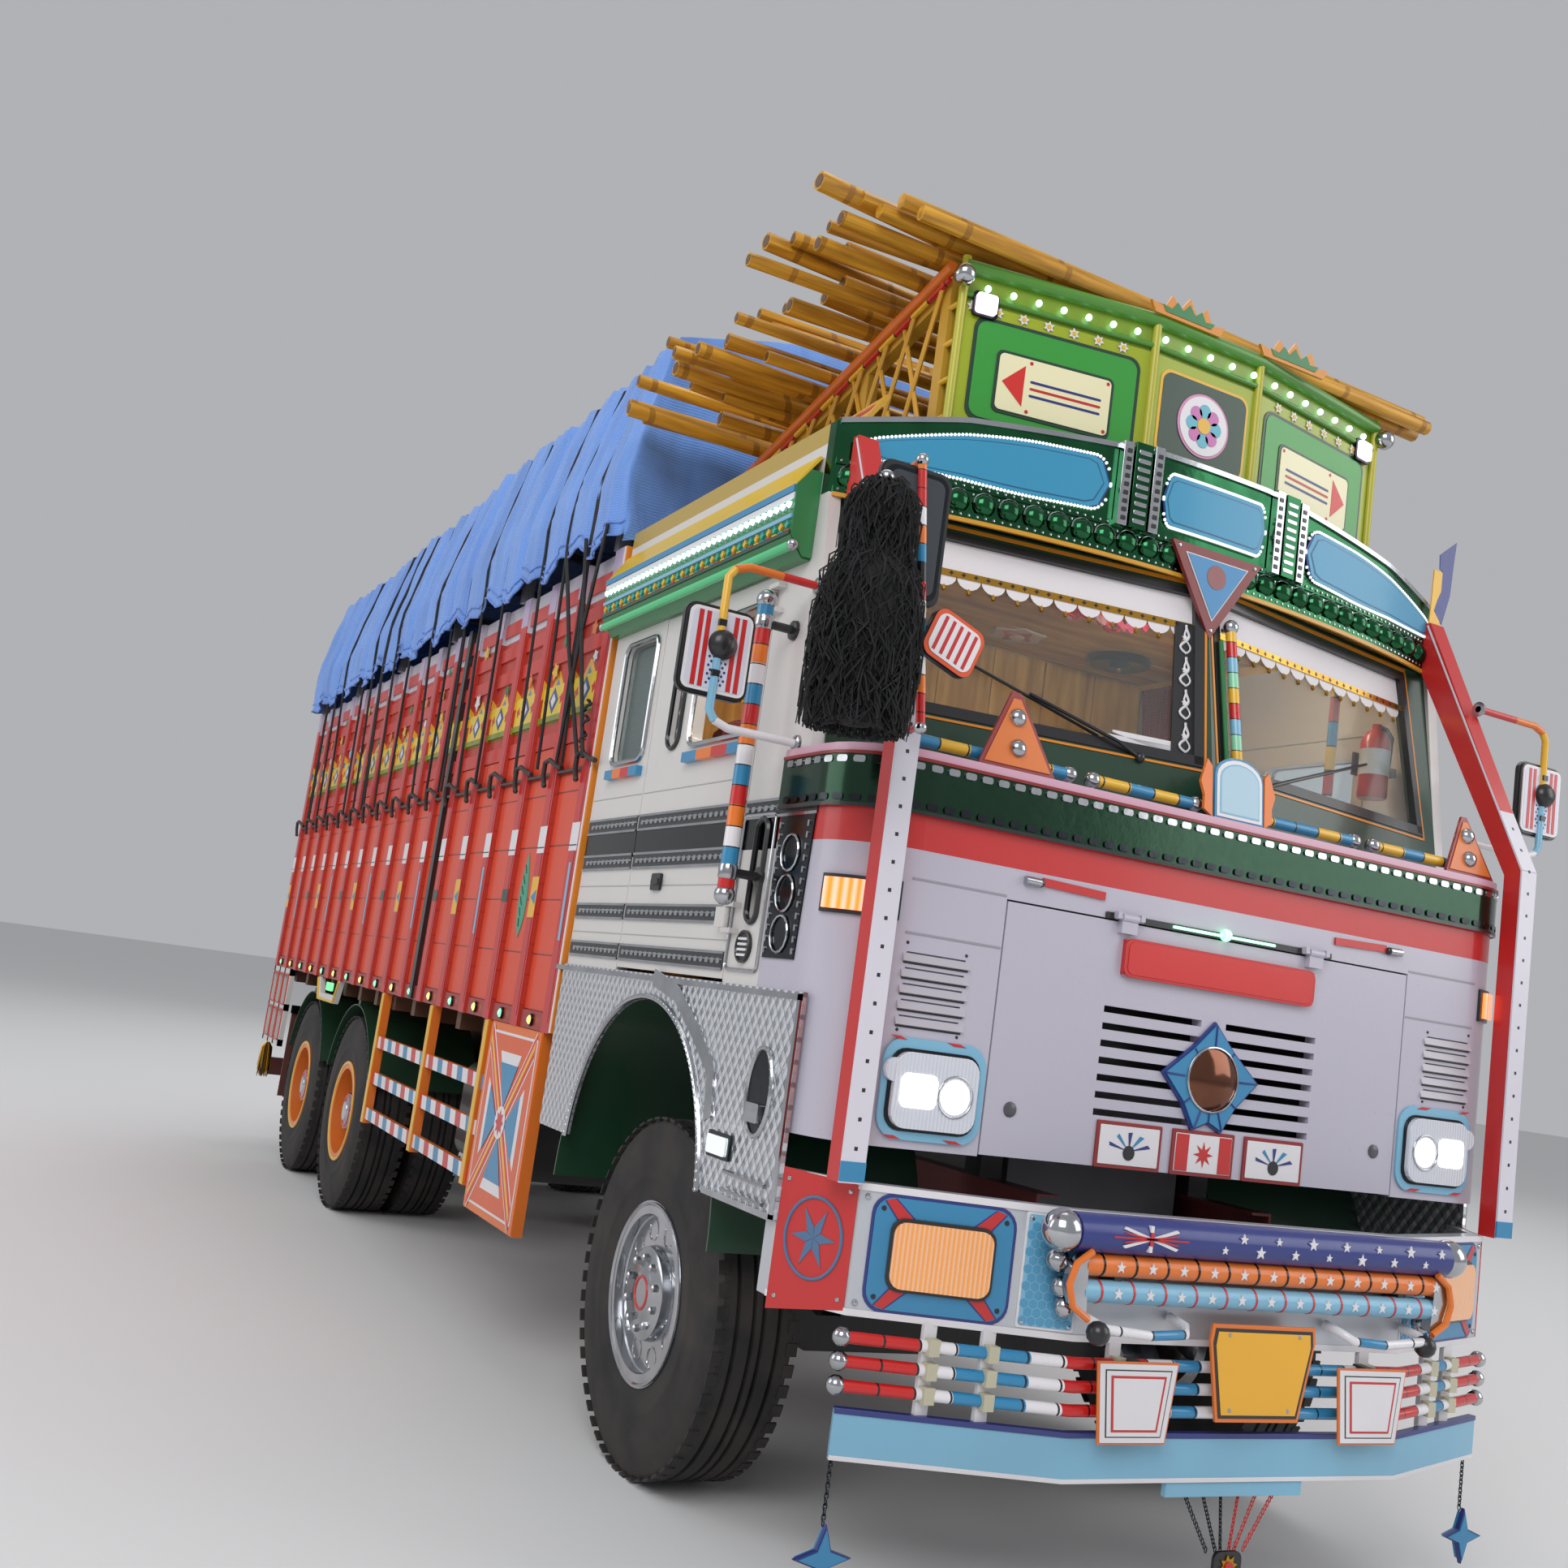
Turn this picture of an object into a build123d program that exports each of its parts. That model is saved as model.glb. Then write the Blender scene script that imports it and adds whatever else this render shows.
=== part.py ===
from build123d import *
from math import atan2, cos, radians, sin, sqrt
import os

# Decorated three-axle goods truck, in millimetres.
# The truck faces -Y, X runs across it (its right side is -X), Z is up from the ground.
# The origin is on the ground under the middle of the whole truck.

# Overall
LENGTH = 8660.0             # from the bull bar to the underrun bar
BAR_REACH = 330.0           # bull bar ahead of the cowl
FRONT_Y = -LENGTH / 2       # foremost point, the bull bar
REAR_Y = LENGTH / 2         # rearmost point, the underrun bar
COWL_Y = FRONT_Y + BAR_REACH    # flat front face of the cowl
CAB_HALF = 1226.0           # outer skin of the cab
BODY_HALF = 1240.0          # outer face of the load body's posts
CLEAR = 5.0                 # clearance round moving panels
SEAT_GAP = 0.3              # gap where curved or soft pieces rest on each other
PIN_FIT = 0.06              # radial clearance of pins in their bores

# Wheels and axles
TYRE_R = 525.0
TYRE_W = 280.0
TWIN_TYRE_W = 270.0
BEAD_R = 254.0
RIM_FLANGE_R = 272.0
RIM_T = 22.0
AXLE_Z = TYRE_R
FRONT_AXLE_Y = COWL_Y + 1100.0
TANDEM = 1350.0
REAR_OVERHANG = 1443.0      # last axle to the underrun bar
REAR_AXLES_Y = (REAR_Y - REAR_OVERHANG - TANDEM, REAR_Y - REAR_OVERHANG)
BOGIE_Y = sum(REAR_AXLES_Y) / 2
FRONT_WHEEL_X = 1003.0
TWIN_X = (736.0, 1051.0)    # inner and outer tyre of a pair
KINGPIN_X = 840.0
KINGPIN_R = 22.0
SPINDLE_R = 40.0
REAR_SPINDLE_R = 45.0
AXLE_TUBE_R = 70.0
STEER_ARM = 150.0           # kingpin to tie rod pin
TIE_PIN_R = 12.0

# Chassis frame
RAIL_X = 430.0              # outer face of each rail
RAIL_FLANGE = 75.0
RAIL_T = 8.0
RAIL_LOW = 780.0
RAIL_TOP = 1030.0
RAIL_FRONT_Y = COWL_Y + 150.0
RAIL_REAR_Y = REAR_Y - 130.0
CROSS_MEMBERS_Y = (RAIL_FRONT_Y + 20, COWL_Y + 2420, COWL_Y + 3600, COWL_Y + 4700, BOGIE_Y,
                   RAIL_REAR_Y - 700, RAIL_REAR_Y - 30)
SPRING_W = 80.0
FRONT_SPRING_X = 430.0
REAR_SPRING_X = 500.0

# Cab
COWL_LOW = 1128.0
BELT_LOW = 1969.0
BELT_TOP = 2113.0
CORNER_R = 204.0            # rounded front corners
COWL_FLAT = CAB_HALF - CORNER_R
CORNER_Y = COWL_Y + CORNER_R
COWL_BACK_Y = COWL_Y + 430.0
SKIN_T = 40.0
FLOOR_LOW = 1430.0
FLOOR_TOP = 1480.0
ROOF_TOP = 3100.0
ROOF_LOW = ROOF_TOP - 60.0
CAB_BACK_Y = COWL_Y + 2000.0
VISOR_LOW = ROOF_TOP - 215.0
VISOR_BACK_Y = COWL_Y + 460.0
VISOR_END_Y = COWL_Y + 420.0    # front of the visor at its ends
VISOR_BOW = 205.0               # how far its middle stands forward of them
FLAP_HALF = 740.0
FLAP_TOP = 1790.0
FLAP_HINGE = (COWL_Y - 14.0, FLAP_TOP + 12.0)   # y, z
DOOR_FRONT_Y = COWL_Y + 660.0
DOOR_REAR_Y = COWL_Y + 1504.0
DOOR_LOW = 1490.0
DOOR_TOP = 2685.0
HINGE_R = 7.0
SLEEVE_R = 12.0
DOOR_HINGE_X = CAB_HALF + SLEEVE_R + CLEAR
DOOR_HINGES_Z = (1620.0, 2560.0)
SLEEVE_H = 58.0             # length of a door's hinge sleeve
LUG_T = 14.0                # thickness of each hinge lug
EYE_OUT = 10.0              # radius of the lugs' eyes
WS_Y = COWL_Y + 79.0        # foot of the windshield on the centre line
WS_SWEEP = 0.18             # how far each pane runs back for each unit outward
WS_LEAN = 105.0 / 595.0     # how far it leans back for each unit up

# Load body
BODY_FRONT_Y = COWL_Y + 2045.0
BODY_REAR_Y = REAR_Y - 85.0
BED_LOW = 1290.0
BED_TOP = BED_LOW + 40.0
WALL_LOW = 1220.0
WALL_TOP = 3060.0
WALL_T = 50.0
GATE_TOP = 2100.0
POST_W = 90.0
POSTS = 17
TARP_T = 15.0
TARP_HEM = WALL_TOP + 40.0

# Arch and skirt
ARCH_Y = COWL_Y + 1156.0
ARCH_Z = 850.0
ARCH_R = 552.0
SKIRT_T = 12.0
SKIRT_LOW = 910.0

os.makedirs("parts", exist_ok=True)


def save(piece, name):
    """Label a finished piece and write it out."""
    piece.part.label = name
    export_step(piece.part, f"parts/{name}.step")


def slab(x, y, z, mode=Mode.ADD):
    """Straight block between two corners, in the part being built."""
    with Locations(((x[0] + x[1]) / 2, (y[0] + y[1]) / 2, (z[0] + z[1]) / 2)):
        Box(abs(x[1] - x[0]), abs(y[1] - y[0]), abs(z[1] - z[0]), mode=mode)


def across(y):
    """Upright plane at y, X to the right and Z up. It extrudes towards the front."""
    return Plane.XZ.offset(-y)


def beside(x):
    """Upright plane at x, Y to the right and Z up. It extrudes towards +X."""
    return Plane.YZ.offset(x)


def rod(start, end, radius, mode=Mode.ADD):
    """Round bar from start to end, in the part being built."""
    run = Vector(*end) - Vector(*start)
    with BuildSketch(Plane(origin=start, z_dir=run)) as section:
        Circle(radius)
    extrude(section.sketch, amount=run.length, mode=mode)


def outline(points, mode=Mode.ADD):
    """Closed flat face with straight sides, in the sketch being drawn."""
    Polygon(*points, align=None, mode=mode)


def turned(y, points, mode=Mode.ADD):
    """Ring turned about the crosswise axle at y. Points are (x, radius)."""
    with BuildSketch(Plane(origin=(0, y, AXLE_Z), x_dir=(1, 0, 0), z_dir=(0, -1, 0))) as section:
        outline(points)
    revolve(section.sketch, axis=Axis((0, y, AXLE_Z), (1, 0, 0)), mode=mode)


SIDES = (("right", -1), ("left", 1))


# Ladder frame: two channel rails
with BuildPart() as ladder_frame:
    with BuildSketch(across(RAIL_REAR_Y)):
        for s in (-1, 1):
            with Locations((s * (RAIL_X - RAIL_FLANGE / 2), (RAIL_LOW + RAIL_TOP) / 2)):
                Rectangle(RAIL_FLANGE, RAIL_TOP - RAIL_LOW)
            with Locations((s * (RAIL_X - RAIL_T - RAIL_FLANGE / 2), (RAIL_LOW + RAIL_TOP) / 2)):
                Rectangle(RAIL_FLANGE, RAIL_TOP - RAIL_LOW - 2 * RAIL_T, mode=Mode.SUBTRACT)
    extrude(amount=RAIL_REAR_Y - RAIL_FRONT_Y)
save(ladder_frame, "ladder_frame")

# Cross members between the rails' webs, the last one with the towing plate
CROSS_Z = (RAIL_LOW + 50.0, RAIL_TOP - 60.0)
TOW_PIN_R = 20.0
TOW_PLATE = (120.0, 100.0, 30.0)    # width, length, thickness
with BuildPart() as cross_members:
    for y in CROSS_MEMBERS_Y:
        slab((-RAIL_X + RAIL_T, RAIL_X - RAIL_T), (y - 20, y + 30), CROSS_Z)
    tow_z = (RAIL_LOW + RAIL_TOP) / 2
    tow_y = RAIL_REAR_Y + TOW_PLATE[1] / 2
    slab((-TOW_PLATE[0] / 2, TOW_PLATE[0] / 2), (RAIL_REAR_Y, RAIL_REAR_Y + TOW_PLATE[1]),
         (tow_z - TOW_PLATE[2] / 2, tow_z + TOW_PLATE[2] / 2))
    with Locations((0, tow_y, tow_z)):
        Cylinder(TOW_PIN_R, TOW_PLATE[2], mode=Mode.SUBTRACT)
save(cross_members, "cross_members")

# Engine as one plain block, with feet on the rails' webs
ENGINE_HALF = 320.0
ENGINE_Y = (COWL_Y + 450.0, COWL_Y + 1400.0)
ENGINE_Z = (690.0, 1340.0)
with BuildPart() as engine:
    slab((-ENGINE_HALF, ENGINE_HALF), ENGINE_Y, ENGINE_Z)
    for y in (ENGINE_Y[0] + 150, ENGINE_Y[1] - 150):
        slab((-RAIL_X + RAIL_T, RAIL_X - RAIL_T), (y - 40, y + 40), (860, 900))
save(engine, "engine")

# Gearbox and propeller shafts down to the two driven axles
BELL_END_Y = ENGINE_Y[1] + 200.0
GEARBOX_END_Y = COWL_Y + 2300.0
CASE_R = 190.0              # differential case
SHAFT_R = 50.0
with BuildPart() as driveline:
    rod((0, ENGINE_Y[1], 880), (0, BELL_END_Y, 880), 200)
    rod((0, BELL_END_Y, 850), (0, GEARBOX_END_Y, 850), 150)
    rod((0, GEARBOX_END_Y + SEAT_GAP, 750), (0, REAR_AXLES_Y[0] - CASE_R - 6, AXLE_Z), SHAFT_R)
    rod((0, REAR_AXLES_Y[0] + CASE_R + SEAT_GAP, AXLE_Z), (0, REAR_AXLES_Y[1] - CASE_R - SEAT_GAP, AXLE_Z),
        SHAFT_R)
save(driveline, "driveline")

# Front axle: a dropped beam with an eye for each kingpin
BEAM_W = 90.0
BEAM_H = 110.0
BEAM_DROP = 90.0
EYE_R = 42.0
with BuildPart() as front_axle:
    with BuildSketch(across(FRONT_AXLE_Y + BEAM_W / 2)):
        low, high = AXLE_Z - BEAM_H / 2, AXLE_Z + BEAM_H / 2
        outline([(-KINGPIN_X, low), (-KINGPIN_X + 130, low), (-KINGPIN_X + 260, low - BEAM_DROP),
                 (KINGPIN_X - 260, low - BEAM_DROP), (KINGPIN_X - 130, low), (KINGPIN_X, low),
                 (KINGPIN_X, high), (KINGPIN_X - 160, high), (KINGPIN_X - 290, high - BEAM_DROP),
                 (-KINGPIN_X + 290, high - BEAM_DROP), (-KINGPIN_X + 160, high), (-KINGPIN_X, high)])
    extrude(amount=BEAM_W)
    for s in (-1, 1):
        with Locations((s * KINGPIN_X, FRONT_AXLE_Y, AXLE_Z)):
            Box(2.4 * EYE_R, 2.4 * EYE_R, BEAM_H, mode=Mode.SUBTRACT)
            Cylinder(EYE_R, BEAM_H)
        slab((s * (KINGPIN_X - 52), s * (KINGPIN_X - 30)), (FRONT_AXLE_Y - 30, FRONT_AXLE_Y + 30),
             (AXLE_Z - BEAM_H / 2, AXLE_Z + BEAM_H / 2))
        with Locations((s * KINGPIN_X, FRONT_AXLE_Y, AXLE_Z)):
            Cylinder(KINGPIN_R + PIN_FIT, BEAM_H, mode=Mode.SUBTRACT)
        slab((s * (FRONT_SPRING_X - SPRING_W / 2), s * (FRONT_SPRING_X + SPRING_W / 2)),
             (FRONT_AXLE_Y - 60, FRONT_AXLE_Y + 60), (high - BEAM_DROP, high - BEAM_DROP + 20))
save(front_axle, "front_axle")

# Leaf springs: a pack a side in front, hung from the rails, and one a side over the bogie
FRONT_SPRING_REACH = 640.0
SEAT_Z = AXLE_Z + BEAM_H / 2 - BEAM_DROP + 20.0
with BuildPart() as leaf_springs:
    for s in (-1, 1):
        with BuildSketch(beside(s * FRONT_SPRING_X - SPRING_W / 2)):
            with BuildLine():
                near, far = FRONT_AXLE_Y - FRONT_SPRING_REACH, FRONT_AXLE_Y + FRONT_SPRING_REACH
                ThreePointArc((near, 690), (FRONT_AXLE_Y, SEAT_Z), (far, 690))
                Line((far, 690), (far, 712))
                ThreePointArc((far, 712), (FRONT_AXLE_Y, SEAT_Z + 90), (near, 712))
                Line((near, 712), (near, 690))
            make_face()
        extrude(amount=SPRING_W)
        for y in (FRONT_AXLE_Y - FRONT_SPRING_REACH, FRONT_AXLE_Y + FRONT_SPRING_REACH - 50):
            slab((s * 395, s * RAIL_X), (y, y + 50), (690, RAIL_LOW))
    for s in (-1, 1):
        with BuildSketch(beside(s * REAR_SPRING_X - SPRING_W / 2)):
            with BuildLine():
                near, far = REAR_AXLES_Y[0] - 50, REAR_AXLES_Y[1] + 50
                ThreePointArc((near, 600), (BOGIE_Y, 640), (far, 600))
                Line((far, 600), (far, 625))
                ThreePointArc((far, 625), (BOGIE_Y, 750), (near, 625))
                Line((near, 625), (near, 600))
            make_face()
        extrude(amount=SPRING_W)
        with BuildSketch(beside(RAIL_X if s > 0 else -REAR_SPRING_X - SPRING_W / 2)):
            outline([(BOGIE_Y - 60, 740), (BOGIE_Y + 60, 740), (BOGIE_Y + 180, 1000),
                     (BOGIE_Y - 180, 1000)])
        extrude(amount=REAR_SPRING_X + SPRING_W / 2 - RAIL_X)
save(leaf_springs, "leaf_springs")

# Rear axles: tube, differential case and the two bare spindle ends
with BuildPart() as rear_axles:
    for y in REAR_AXLES_Y:
        turned(y, [(-TWIN_X[1] - 70, 0), (-TWIN_X[1] - 70, REAR_SPINDLE_R), (-600, REAR_SPINDLE_R),
                   (-600, AXLE_TUBE_R), (-230, AXLE_TUBE_R), (-150, CASE_R), (150, CASE_R),
                   (230, AXLE_TUBE_R), (600, AXLE_TUBE_R), (600, REAR_SPINDLE_R),
                   (TWIN_X[1] + 70, REAR_SPINDLE_R), (TWIN_X[1] + 70, 0)])
        for s in (-1, 1):
            slab((s * (REAR_SPRING_X - 45), s * (REAR_SPRING_X + 45)), (y - 55, y + 55), (AXLE_Z, 600))
save(rear_axles, "rear_axles")

# Fuel tank on the left, battery box on the right, each on two arms from the rail
TANK_Y = (COWL_Y + 2900.0, COWL_Y + 3950.0)
with BuildPart() as chassis_tanks:
    for s, length in ((1, 1050), (-1, 700)):
        with BuildSketch(across(TANK_Y[0] + length)):
            with Locations((s * 790, 790)):
                RectangleRounded(560, 420, 70)
        extrude(amount=length)
        for y in (TANK_Y[0] + 120, TANK_Y[0] + length - 120):
            slab((s * RAIL_X, s * 530), (y - 30, y + 30), (800, 1000))
save(chassis_tanks, "chassis_tanks")

# Knuckles: two ears round the beam's eye on a kingpin, a stub axle and a steering arm
EAR_T = 30.0
for name, s in SIDES:
    with BuildPart() as knuckle:
        for top in (1, -1):
            near = AXLE_Z + top * (BEAM_H / 2 + CLEAR)
            far = near + top * EAR_T
            with Locations((s * KINGPIN_X, FRONT_AXLE_Y, (near + far) / 2)):
                Cylinder(EYE_R + 3, EAR_T)
            slab((s * KINGPIN_X, s * 925), (FRONT_AXLE_Y - 40, FRONT_AXLE_Y + 40), (near, far))
        reach = BEAM_H / 2 + CLEAR + EAR_T
        slab((s * 892, s * 925), (FRONT_AXLE_Y - 40, FRONT_AXLE_Y + 40), (AXLE_Z - reach, AXLE_Z + reach))
        with Locations((s * KINGPIN_X, FRONT_AXLE_Y, AXLE_Z)):
            Cylinder(KINGPIN_R, 2 * reach)
        rod((s * 925, FRONT_AXLE_Y, AXLE_Z), (s * (FRONT_WHEEL_X + 100), FRONT_AXLE_Y, AXLE_Z), SPINDLE_R)
        slab((s * (KINGPIN_X - 14), s * (KINGPIN_X + 14)), (FRONT_AXLE_Y, FRONT_AXLE_Y + STEER_ARM),
             (AXLE_Z - reach, AXLE_Z - reach + EAR_T))
        with Locations((s * KINGPIN_X, FRONT_AXLE_Y + STEER_ARM, AXLE_Z - reach + EAR_T / 2)):
            Cylinder(14, EAR_T)
        with Locations((s * KINGPIN_X, FRONT_AXLE_Y + STEER_ARM, AXLE_Z - reach - 20)):
            Cylinder(TIE_PIN_R, 40)
    save(knuckle, f"knuckle_{name}")

# Tie rod between the two steering arms
TIE_Z = AXLE_Z - BEAM_H / 2 - CLEAR - EAR_T - 20.0
with BuildPart() as tie_rod:
    rod((-KINGPIN_X, FRONT_AXLE_Y + STEER_ARM, TIE_Z), (KINGPIN_X, FRONT_AXLE_Y + STEER_ARM, TIE_Z), 16)
    for s in (-1, 1):
        with Locations((s * KINGPIN_X, FRONT_AXLE_Y + STEER_ARM, TIE_Z)):
            Cylinder(24, 34)
            Cylinder(TIE_PIN_R + PIN_FIT, 34, mode=Mode.SUBTRACT)
save(tie_rod, "tie_rod")


def tyre_outline(centre, width):
    """Half section of a tyre as (x, radius), round its centre plane."""
    table = ((0.40, BEAD_R + SEAT_GAP), (0.50, 0.72 * TYRE_R), (0.49, 0.90 * TYRE_R), (0.40, TYRE_R))
    near = [(centre - share * width, radius) for share, radius in table]
    far = [(centre + share * width, radius) for share, radius in reversed(table)]
    return near + far


def rim_outline(centre, width):
    """Half section of a rim barrel as (x, radius): two flanges and the seat between them."""
    flange, edge = 0.42 * width, 0.47 * width
    return [(centre - edge, BEAD_R - RIM_T), (centre - edge, RIM_FLANGE_R), (centre - flange, RIM_FLANGE_R),
            (centre - flange, BEAD_R), (centre + flange, BEAD_R), (centre + flange, RIM_FLANGE_R),
            (centre + edge, RIM_FLANGE_R), (centre + edge, BEAD_R - RIM_T)]


# Front wheels: tyre, and a rim with a dished disc, hub and cap
for name, s in SIDES:
    with BuildPart() as front_tyre:
        turned(FRONT_AXLE_Y, tyre_outline(s * FRONT_WHEEL_X, TYRE_W))
    save(front_tyre, f"front_tyre_{name}")
    with BuildPart() as front_rim:
        turned(FRONT_AXLE_Y, rim_outline(s * FRONT_WHEEL_X, TYRE_W))
        turned(FRONT_AXLE_Y, [(s * 932, SPINDLE_R + PIN_FIT), (s * 932, 95), (s * 1055, 95), (s * 1055, 150),
                              (s * 1040, BEAD_R - RIM_T + 2), (s * 1056, BEAD_R - RIM_T + 2), (s * 1072, 150),
                              (s * 1090, 140), (s * 1090, 90), (s * 1135, 75), (s * 1135, 0), (s * 1108, 0),
                              (s * 1108, SPINDLE_R + PIN_FIT)])
    save(front_rim, f"front_rim_{name}")

# Rear twin wheels: two tyres, and two rims joined by their discs on one hub
for axle, y in zip(("mid", "rear"), REAR_AXLES_Y):
    for name, s in SIDES:
        with BuildPart() as twin_tyres:
            for x in TWIN_X:
                turned(y, tyre_outline(s * x, TWIN_TYRE_W))
        save(twin_tyres, f"{axle}_tyres_{name}")
        with BuildPart() as twin_rims:
            for x in TWIN_X:
                turned(y, rim_outline(s * x, TWIN_TYRE_W))
            turned(y, [(s * 606, REAR_SPINDLE_R + PIN_FIT), (s * 606, 110), (s * 870, 110), (s * 870, 160),
                       (s * 850, BEAD_R - RIM_T + 2), (s * 930, BEAD_R - RIM_T + 2), (s * 905, 160),
                       (s * 905, 110), (s * 1130, 95), (s * 1150, 80), (s * 1150, 0),
                       (s * (TWIN_X[1] + 71), 0), (s * (TWIN_X[1] + 71), REAR_SPINDLE_R + PIN_FIT)])
        save(twin_rims, f"{axle}_rims_{name}")

# Front bumper: a bent box with swept wings, carried on two arms from the rails
BUMPER_LOW = 730.0
BUMPER_TOP = 1042.0
BUMPER_T = 50.0
BUMPER_PLAN = ((1226.0, 140.0), (1100.0, -44.0), (560.0, -230.0))    # half: out, behind the cowl face


def bumper_plan(inset, half_line=BUMPER_PLAN):
    """Plan of the bumper's bent front line, moved back by inset, closed along its back."""
    right = [(-x, COWL_Y + y + inset) for x, y in half_line]
    left = [(x, COWL_Y + y + inset) for x, y in reversed(half_line)]
    return right + left


with BuildPart() as front_bumper:
    with BuildSketch(Plane.XY.offset(BUMPER_LOW)):
        outline(bumper_plan(0) + bumper_plan(BUMPER_T)[::-1])
    extrude(amount=BUMPER_TOP - BUMPER_LOW)
    for s in (-1, 1):
        slab((s * (RAIL_X - RAIL_FLANGE), s * RAIL_X), (COWL_Y - 230 + BUMPER_T, RAIL_FRONT_Y), (830, 980))
save(front_bumper, "front_bumper")

# Lower board: three rails and a bowed board hung under the bumper on four straps
BOARD_Z = (402.0, 516.0)
RAIL_HEIGHTS = (569.0, 625.0, 681.0)
LOWER_PLAN = ((1100.0, -60.0), (560.0, -246.0))
STRAPS_X = (430.0, 760.0)
with BuildPart() as lower_board:
    with BuildSketch(Plane.XY.offset(BOARD_Z[0])):
        outline(bumper_plan(0, LOWER_PLAN) + bumper_plan(20, LOWER_PLAN)[::-1])
    extrude(amount=BOARD_Z[1] - BOARD_Z[0])
    for z in RAIL_HEIGHTS:
        with BuildSketch(Plane.XY.offset(z - 14)):
            outline(bumper_plan(0, LOWER_PLAN) + bumper_plan(28, LOWER_PLAN)[::-1])
        extrude(amount=28)
    for s in (-1, 1):
        slab((s * 410, s * 450), (COWL_Y - 230, COWL_Y - 215), (BOARD_Z[0], BUMPER_LOW))
        with BuildSketch(Plane.XY.offset(BOARD_Z[0])):
            outline([(s * 880, COWL_Y - 122), (s * 920, COWL_Y - 108), (s * 920, COWL_Y - 90),
                     (s * 880, COWL_Y - 104)])
        extrude(amount=BUMPER_LOW - BOARD_Z[0])
    slab((-230, 230), (COWL_Y - 246, COWL_Y - 226), (BOARD_Z[0] - 40, BOARD_Z[0]))
save(lower_board, "lower_board")

# Bull bar: three tubes between two curved side plates, with ball ends on the top tube
BAR_R = 47.5
BAR_Y = FRONT_Y + BAR_R
with BuildPart() as bull_bar:
    rod((-640, BAR_Y, 1000), (640, BAR_Y, 1000), BAR_R)
    for z, r in ((925, 28), (862, 28)):
        rod((-600, BAR_Y, z), (600, BAR_Y, z), r)
    for s in (-1, 1):
        slab((s * 480, s * 500), (COWL_Y - 290, COWL_Y - 230), (840, 1020))
        with Locations((s * 650, BAR_Y, 1000)):
            Sphere(BAR_R)
save(bull_bar, "bull_bar")

# Plates: one number plate and two side plates, each on a stem from the bumper
with BuildPart() as plates:
    for x, half, low, high in ((0, 175, 560, 800), (-400, 125, 500, 700), (400, 125, 500, 700)):
        slab((x - half, x + half), (COWL_Y - 300, COWL_Y - 290), (low, high))
        slab((x - 15, x + 15), (COWL_Y - 290, COWL_Y - 246 - SEAT_GAP), (low + 60, high - 10))
save(plates, "plates")


def cowl_plan(inset):
    """Closed plan of the cowl with its rounded corners, inset from the outer skin."""
    half, front = CAB_HALF - inset, COWL_Y + inset
    reach = (CORNER_R - inset) * cos(radians(45))
    mid = (COWL_FLAT + reach, CORNER_Y - reach)
    with BuildLine() as edge:
        Line((-COWL_FLAT, front), (COWL_FLAT, front))
        ThreePointArc((COWL_FLAT, front), mid, (half, CORNER_Y))
        Polyline((half, CORNER_Y), (half, COWL_BACK_Y), (-half, COWL_BACK_Y), (-half, CORNER_Y))
        ThreePointArc((-half, CORNER_Y), (-mid[0], mid[1]), (-COWL_FLAT, front))
    make_face(edge.edges())


# Cowl: the front skin round both corners, its belt and top, and the flap's hinge pins
BELT_T = 12.0
LOUVRES_Z = (1450, 1490, 1530, 1570, 1610)
with BuildPart() as cowl:
    with BuildSketch(Plane.XY.offset(COWL_LOW)):
        cowl_plan(0)
    extrude(amount=BELT_TOP - COWL_LOW)
    with BuildSketch(Plane.XY.offset(BELT_LOW)):
        cowl_plan(-BELT_T)
    extrude(amount=BELT_TOP - BELT_LOW)
    with BuildSketch(Plane.XY.offset(COWL_LOW)):
        cowl_plan(SKIN_T)
    extrude(amount=BELT_TOP - COWL_LOW - SKIN_T, mode=Mode.SUBTRACT)
    slab((-FLAP_HALF - CLEAR, FLAP_HALF + CLEAR), (COWL_Y, COWL_Y + SKIN_T), (COWL_LOW, FLAP_TOP + CLEAR),
         mode=Mode.SUBTRACT)
    for s in (-1, 1):
        for z in LOUVRES_Z:
            slab((s * 850, s * 1030), (COWL_Y, COWL_Y + 12), (z - 8, z + 8), mode=Mode.SUBTRACT)
        for x in (300, 380):
            slab((s * x, s * (x + 14)), (FLAP_HINGE[0] - 10, COWL_Y), (FLAP_HINGE[1] - 4, FLAP_HINGE[1] + 14))
        rod((s * 300, *FLAP_HINGE), (s * 394, *FLAP_HINGE), HINGE_R)
save(cowl, "cowl")

# Front flap: hinged along its top, with the grille slots cut through it
GRILLE_ROWS = 7
GRILLE_PITCH = 46.0
GRILLE_LOW = 1275.0
with BuildPart() as front_flap:
    slab((-FLAP_HALF, FLAP_HALF), (COWL_Y, COWL_Y + SKIN_T), (COWL_LOW + CLEAR, FLAP_TOP))
    for row in range(GRILLE_ROWS):
        z = GRILLE_LOW + row * GRILLE_PITCH
        for s in (-1, 1):
            slab((s * 45, s * 390), (COWL_Y, COWL_Y + SKIN_T), (z - 9, z + 9), mode=Mode.SUBTRACT)
    slab((-350, 350), (COWL_Y - 14, COWL_Y), (1650, 1745))
    for s in (-1, 1):
        rod((s * 320, *FLAP_HINGE), (s * 374, *FLAP_HINGE), SLEEVE_R)
        slab((s * 320, s * 374), (FLAP_HINGE[0] - 6, COWL_Y), (FLAP_TOP - 30, FLAP_HINGE[1] - 6))
        rod((s * 320, *FLAP_HINGE), (s * 374, *FLAP_HINGE), HINGE_R + PIN_FIT, mode=Mode.SUBTRACT)
save(front_flap, "front_flap")

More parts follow.
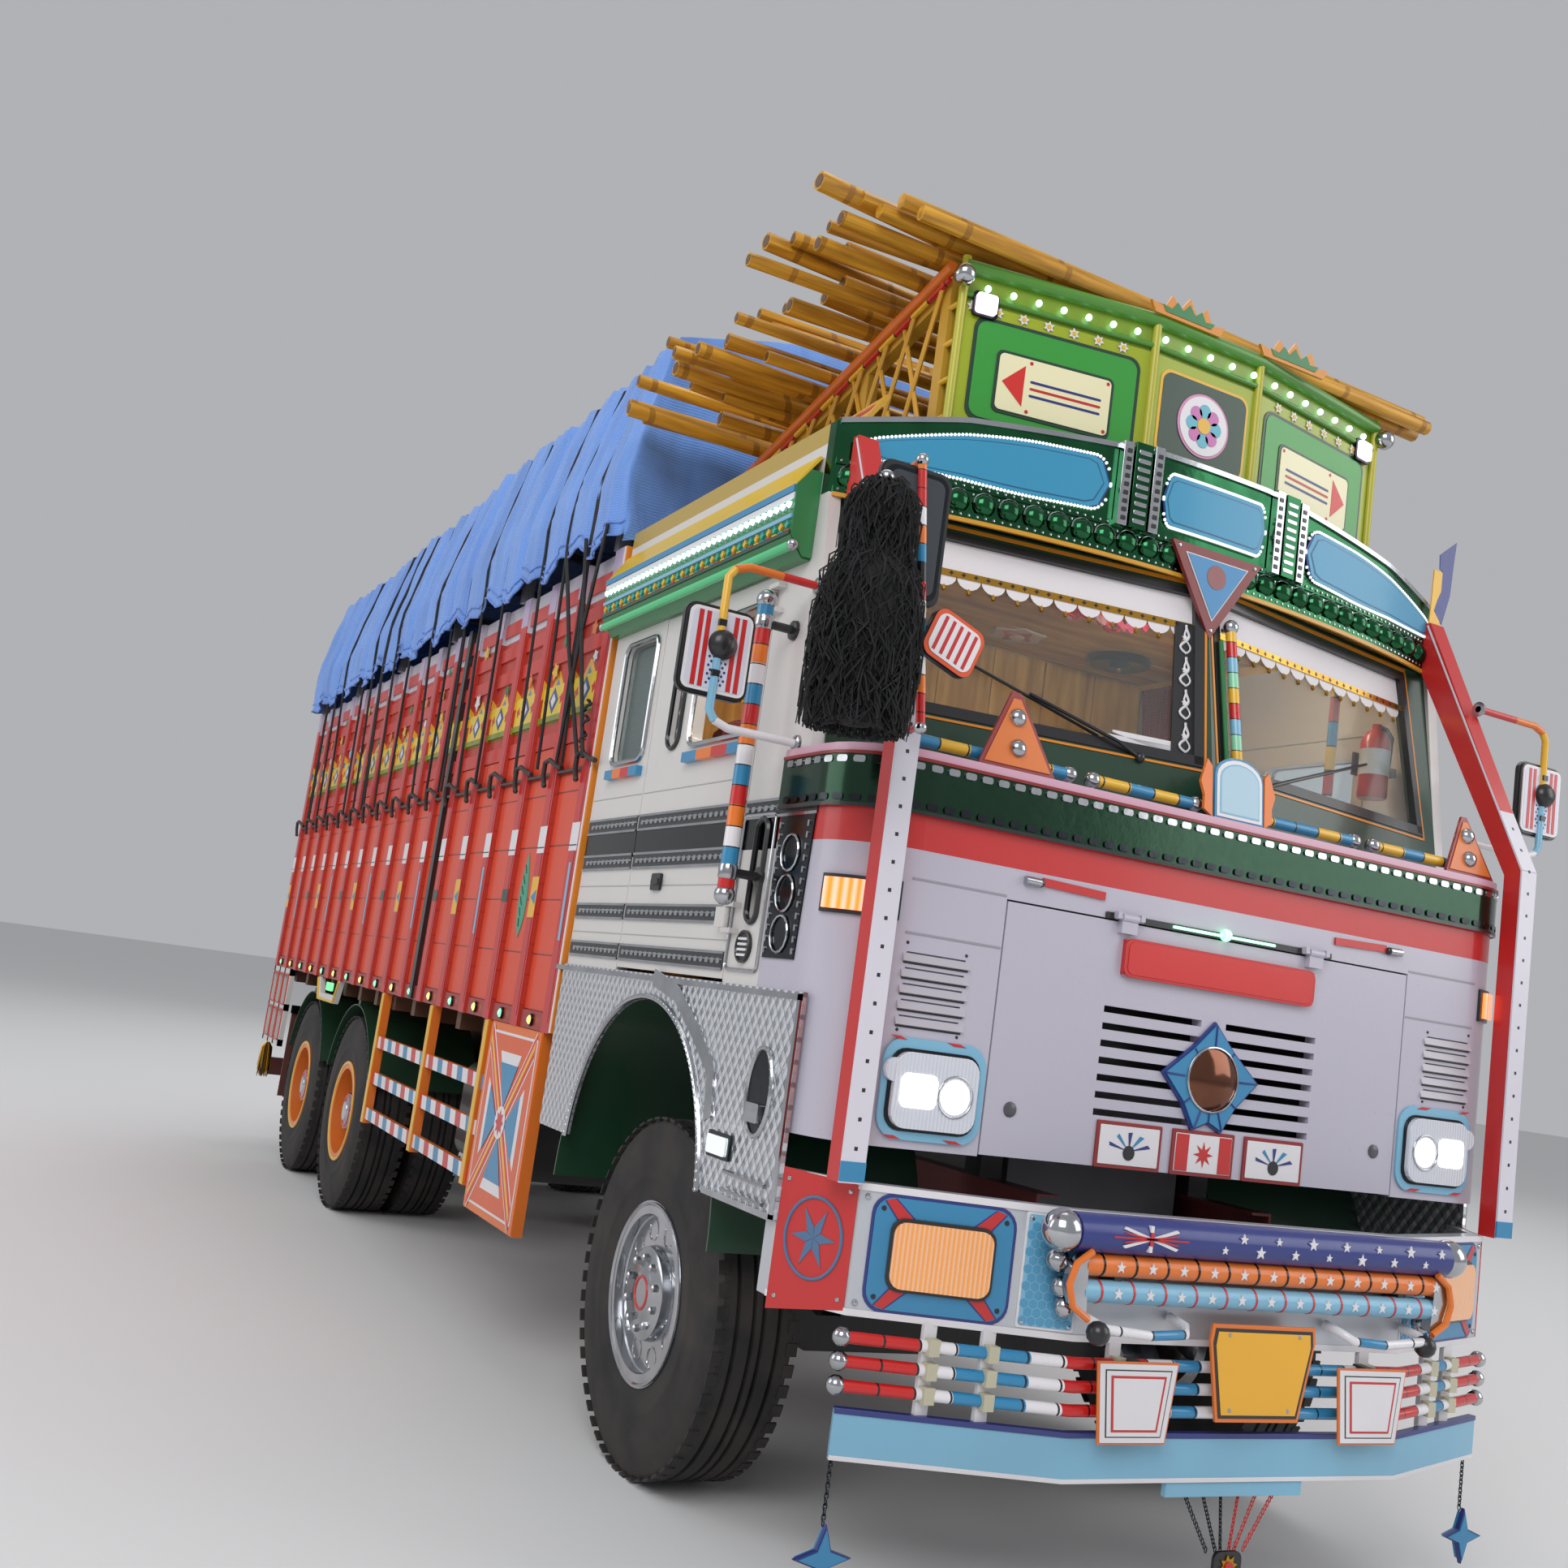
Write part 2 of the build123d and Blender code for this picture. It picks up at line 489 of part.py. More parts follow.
# Lamps: head lamps on the cowl's face, fog lamps on the bumper's bent faces
HEAD_LAMP = ((765.0, 1022.0), (1160.0, 1390.0))     # x, z
FOG_LAMP = ((780.0, 1020.0), (790.0, 970.0))
LAMP_T = 22.0


def on_bumper(x, proud):
    """Point on the bent face of the bumper at x from the middle, standing proud of it."""
    (x0, y0), (x1, y1) = BUMPER_PLAN[2], BUMPER_PLAN[1]
    run = Vector(x1 - x0, y1 - y0).normalized()
    return (x + run.Y * proud, COWL_Y + y0 + (x - x0) * (y1 - y0) / (x1 - x0) - run.X * proud)


with BuildPart() as lamps:
    for s in (-1, 1):
        slab((s * HEAD_LAMP[0][0], s * HEAD_LAMP[0][1]), (COWL_Y - LAMP_T, COWL_Y), HEAD_LAMP[1])
        with BuildSketch(Plane.XY.offset(FOG_LAMP[1][0])):
            base = [on_bumper(x, 0) for x in FOG_LAMP[0]] + [on_bumper(x, LAMP_T) for x in FOG_LAMP[0][::-1]]
            outline([(s * x, y) for x, y in base])
        extrude(amount=FOG_LAMP[1][1] - FOG_LAMP[1][0])
save(lamps, "lamps")

# Cab floor with its bearers, legs on the rails and the bulkhead behind the cowl
with BuildPart() as cab_floor:
    slab((-CAB_HALF, CAB_HALF), (COWL_BACK_Y, CAB_BACK_Y), (FLOOR_LOW, FLOOR_TOP))
    for y in (COWL_BACK_Y, CAB_BACK_Y - 140):
        slab((-1100, 1100), (y, y + 80), (FLOOR_LOW - 80, FLOOR_LOW))
        for s in (-1, 1):
            slab((s * (RAIL_X - RAIL_FLANGE), s * RAIL_X), (y, y + 80), (RAIL_TOP, FLOOR_LOW - 80))
    slab((-CAB_HALF + SKIN_T, CAB_HALF - SKIN_T), (COWL_BACK_Y, COWL_BACK_Y + 30), (FLOOR_TOP, BELT_TOP - 60))
save(cab_floor, "cab_floor")

# Fixed cab sides: front quarter, header over the door and rear quarter with its window
QUARTER_WINDOW = ((COWL_Y + 1560.0, COWL_Y + 1860.0), (2205.0, 2636.0))
with BuildPart() as cab_sides:
    for s in (-1, 1):
        with BuildSketch(beside(CAB_HALF - SKIN_T if s > 0 else -CAB_HALF)):
            outline([(COWL_BACK_Y, FLOOR_TOP), (CAB_BACK_Y, FLOOR_TOP), (CAB_BACK_Y, ROOF_LOW),
                     (VISOR_BACK_Y, ROOF_LOW), (VISOR_BACK_Y, VISOR_LOW), (COWL_Y + 412, VISOR_LOW),
                     (COWL_Y + 300, BELT_TOP), (COWL_BACK_Y, BELT_TOP)])
            with Locations(((DOOR_FRONT_Y + DOOR_REAR_Y) / 2, (FLOOR_TOP + DOOR_TOP + CLEAR) / 2)):
                Rectangle(DOOR_REAR_Y - DOOR_FRONT_Y + 2 * CLEAR, DOOR_TOP + CLEAR - FLOOR_TOP, mode=Mode.SUBTRACT)
            (y0, y1), (z0, z1) = QUARTER_WINDOW
            with Locations(((y0 + y1) / 2, (z0 + z1) / 2)):
                RectangleRounded(y1 - y0, z1 - z0, 40, mode=Mode.SUBTRACT)
            with Locations((COWL_Y + 520, 1800)):
                SlotOverall(290, 60, rotation=90, mode=Mode.SUBTRACT)
        extrude(amount=SKIN_T)
        for z in DOOR_HINGES_Z:
            for low in (z, z + LUG_T + SLEEVE_H + 2):
                slab((s * CAB_HALF, s * (DOOR_HINGE_X + EYE_OUT)), (DOOR_FRONT_Y - 60, DOOR_FRONT_Y - CLEAR),
                     (low, low + LUG_T))
                rod((s * DOOR_HINGE_X, DOOR_FRONT_Y, low), (s * DOOR_HINGE_X, DOOR_FRONT_Y, low + LUG_T),
                    EYE_OUT)
            rod((s * DOOR_HINGE_X, DOOR_FRONT_Y, z),
                (s * DOOR_HINGE_X, DOOR_FRONT_Y, z + 2 * LUG_T + SLEEVE_H + 2), HINGE_R)
save(cab_sides, "cab_sides")

# Doors: one pressing each with its window and vent slot cut out, on sleeve hinges
for name, s in SIDES:
    with BuildPart() as door:
        with BuildSketch(beside(CAB_HALF - SKIN_T if s > 0 else -CAB_HALF)):
            with Locations(((DOOR_FRONT_Y + DOOR_REAR_Y) / 2, (DOOR_LOW + DOOR_TOP) / 2)):
                Rectangle(DOOR_REAR_Y - DOOR_FRONT_Y, DOOR_TOP - DOOR_LOW)
            with Locations((COWL_Y + 935, 2410)):
                RectangleRounded(450, 390, 40, mode=Mode.SUBTRACT)
            with Locations((COWL_Y + 1300, 2400)):
                SlotOverall(350, 90, rotation=90, mode=Mode.SUBTRACT)
        extrude(amount=SKIN_T)
        for z in DOOR_HINGES_Z:
            low, high = z + LUG_T + 1, z + LUG_T + 1 + SLEEVE_H
            rod((s * DOOR_HINGE_X, DOOR_FRONT_Y, low), (s * DOOR_HINGE_X, DOOR_FRONT_Y, high), SLEEVE_R)
            slab((s * CAB_HALF, s * (DOOR_HINGE_X + 6)), (DOOR_FRONT_Y + 4, DOOR_FRONT_Y + 60), (low, high))
            rod((s * DOOR_HINGE_X, DOOR_FRONT_Y, low), (s * DOOR_HINGE_X, DOOR_FRONT_Y, high),
                HINGE_R + PIN_FIT, mode=Mode.SUBTRACT)
    save(door, f"door_{name}")

# Cab back wall and roof
with BuildPart() as cab_back:
    slab((-CAB_HALF + SKIN_T, CAB_HALF - SKIN_T), (CAB_BACK_Y - SKIN_T, CAB_BACK_Y), (FLOOR_TOP, ROOF_LOW))
save(cab_back, "cab_back")

with BuildPart() as cab_roof:
    slab((-CAB_HALF, CAB_HALF), (VISOR_BACK_Y, CAB_BACK_Y), (ROOF_LOW, ROOF_TOP))
save(cab_roof, "cab_roof")

# Windshield frame: two swept, leaning halves that meet at a centre post
WS_ANGLE = atan2(WS_SWEEP, 1)
WS_ALONG = Vector(cos(WS_ANGLE), sin(WS_ANGLE), 0)
WS_UP = Vector(0, WS_LEAN, 1)
WS_PLANE = Plane(origin=(0, WS_Y, BELT_TOP), x_dir=WS_ALONG, z_dir=WS_ALONG.cross(WS_UP))
WS_FRAME_T = 45.0
GLASS_T = 8.0
PANE = [(45.0, 190.0), (1130.0, 190.0), (1095.0, 740.0), (45.0, 740.0)]

with BuildPart() as windshield_frame:
    with BuildSketch(WS_PLANE):
        with Locations((700, 390)):
            Rectangle(1500, 1100)
        outline(PANE, mode=Mode.SUBTRACT)
    extrude(amount=-WS_FRAME_T)
    split(bisect_by=Plane.YZ, keep=Keep.TOP)
    split(bisect_by=Plane.YZ.offset(CAB_HALF - SKIN_T), keep=Keep.BOTTOM)
    split(bisect_by=Plane.XY.offset(BELT_TOP), keep=Keep.TOP)
    split(bisect_by=Plane.XY.offset(VISOR_LOW), keep=Keep.BOTTOM)
    mirror(about=Plane.YZ)
save(windshield_frame, "windshield_frame")

# Glass: both windshield panes and the two quarter windows
with BuildPart() as cab_glass:
    with BuildSketch(WS_PLANE.offset(-20)):
        outline(PANE)
    extrude(amount=-GLASS_T)
    (y0, y1), (z0, z1) = QUARTER_WINDOW
    with BuildSketch(beside(CAB_HALF - 24)):
        with Locations(((y0 + y1) / 2, (z0 + z1) / 2)):
            RectangleRounded(y1 - y0, z1 - z0, 40)
    extrude(amount=GLASS_T)
    mirror(about=Plane.YZ)
save(cab_glass, "cab_glass")

# Header visor: a bowed box over the windshield, arched along its top
VISOR_TOP = ((CAB_HALF, ROOF_TOP), (860.0, ROOF_TOP + 80), (215.0, ROOF_TOP + 140))     # half: out, height
with BuildPart() as header_visor:
    with BuildSketch(Plane.XY.offset(VISOR_LOW)):
        with BuildLine():
            ThreePointArc((-CAB_HALF, VISOR_END_Y), (0, VISOR_END_Y - VISOR_BOW), (CAB_HALF, VISOR_END_Y))
            Polyline((CAB_HALF, VISOR_END_Y), (CAB_HALF, VISOR_BACK_Y), (-CAB_HALF, VISOR_BACK_Y),
                     (-CAB_HALF, VISOR_END_Y))
        make_face()
    extrude(amount=VISOR_TOP[2][1] - VISOR_LOW)
    with BuildSketch(across(VISOR_BACK_Y)):
        outline([(-x, z) for x, z in VISOR_TOP] + [(x, z) for x, z in reversed(VISOR_TOP)]
                + [(CAB_HALF, ROOF_TOP + 200), (-CAB_HALF, ROOF_TOP + 200)])
    extrude(amount=300, mode=Mode.SUBTRACT)
save(header_visor, "header_visor")

# Side cornices over the doors
with BuildPart() as side_cornices:
    with BuildSketch(across(CAB_BACK_Y)):
        for s in (-1, 1):
            outline([(s * CAB_HALF, 2690), (s * (CAB_HALF + 30), 2690), (s * 1300, 2750), (s * 1300, 2900),
                     (s * 1262, 2950), (s * CAB_HALF, 2950)])
    extrude(amount=CAB_BACK_Y - COWL_Y - 470)
save(side_cornices, "side_cornices")

# Roof board: three boards across the front of the roof, standing on the visor
BOARD_TOP = ROOF_TOP + 595.0
BOARD_T = 40.0
BOARD_PLAN = ((850.0, 480.0), (215.0, 365.0))
with BuildPart() as roof_board:
    with BuildSketch(Plane.XY.offset(ROOF_TOP)):
        outline(bumper_plan(-BOARD_T, BOARD_PLAN) + bumper_plan(0, BOARD_PLAN)[::-1])
    extrude(amount=BOARD_TOP - ROOF_TOP)
    with BuildSketch(across(VISOR_BACK_Y + 30)):
        outline([(-x, z) for x, z in VISOR_TOP] + [(x, z) for x, z in reversed(VISOR_TOP)]
                + [(CAB_HALF, ROOF_TOP - 100), (-CAB_HALF, ROOF_TOP - 100)])
    extrude(amount=300, mode=Mode.SUBTRACT)
save(roof_board, "roof_board")

# Roof rack: two sloping side frames on the roof, with cross rails
RACK_Y = (COWL_Y + 490.0, COWL_Y + 1950.0)
RACK_TOP = (ROOF_TOP + 590.0, ROOF_TOP + 230.0)
RACK_X = 850.0
RACK_T = 40.0
RACK_BAYS = 3
with BuildPart() as roof_rack:
    for s in (-1, 1):
        with BuildSketch(beside(s * RACK_X - RACK_T / 2)):
            outline([(RACK_Y[0], ROOF_TOP), (RACK_Y[1], ROOF_TOP), (RACK_Y[1], RACK_TOP[1]),
                     (RACK_Y[0], RACK_TOP[0])])
            for k in range(RACK_BAYS):
                y0 = RACK_Y[0] + 50 + k * 470
                y1 = y0 + 420
                slope = (RACK_TOP[1] - RACK_TOP[0]) / (RACK_Y[1] - RACK_Y[0])
                z0 = RACK_TOP[0] - 50 + slope * (y0 - RACK_Y[0])
                z1 = RACK_TOP[0] - 50 + slope * (y1 - RACK_Y[0])
                outline([(y0, ROOF_TOP + 50), (y1, ROOF_TOP + 50), (y1, z1), (y0, z0)], mode=Mode.SUBTRACT)
        extrude(amount=RACK_T)
    for y in (RACK_Y[0] + 500, RACK_Y[1] - 60):
        slab((-RACK_X, RACK_X), (y, y + 50), (ROOF_TOP, ROOF_TOP + 40))
save(roof_rack, "roof_rack")

# Corner guards: boxed posts from the bumper's wings, leaning back to the visor
GUARD_W = 64.0
GUARD_X = 1152.0


def visor_face(x):
    """Where the visor's bowed front stands at x from the middle."""
    radius = (CAB_HALF ** 2 + VISOR_BOW ** 2) / (2 * VISOR_BOW)
    return VISOR_END_Y - VISOR_BOW + radius - sqrt(radius ** 2 - x ** 2)


with BuildPart() as corner_guards:
    for s in (-1, 1):
        with BuildSketch(beside(s * GUARD_X - GUARD_W / 2)):
            top_y = visor_face(GUARD_X - GUARD_W / 2) - SEAT_GAP
            outline([(COWL_Y - 14, BUMPER_TOP), (COWL_Y - 14, 2160), (top_y, VISOR_LOW),
                     (top_y, VISOR_LOW + 165), (top_y - 30, VISOR_LOW + 165), (COWL_Y - 78, 2175),
                     (COWL_Y - 78, BUMPER_TOP)])
        extrude(amount=GUARD_W)
save(corner_guards, "corner_guards")

# Grab rails by the doors, on two stubs each
with BuildPart() as grab_rails:
    for s in (-1, 1):
        rod((s * 1326, COWL_Y + 504, 1732), (s * 1326, COWL_Y + 504, 2540), 24)
        for z in (1780, 2490):
            rod((s * CAB_HALF, COWL_Y + 504, z), (s * 1320, COWL_Y + 504, z), 12)
save(grab_rails, "grab_rails")

# Mirrors on bent arms from the front quarters
MIRROR_OUT = 1600.0
MIRROR_Y = COWL_Y + 440.0
with BuildPart() as mirrors:
    for s in (-1, 1):
        for z in (2590, 2650):
            rod((s * CAB_HALF, MIRROR_Y, z), (s * 1500, MIRROR_Y, z), 11)
        rod((s * 1500, MIRROR_Y, 2661), (s * 1500, MIRROR_Y, 2300), 11)
        slab((s * 1400, s * MIRROR_OUT), (MIRROR_Y - 15, MIRROR_Y + 15), (2250, 2560))
save(mirrors, "mirrors")

# Seats on plinths: the driver's on the right, a bench on the left, a bunk along the back
with BuildPart() as seats:
    for x0, x1 in ((-1000, -400), (-250, 1000)):
        with BuildSketch(beside(x0)):
            outline([(COWL_Y + 1000, FLOOR_TOP), (COWL_Y + 1420, FLOOR_TOP), (COWL_Y + 1420, 1850),
                     (COWL_Y + 1520, 2400), (COWL_Y + 1440, 2420), (COWL_Y + 1330, 1900),
                     (COWL_Y + 960, 1920), (COWL_Y + 960, 1800)])
        extrude(amount=x1 - x0)
save(seats, "seats")

# Dashboard on the bulkhead with the steering column and wheel
WHEEL_C = (-620.0, COWL_Y + 820.0, 2120.0)
with BuildPart() as dashboard:
    slab((-CAB_HALF + SKIN_T, CAB_HALF - SKIN_T), (COWL_BACK_Y + 30, COWL_Y + 600), (1850, 2050))
    rod((WHEEL_C[0], COWL_Y + 590, 1960), WHEEL_C, 22)
    with BuildSketch(Plane(origin=WHEEL_C, z_dir=(0, 0.72, 0.69))):
        Circle(225)
        Circle(195, mode=Mode.SUBTRACT)
        Rectangle(400, 40)
    extrude(amount=24)
save(dashboard, "dashboard")

# Skirts with the wheel arch cut out, over the cab's sides
with BuildPart() as arch_skirts:
    for s in (-1, 1):
        with BuildSketch(beside(CAB_HALF if s > 0 else -CAB_HALF - SKIRT_T)):
            outline([(COWL_Y + 130, SKIRT_LOW), (CAB_BACK_Y, SKIRT_LOW), (CAB_BACK_Y, FLOOR_TOP),
                     (COWL_Y + 130, FLOOR_TOP)])
            with Locations((ARCH_Y, ARCH_Z)):
                Circle(ARCH_R, mode=Mode.SUBTRACT)
        extrude(amount=SKIRT_T)
save(arch_skirts, "arch_skirts")

# Mudguards: half round shells in front, hung from the floor, and shells over both rear axles
GUARD_R = 640.0
GUARD_Z = 760.0
GUARD_IN = 560.0
SHELL_T = 8.0
REAR_GUARD_R = 585.0
REAR_GUARD_W = 590.0
REAR_GUARD_IN = BODY_HALF - WALL_T - REAR_GUARD_W
BEARER_LOW = BED_LOW - 150.0
with BuildPart() as mudguards:
    for s in (-1, 1):
        with BuildSketch(beside(GUARD_IN if s > 0 else -CAB_HALF)):
            with Locations((ARCH_Y, GUARD_Z)):
                Circle(GUARD_R + SHELL_T)
                Circle(GUARD_R, mode=Mode.SUBTRACT)
            with Locations((ARCH_Y, GUARD_Z - 700)):
                Rectangle(1400, 1400, mode=Mode.SUBTRACT)
        extrude(amount=CAB_HALF - GUARD_IN)
        slab((s * 600, s * 1180), (ARCH_Y - 40, ARCH_Y + 40), (GUARD_Z + GUARD_R + 4, FLOOR_LOW))
        with BuildSketch(beside(REAR_GUARD_IN if s > 0 else -REAR_GUARD_IN - REAR_GUARD_W)):
            for y in REAR_AXLES_Y:
                with Locations((y, AXLE_Z)):
                    Circle(REAR_GUARD_R + 6)
            for y in REAR_AXLES_Y:
                with Locations((y, AXLE_Z)):
                    Circle(REAR_GUARD_R, mode=Mode.SUBTRACT)
            with Locations((BOGIE_Y, AXLE_Z - 350)):
                Rectangle(3000, 1100, mode=Mode.SUBTRACT)
        extrude(amount=REAR_GUARD_W)
        for y in REAR_AXLES_Y:
            slab((s * RAIL_X, s * (REAR_GUARD_IN + REAR_GUARD_W - 10)), (y - 25, y + 25),
                 (AXLE_Z + REAR_GUARD_R + 2, BEARER_LOW))
save(mudguards, "mudguards")

# Bed: boards on cross bearers, on two runners over the rails
BEARERS = 15
BEARER_W = 70.0
SILL_W = 120.0
GATE_HINGE = (BODY_REAR_Y + 18.0, BED_LOW + 20.0)    # y, z
GATE_HINGES_X = (-800.0, 0.0, 800.0)
BED_HALF = BODY_HALF - WALL_T
with BuildPart() as bed_floor:
    slab((-BED_HALF, BED_HALF), (BODY_FRONT_Y + WALL_T, BODY_REAR_Y - WALL_T - 2 * CLEAR), (BED_LOW, BED_TOP))
save(bed_floor, "bed_floor")

with BuildPart() as bed_runners:
    for s in (-1, 1):
        slab((s * (RAIL_X - RAIL_FLANGE), s * RAIL_X), (BODY_FRONT_Y + 60, RAIL_REAR_Y), (RAIL_TOP, BEARER_LOW))
save(bed_runners, "bed_runners")

# Cross bearers, the last one a sill that carries the gate's hinge pins
with BuildPart() as bed_bearers:
    first_y, last_y = BODY_FRONT_Y + 90, BODY_REAR_Y - SILL_W - 50 - BEARER_W
    for k in range(BEARERS):
        y = first_y + k * (last_y - first_y) / (BEARERS - 1)
        slab((-BED_HALF, BED_HALF), (y, y + BEARER_W), (BEARER_LOW, BED_LOW))
    slab((-BED_HALF, BED_HALF), (BODY_REAR_Y - SILL_W, BODY_REAR_Y), (BEARER_LOW, BED_LOW))
    for x in GATE_HINGES_X:
        for dx in (-50, 50 - LUG_T):
            lug_x, back_y = (x + dx, x + dx + LUG_T), GATE_HINGE[0] + EYE_OUT
            slab(lug_x, (BODY_REAR_Y, back_y), (BED_LOW - 40, BED_LOW))
            slab(lug_x, (GATE_HINGE[0] - EYE_OUT, back_y), (BED_LOW, GATE_HINGE[1]))
            rod((x + dx, *GATE_HINGE), (x + dx + LUG_T, *GATE_HINGE), EYE_OUT)
        rod((x - 50, *GATE_HINGE), (x + 50, *GATE_HINGE), HINGE_R)
save(bed_bearers, "bed_bearers")

# Sides of the load body: boards with upright posts outside them
with BuildPart() as bed_sides:
    for s in (-1, 1):
        slab((s * (BODY_HALF - WALL_T), s * (BODY_HALF - 20)), (BODY_FRONT_Y, BODY_REAR_Y), (WALL_LOW, WALL_TOP))
        for k in range(POSTS):
            y = BODY_FRONT_Y + k * (BODY_REAR_Y - BODY_FRONT_Y - POST_W) / (POSTS - 1)
            slab((s * (BODY_HALF - 20), s * BODY_HALF), (y, y + POST_W), (WALL_LOW, WALL_TOP))
save(bed_sides, "bed_sides")

# Ends of the load body: the headboard at the front and the fixed panel over the tailgate
with BuildPart() as bed_ends:
    slab((-BED_HALF, BED_HALF), (BODY_FRONT_Y, BODY_FRONT_Y + WALL_T), (WALL_LOW, WALL_TOP))
    slab((-BED_HALF, BED_HALF), (BODY_REAR_Y - WALL_T, BODY_REAR_Y), (GATE_TOP + CLEAR, WALL_TOP))
save(bed_ends, "bed_ends")

# Tailgate, hinged along its foot
with BuildPart() as tailgate:
    slab((-BED_HALF + CLEAR, BED_HALF - CLEAR), (BODY_REAR_Y - WALL_T, BODY_REAR_Y), (BED_LOW + CLEAR, GATE_TOP))
    for x in GATE_HINGES_X:
        rod((x - 35, *GATE_HINGE), (x + 35, *GATE_HINGE), SLEEVE_R)
        slab((x - 35, x + 35), (BODY_REAR_Y, GATE_HINGE[0] + 6), (GATE_HINGE[1], GATE_HINGE[1] + 90))
        rod((x - 35, *GATE_HINGE), (x + 35, *GATE_HINGE), HINGE_R + PIN_FIT, mode=Mode.SUBTRACT)
save(tailgate, "tailgate")

# Tarpaulin over hoops: half section as (out, height)
TARP_HALF = BODY_HALF + 22.0
TARP_SECTION = ((TARP_HALF, TARP_HEM), (TARP_HALF, TARP_HEM + 250), (TARP_HALF - 132, TARP_HEM + 800),
                (TARP_HALF - 612, TARP_HEM + 940))
TARP_Y = (BODY_FRONT_Y - 35.0, BODY_REAR_Y + 55.0)


def tarp_section(inset):
    """Section of the tarpaulin's outer face, moved in by inset, open side down."""
    shifts = ((1.0, 0.0), (1.0, 0.12), (0.85, 0.75), (0.15, 1.0))
    half = [(x - dx * inset, z - dz * inset) for (x, z), (dx, dz) in zip(TARP_SECTION, shifts)]
    return [(-x, z) for x, z in half] + [(x, z) for x, z in reversed(half)]


with BuildPart() as tarp:
    with BuildSketch(across(TARP_Y[1])):
        outline(tarp_section(0))
    extrude(amount=TARP_Y[1] - TARP_Y[0])
    with BuildSketch(across(TARP_Y[1] - TARP_T)):
        outline(tarp_section(TARP_T))
    extrude(amount=TARP_Y[1] - TARP_Y[0] - 2 * TARP_T, mode=Mode.SUBTRACT)
save(tarp, "tarp")

HOOPS = 6
HOOP_W = 50.0
with BuildPart() as tarp_hoops:
    for k in range(HOOPS):
        y = BODY_FRONT_Y + 60 + k * (BODY_REAR_Y - BODY_FRONT_Y - 120 - HOOP_W) / (HOOPS - 1)
        with BuildSketch(across(y + HOOP_W)):
            outline(tarp_section(TARP_T + SEAT_GAP))
            outline(tarp_section(TARP_T + 45), mode=Mode.SUBTRACT)
        extrude(amount=HOOP_W)
        for s in (-1, 1):
            slab((s * (BODY_HALF - 45), s * (TARP_HALF - TARP_T - SEAT_GAP)), (y, y + HOOP_W),
                 (WALL_TOP, TARP_HEM))
save(tarp_hoops, "tarp_hoops")

# Side guards: a painted panel behind the cab and three rails as far as the rear wheels
with BuildPart() as side_guards:
    for s in (-1, 1):
        slab((s * (BODY_HALF - 40), s * BODY_HALF), (COWL_Y + 2100, COWL_Y + 2740), (490, WALL_LOW))
        for y in (COWL_Y + 2800, COWL_Y + 3700, REAR_AXLES_Y[0] - 837):
            slab((s * (BODY_HALF - 40), s * BODY_HALF), (y, y + 50), (560, WALL_LOW))
        for z in (580, 760, 940):
            slab((s * (BODY_HALF - 30), s * (BODY_HALF - 10)), (COWL_Y + 2740, REAR_AXLES_Y[0] - 787), (z, z + 60))
save(side_guards, "side_guards")

# Rear guards: the underrun bar on two arms, and the grid panels behind the wheels
with BuildPart() as rear_guards:
    slab((-1150, 1150), (REAR_Y - 60, REAR_Y), (450, 570))
    for s in (-1, 1):
        slab((s * 350, s * RAIL_X), (RAIL_REAR_Y, REAR_Y - 60), (500, 900))
save(rear_guards, "rear_guards")
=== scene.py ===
"""Finishes and fittings of the decorated goods truck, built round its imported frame.

Places are written in millimetres: across from the middle, behind the cowl's flat face, and up from the
ground. at() turns them into metres in the row frame.
"""
import logging
import math
import random
from dataclasses import dataclass
from enum import Enum
from functools import lru_cache
from typing import Iterable, Optional, Sequence, Union

import bmesh
import bpy
from mathutils import Matrix, Vector


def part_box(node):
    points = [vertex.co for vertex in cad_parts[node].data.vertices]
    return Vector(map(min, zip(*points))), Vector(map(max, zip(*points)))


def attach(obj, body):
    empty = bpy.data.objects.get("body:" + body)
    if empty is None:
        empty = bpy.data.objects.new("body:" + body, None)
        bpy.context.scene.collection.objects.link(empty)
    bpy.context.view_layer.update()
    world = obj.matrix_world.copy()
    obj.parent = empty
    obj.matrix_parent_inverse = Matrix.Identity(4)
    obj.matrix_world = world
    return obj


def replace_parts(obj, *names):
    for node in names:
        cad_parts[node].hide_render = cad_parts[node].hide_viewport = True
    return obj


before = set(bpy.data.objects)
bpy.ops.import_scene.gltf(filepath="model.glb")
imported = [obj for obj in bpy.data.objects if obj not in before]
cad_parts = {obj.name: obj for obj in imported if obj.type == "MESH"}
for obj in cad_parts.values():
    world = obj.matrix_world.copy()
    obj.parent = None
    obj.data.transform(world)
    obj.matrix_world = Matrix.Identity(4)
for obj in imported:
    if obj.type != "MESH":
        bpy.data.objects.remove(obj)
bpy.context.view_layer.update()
COWL_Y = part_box("arch_skirts")[0].y - 0.130
SIDES = (-1, 1)
SIDE_NAMES = ("right", "left")
ACROSS, BACK, UP, FRONT = Vector((1, 0, 0)), Vector((0, 1, 0)), Vector((0, 0, 1)), Vector((0, -1, 0))
# The cab's half width, the cowl's corner radius, the visor's bow and the corner guards' place
CAB_HALF, CORNER, VISOR_BOW, GUARD_X = 1226.0, 204.0, 205.0, 1152.0
# The load body's half width, and the foot and head of its boards
BODY_HALF, BOARDS_LOW, BOARDS_HIGH = 1240.0, 1222.0, 3058.0
LOG = logging.getLogger("truck")
Number = Union[float, "Signal"]
Colour = tuple[float, float, float]


def at(across: float, behind: float, up: float) -> Vector:
    """Point in the row frame.

    Args:
        across: Millimetres from the middle, to the truck's left.
        behind: Millimetres behind the cowl's face.
        up: Millimetres above the ground.

    Returns:
        The point in metres.
    """
    return Vector((across / 1000, COWL_Y + behind / 1000, up / 1000))


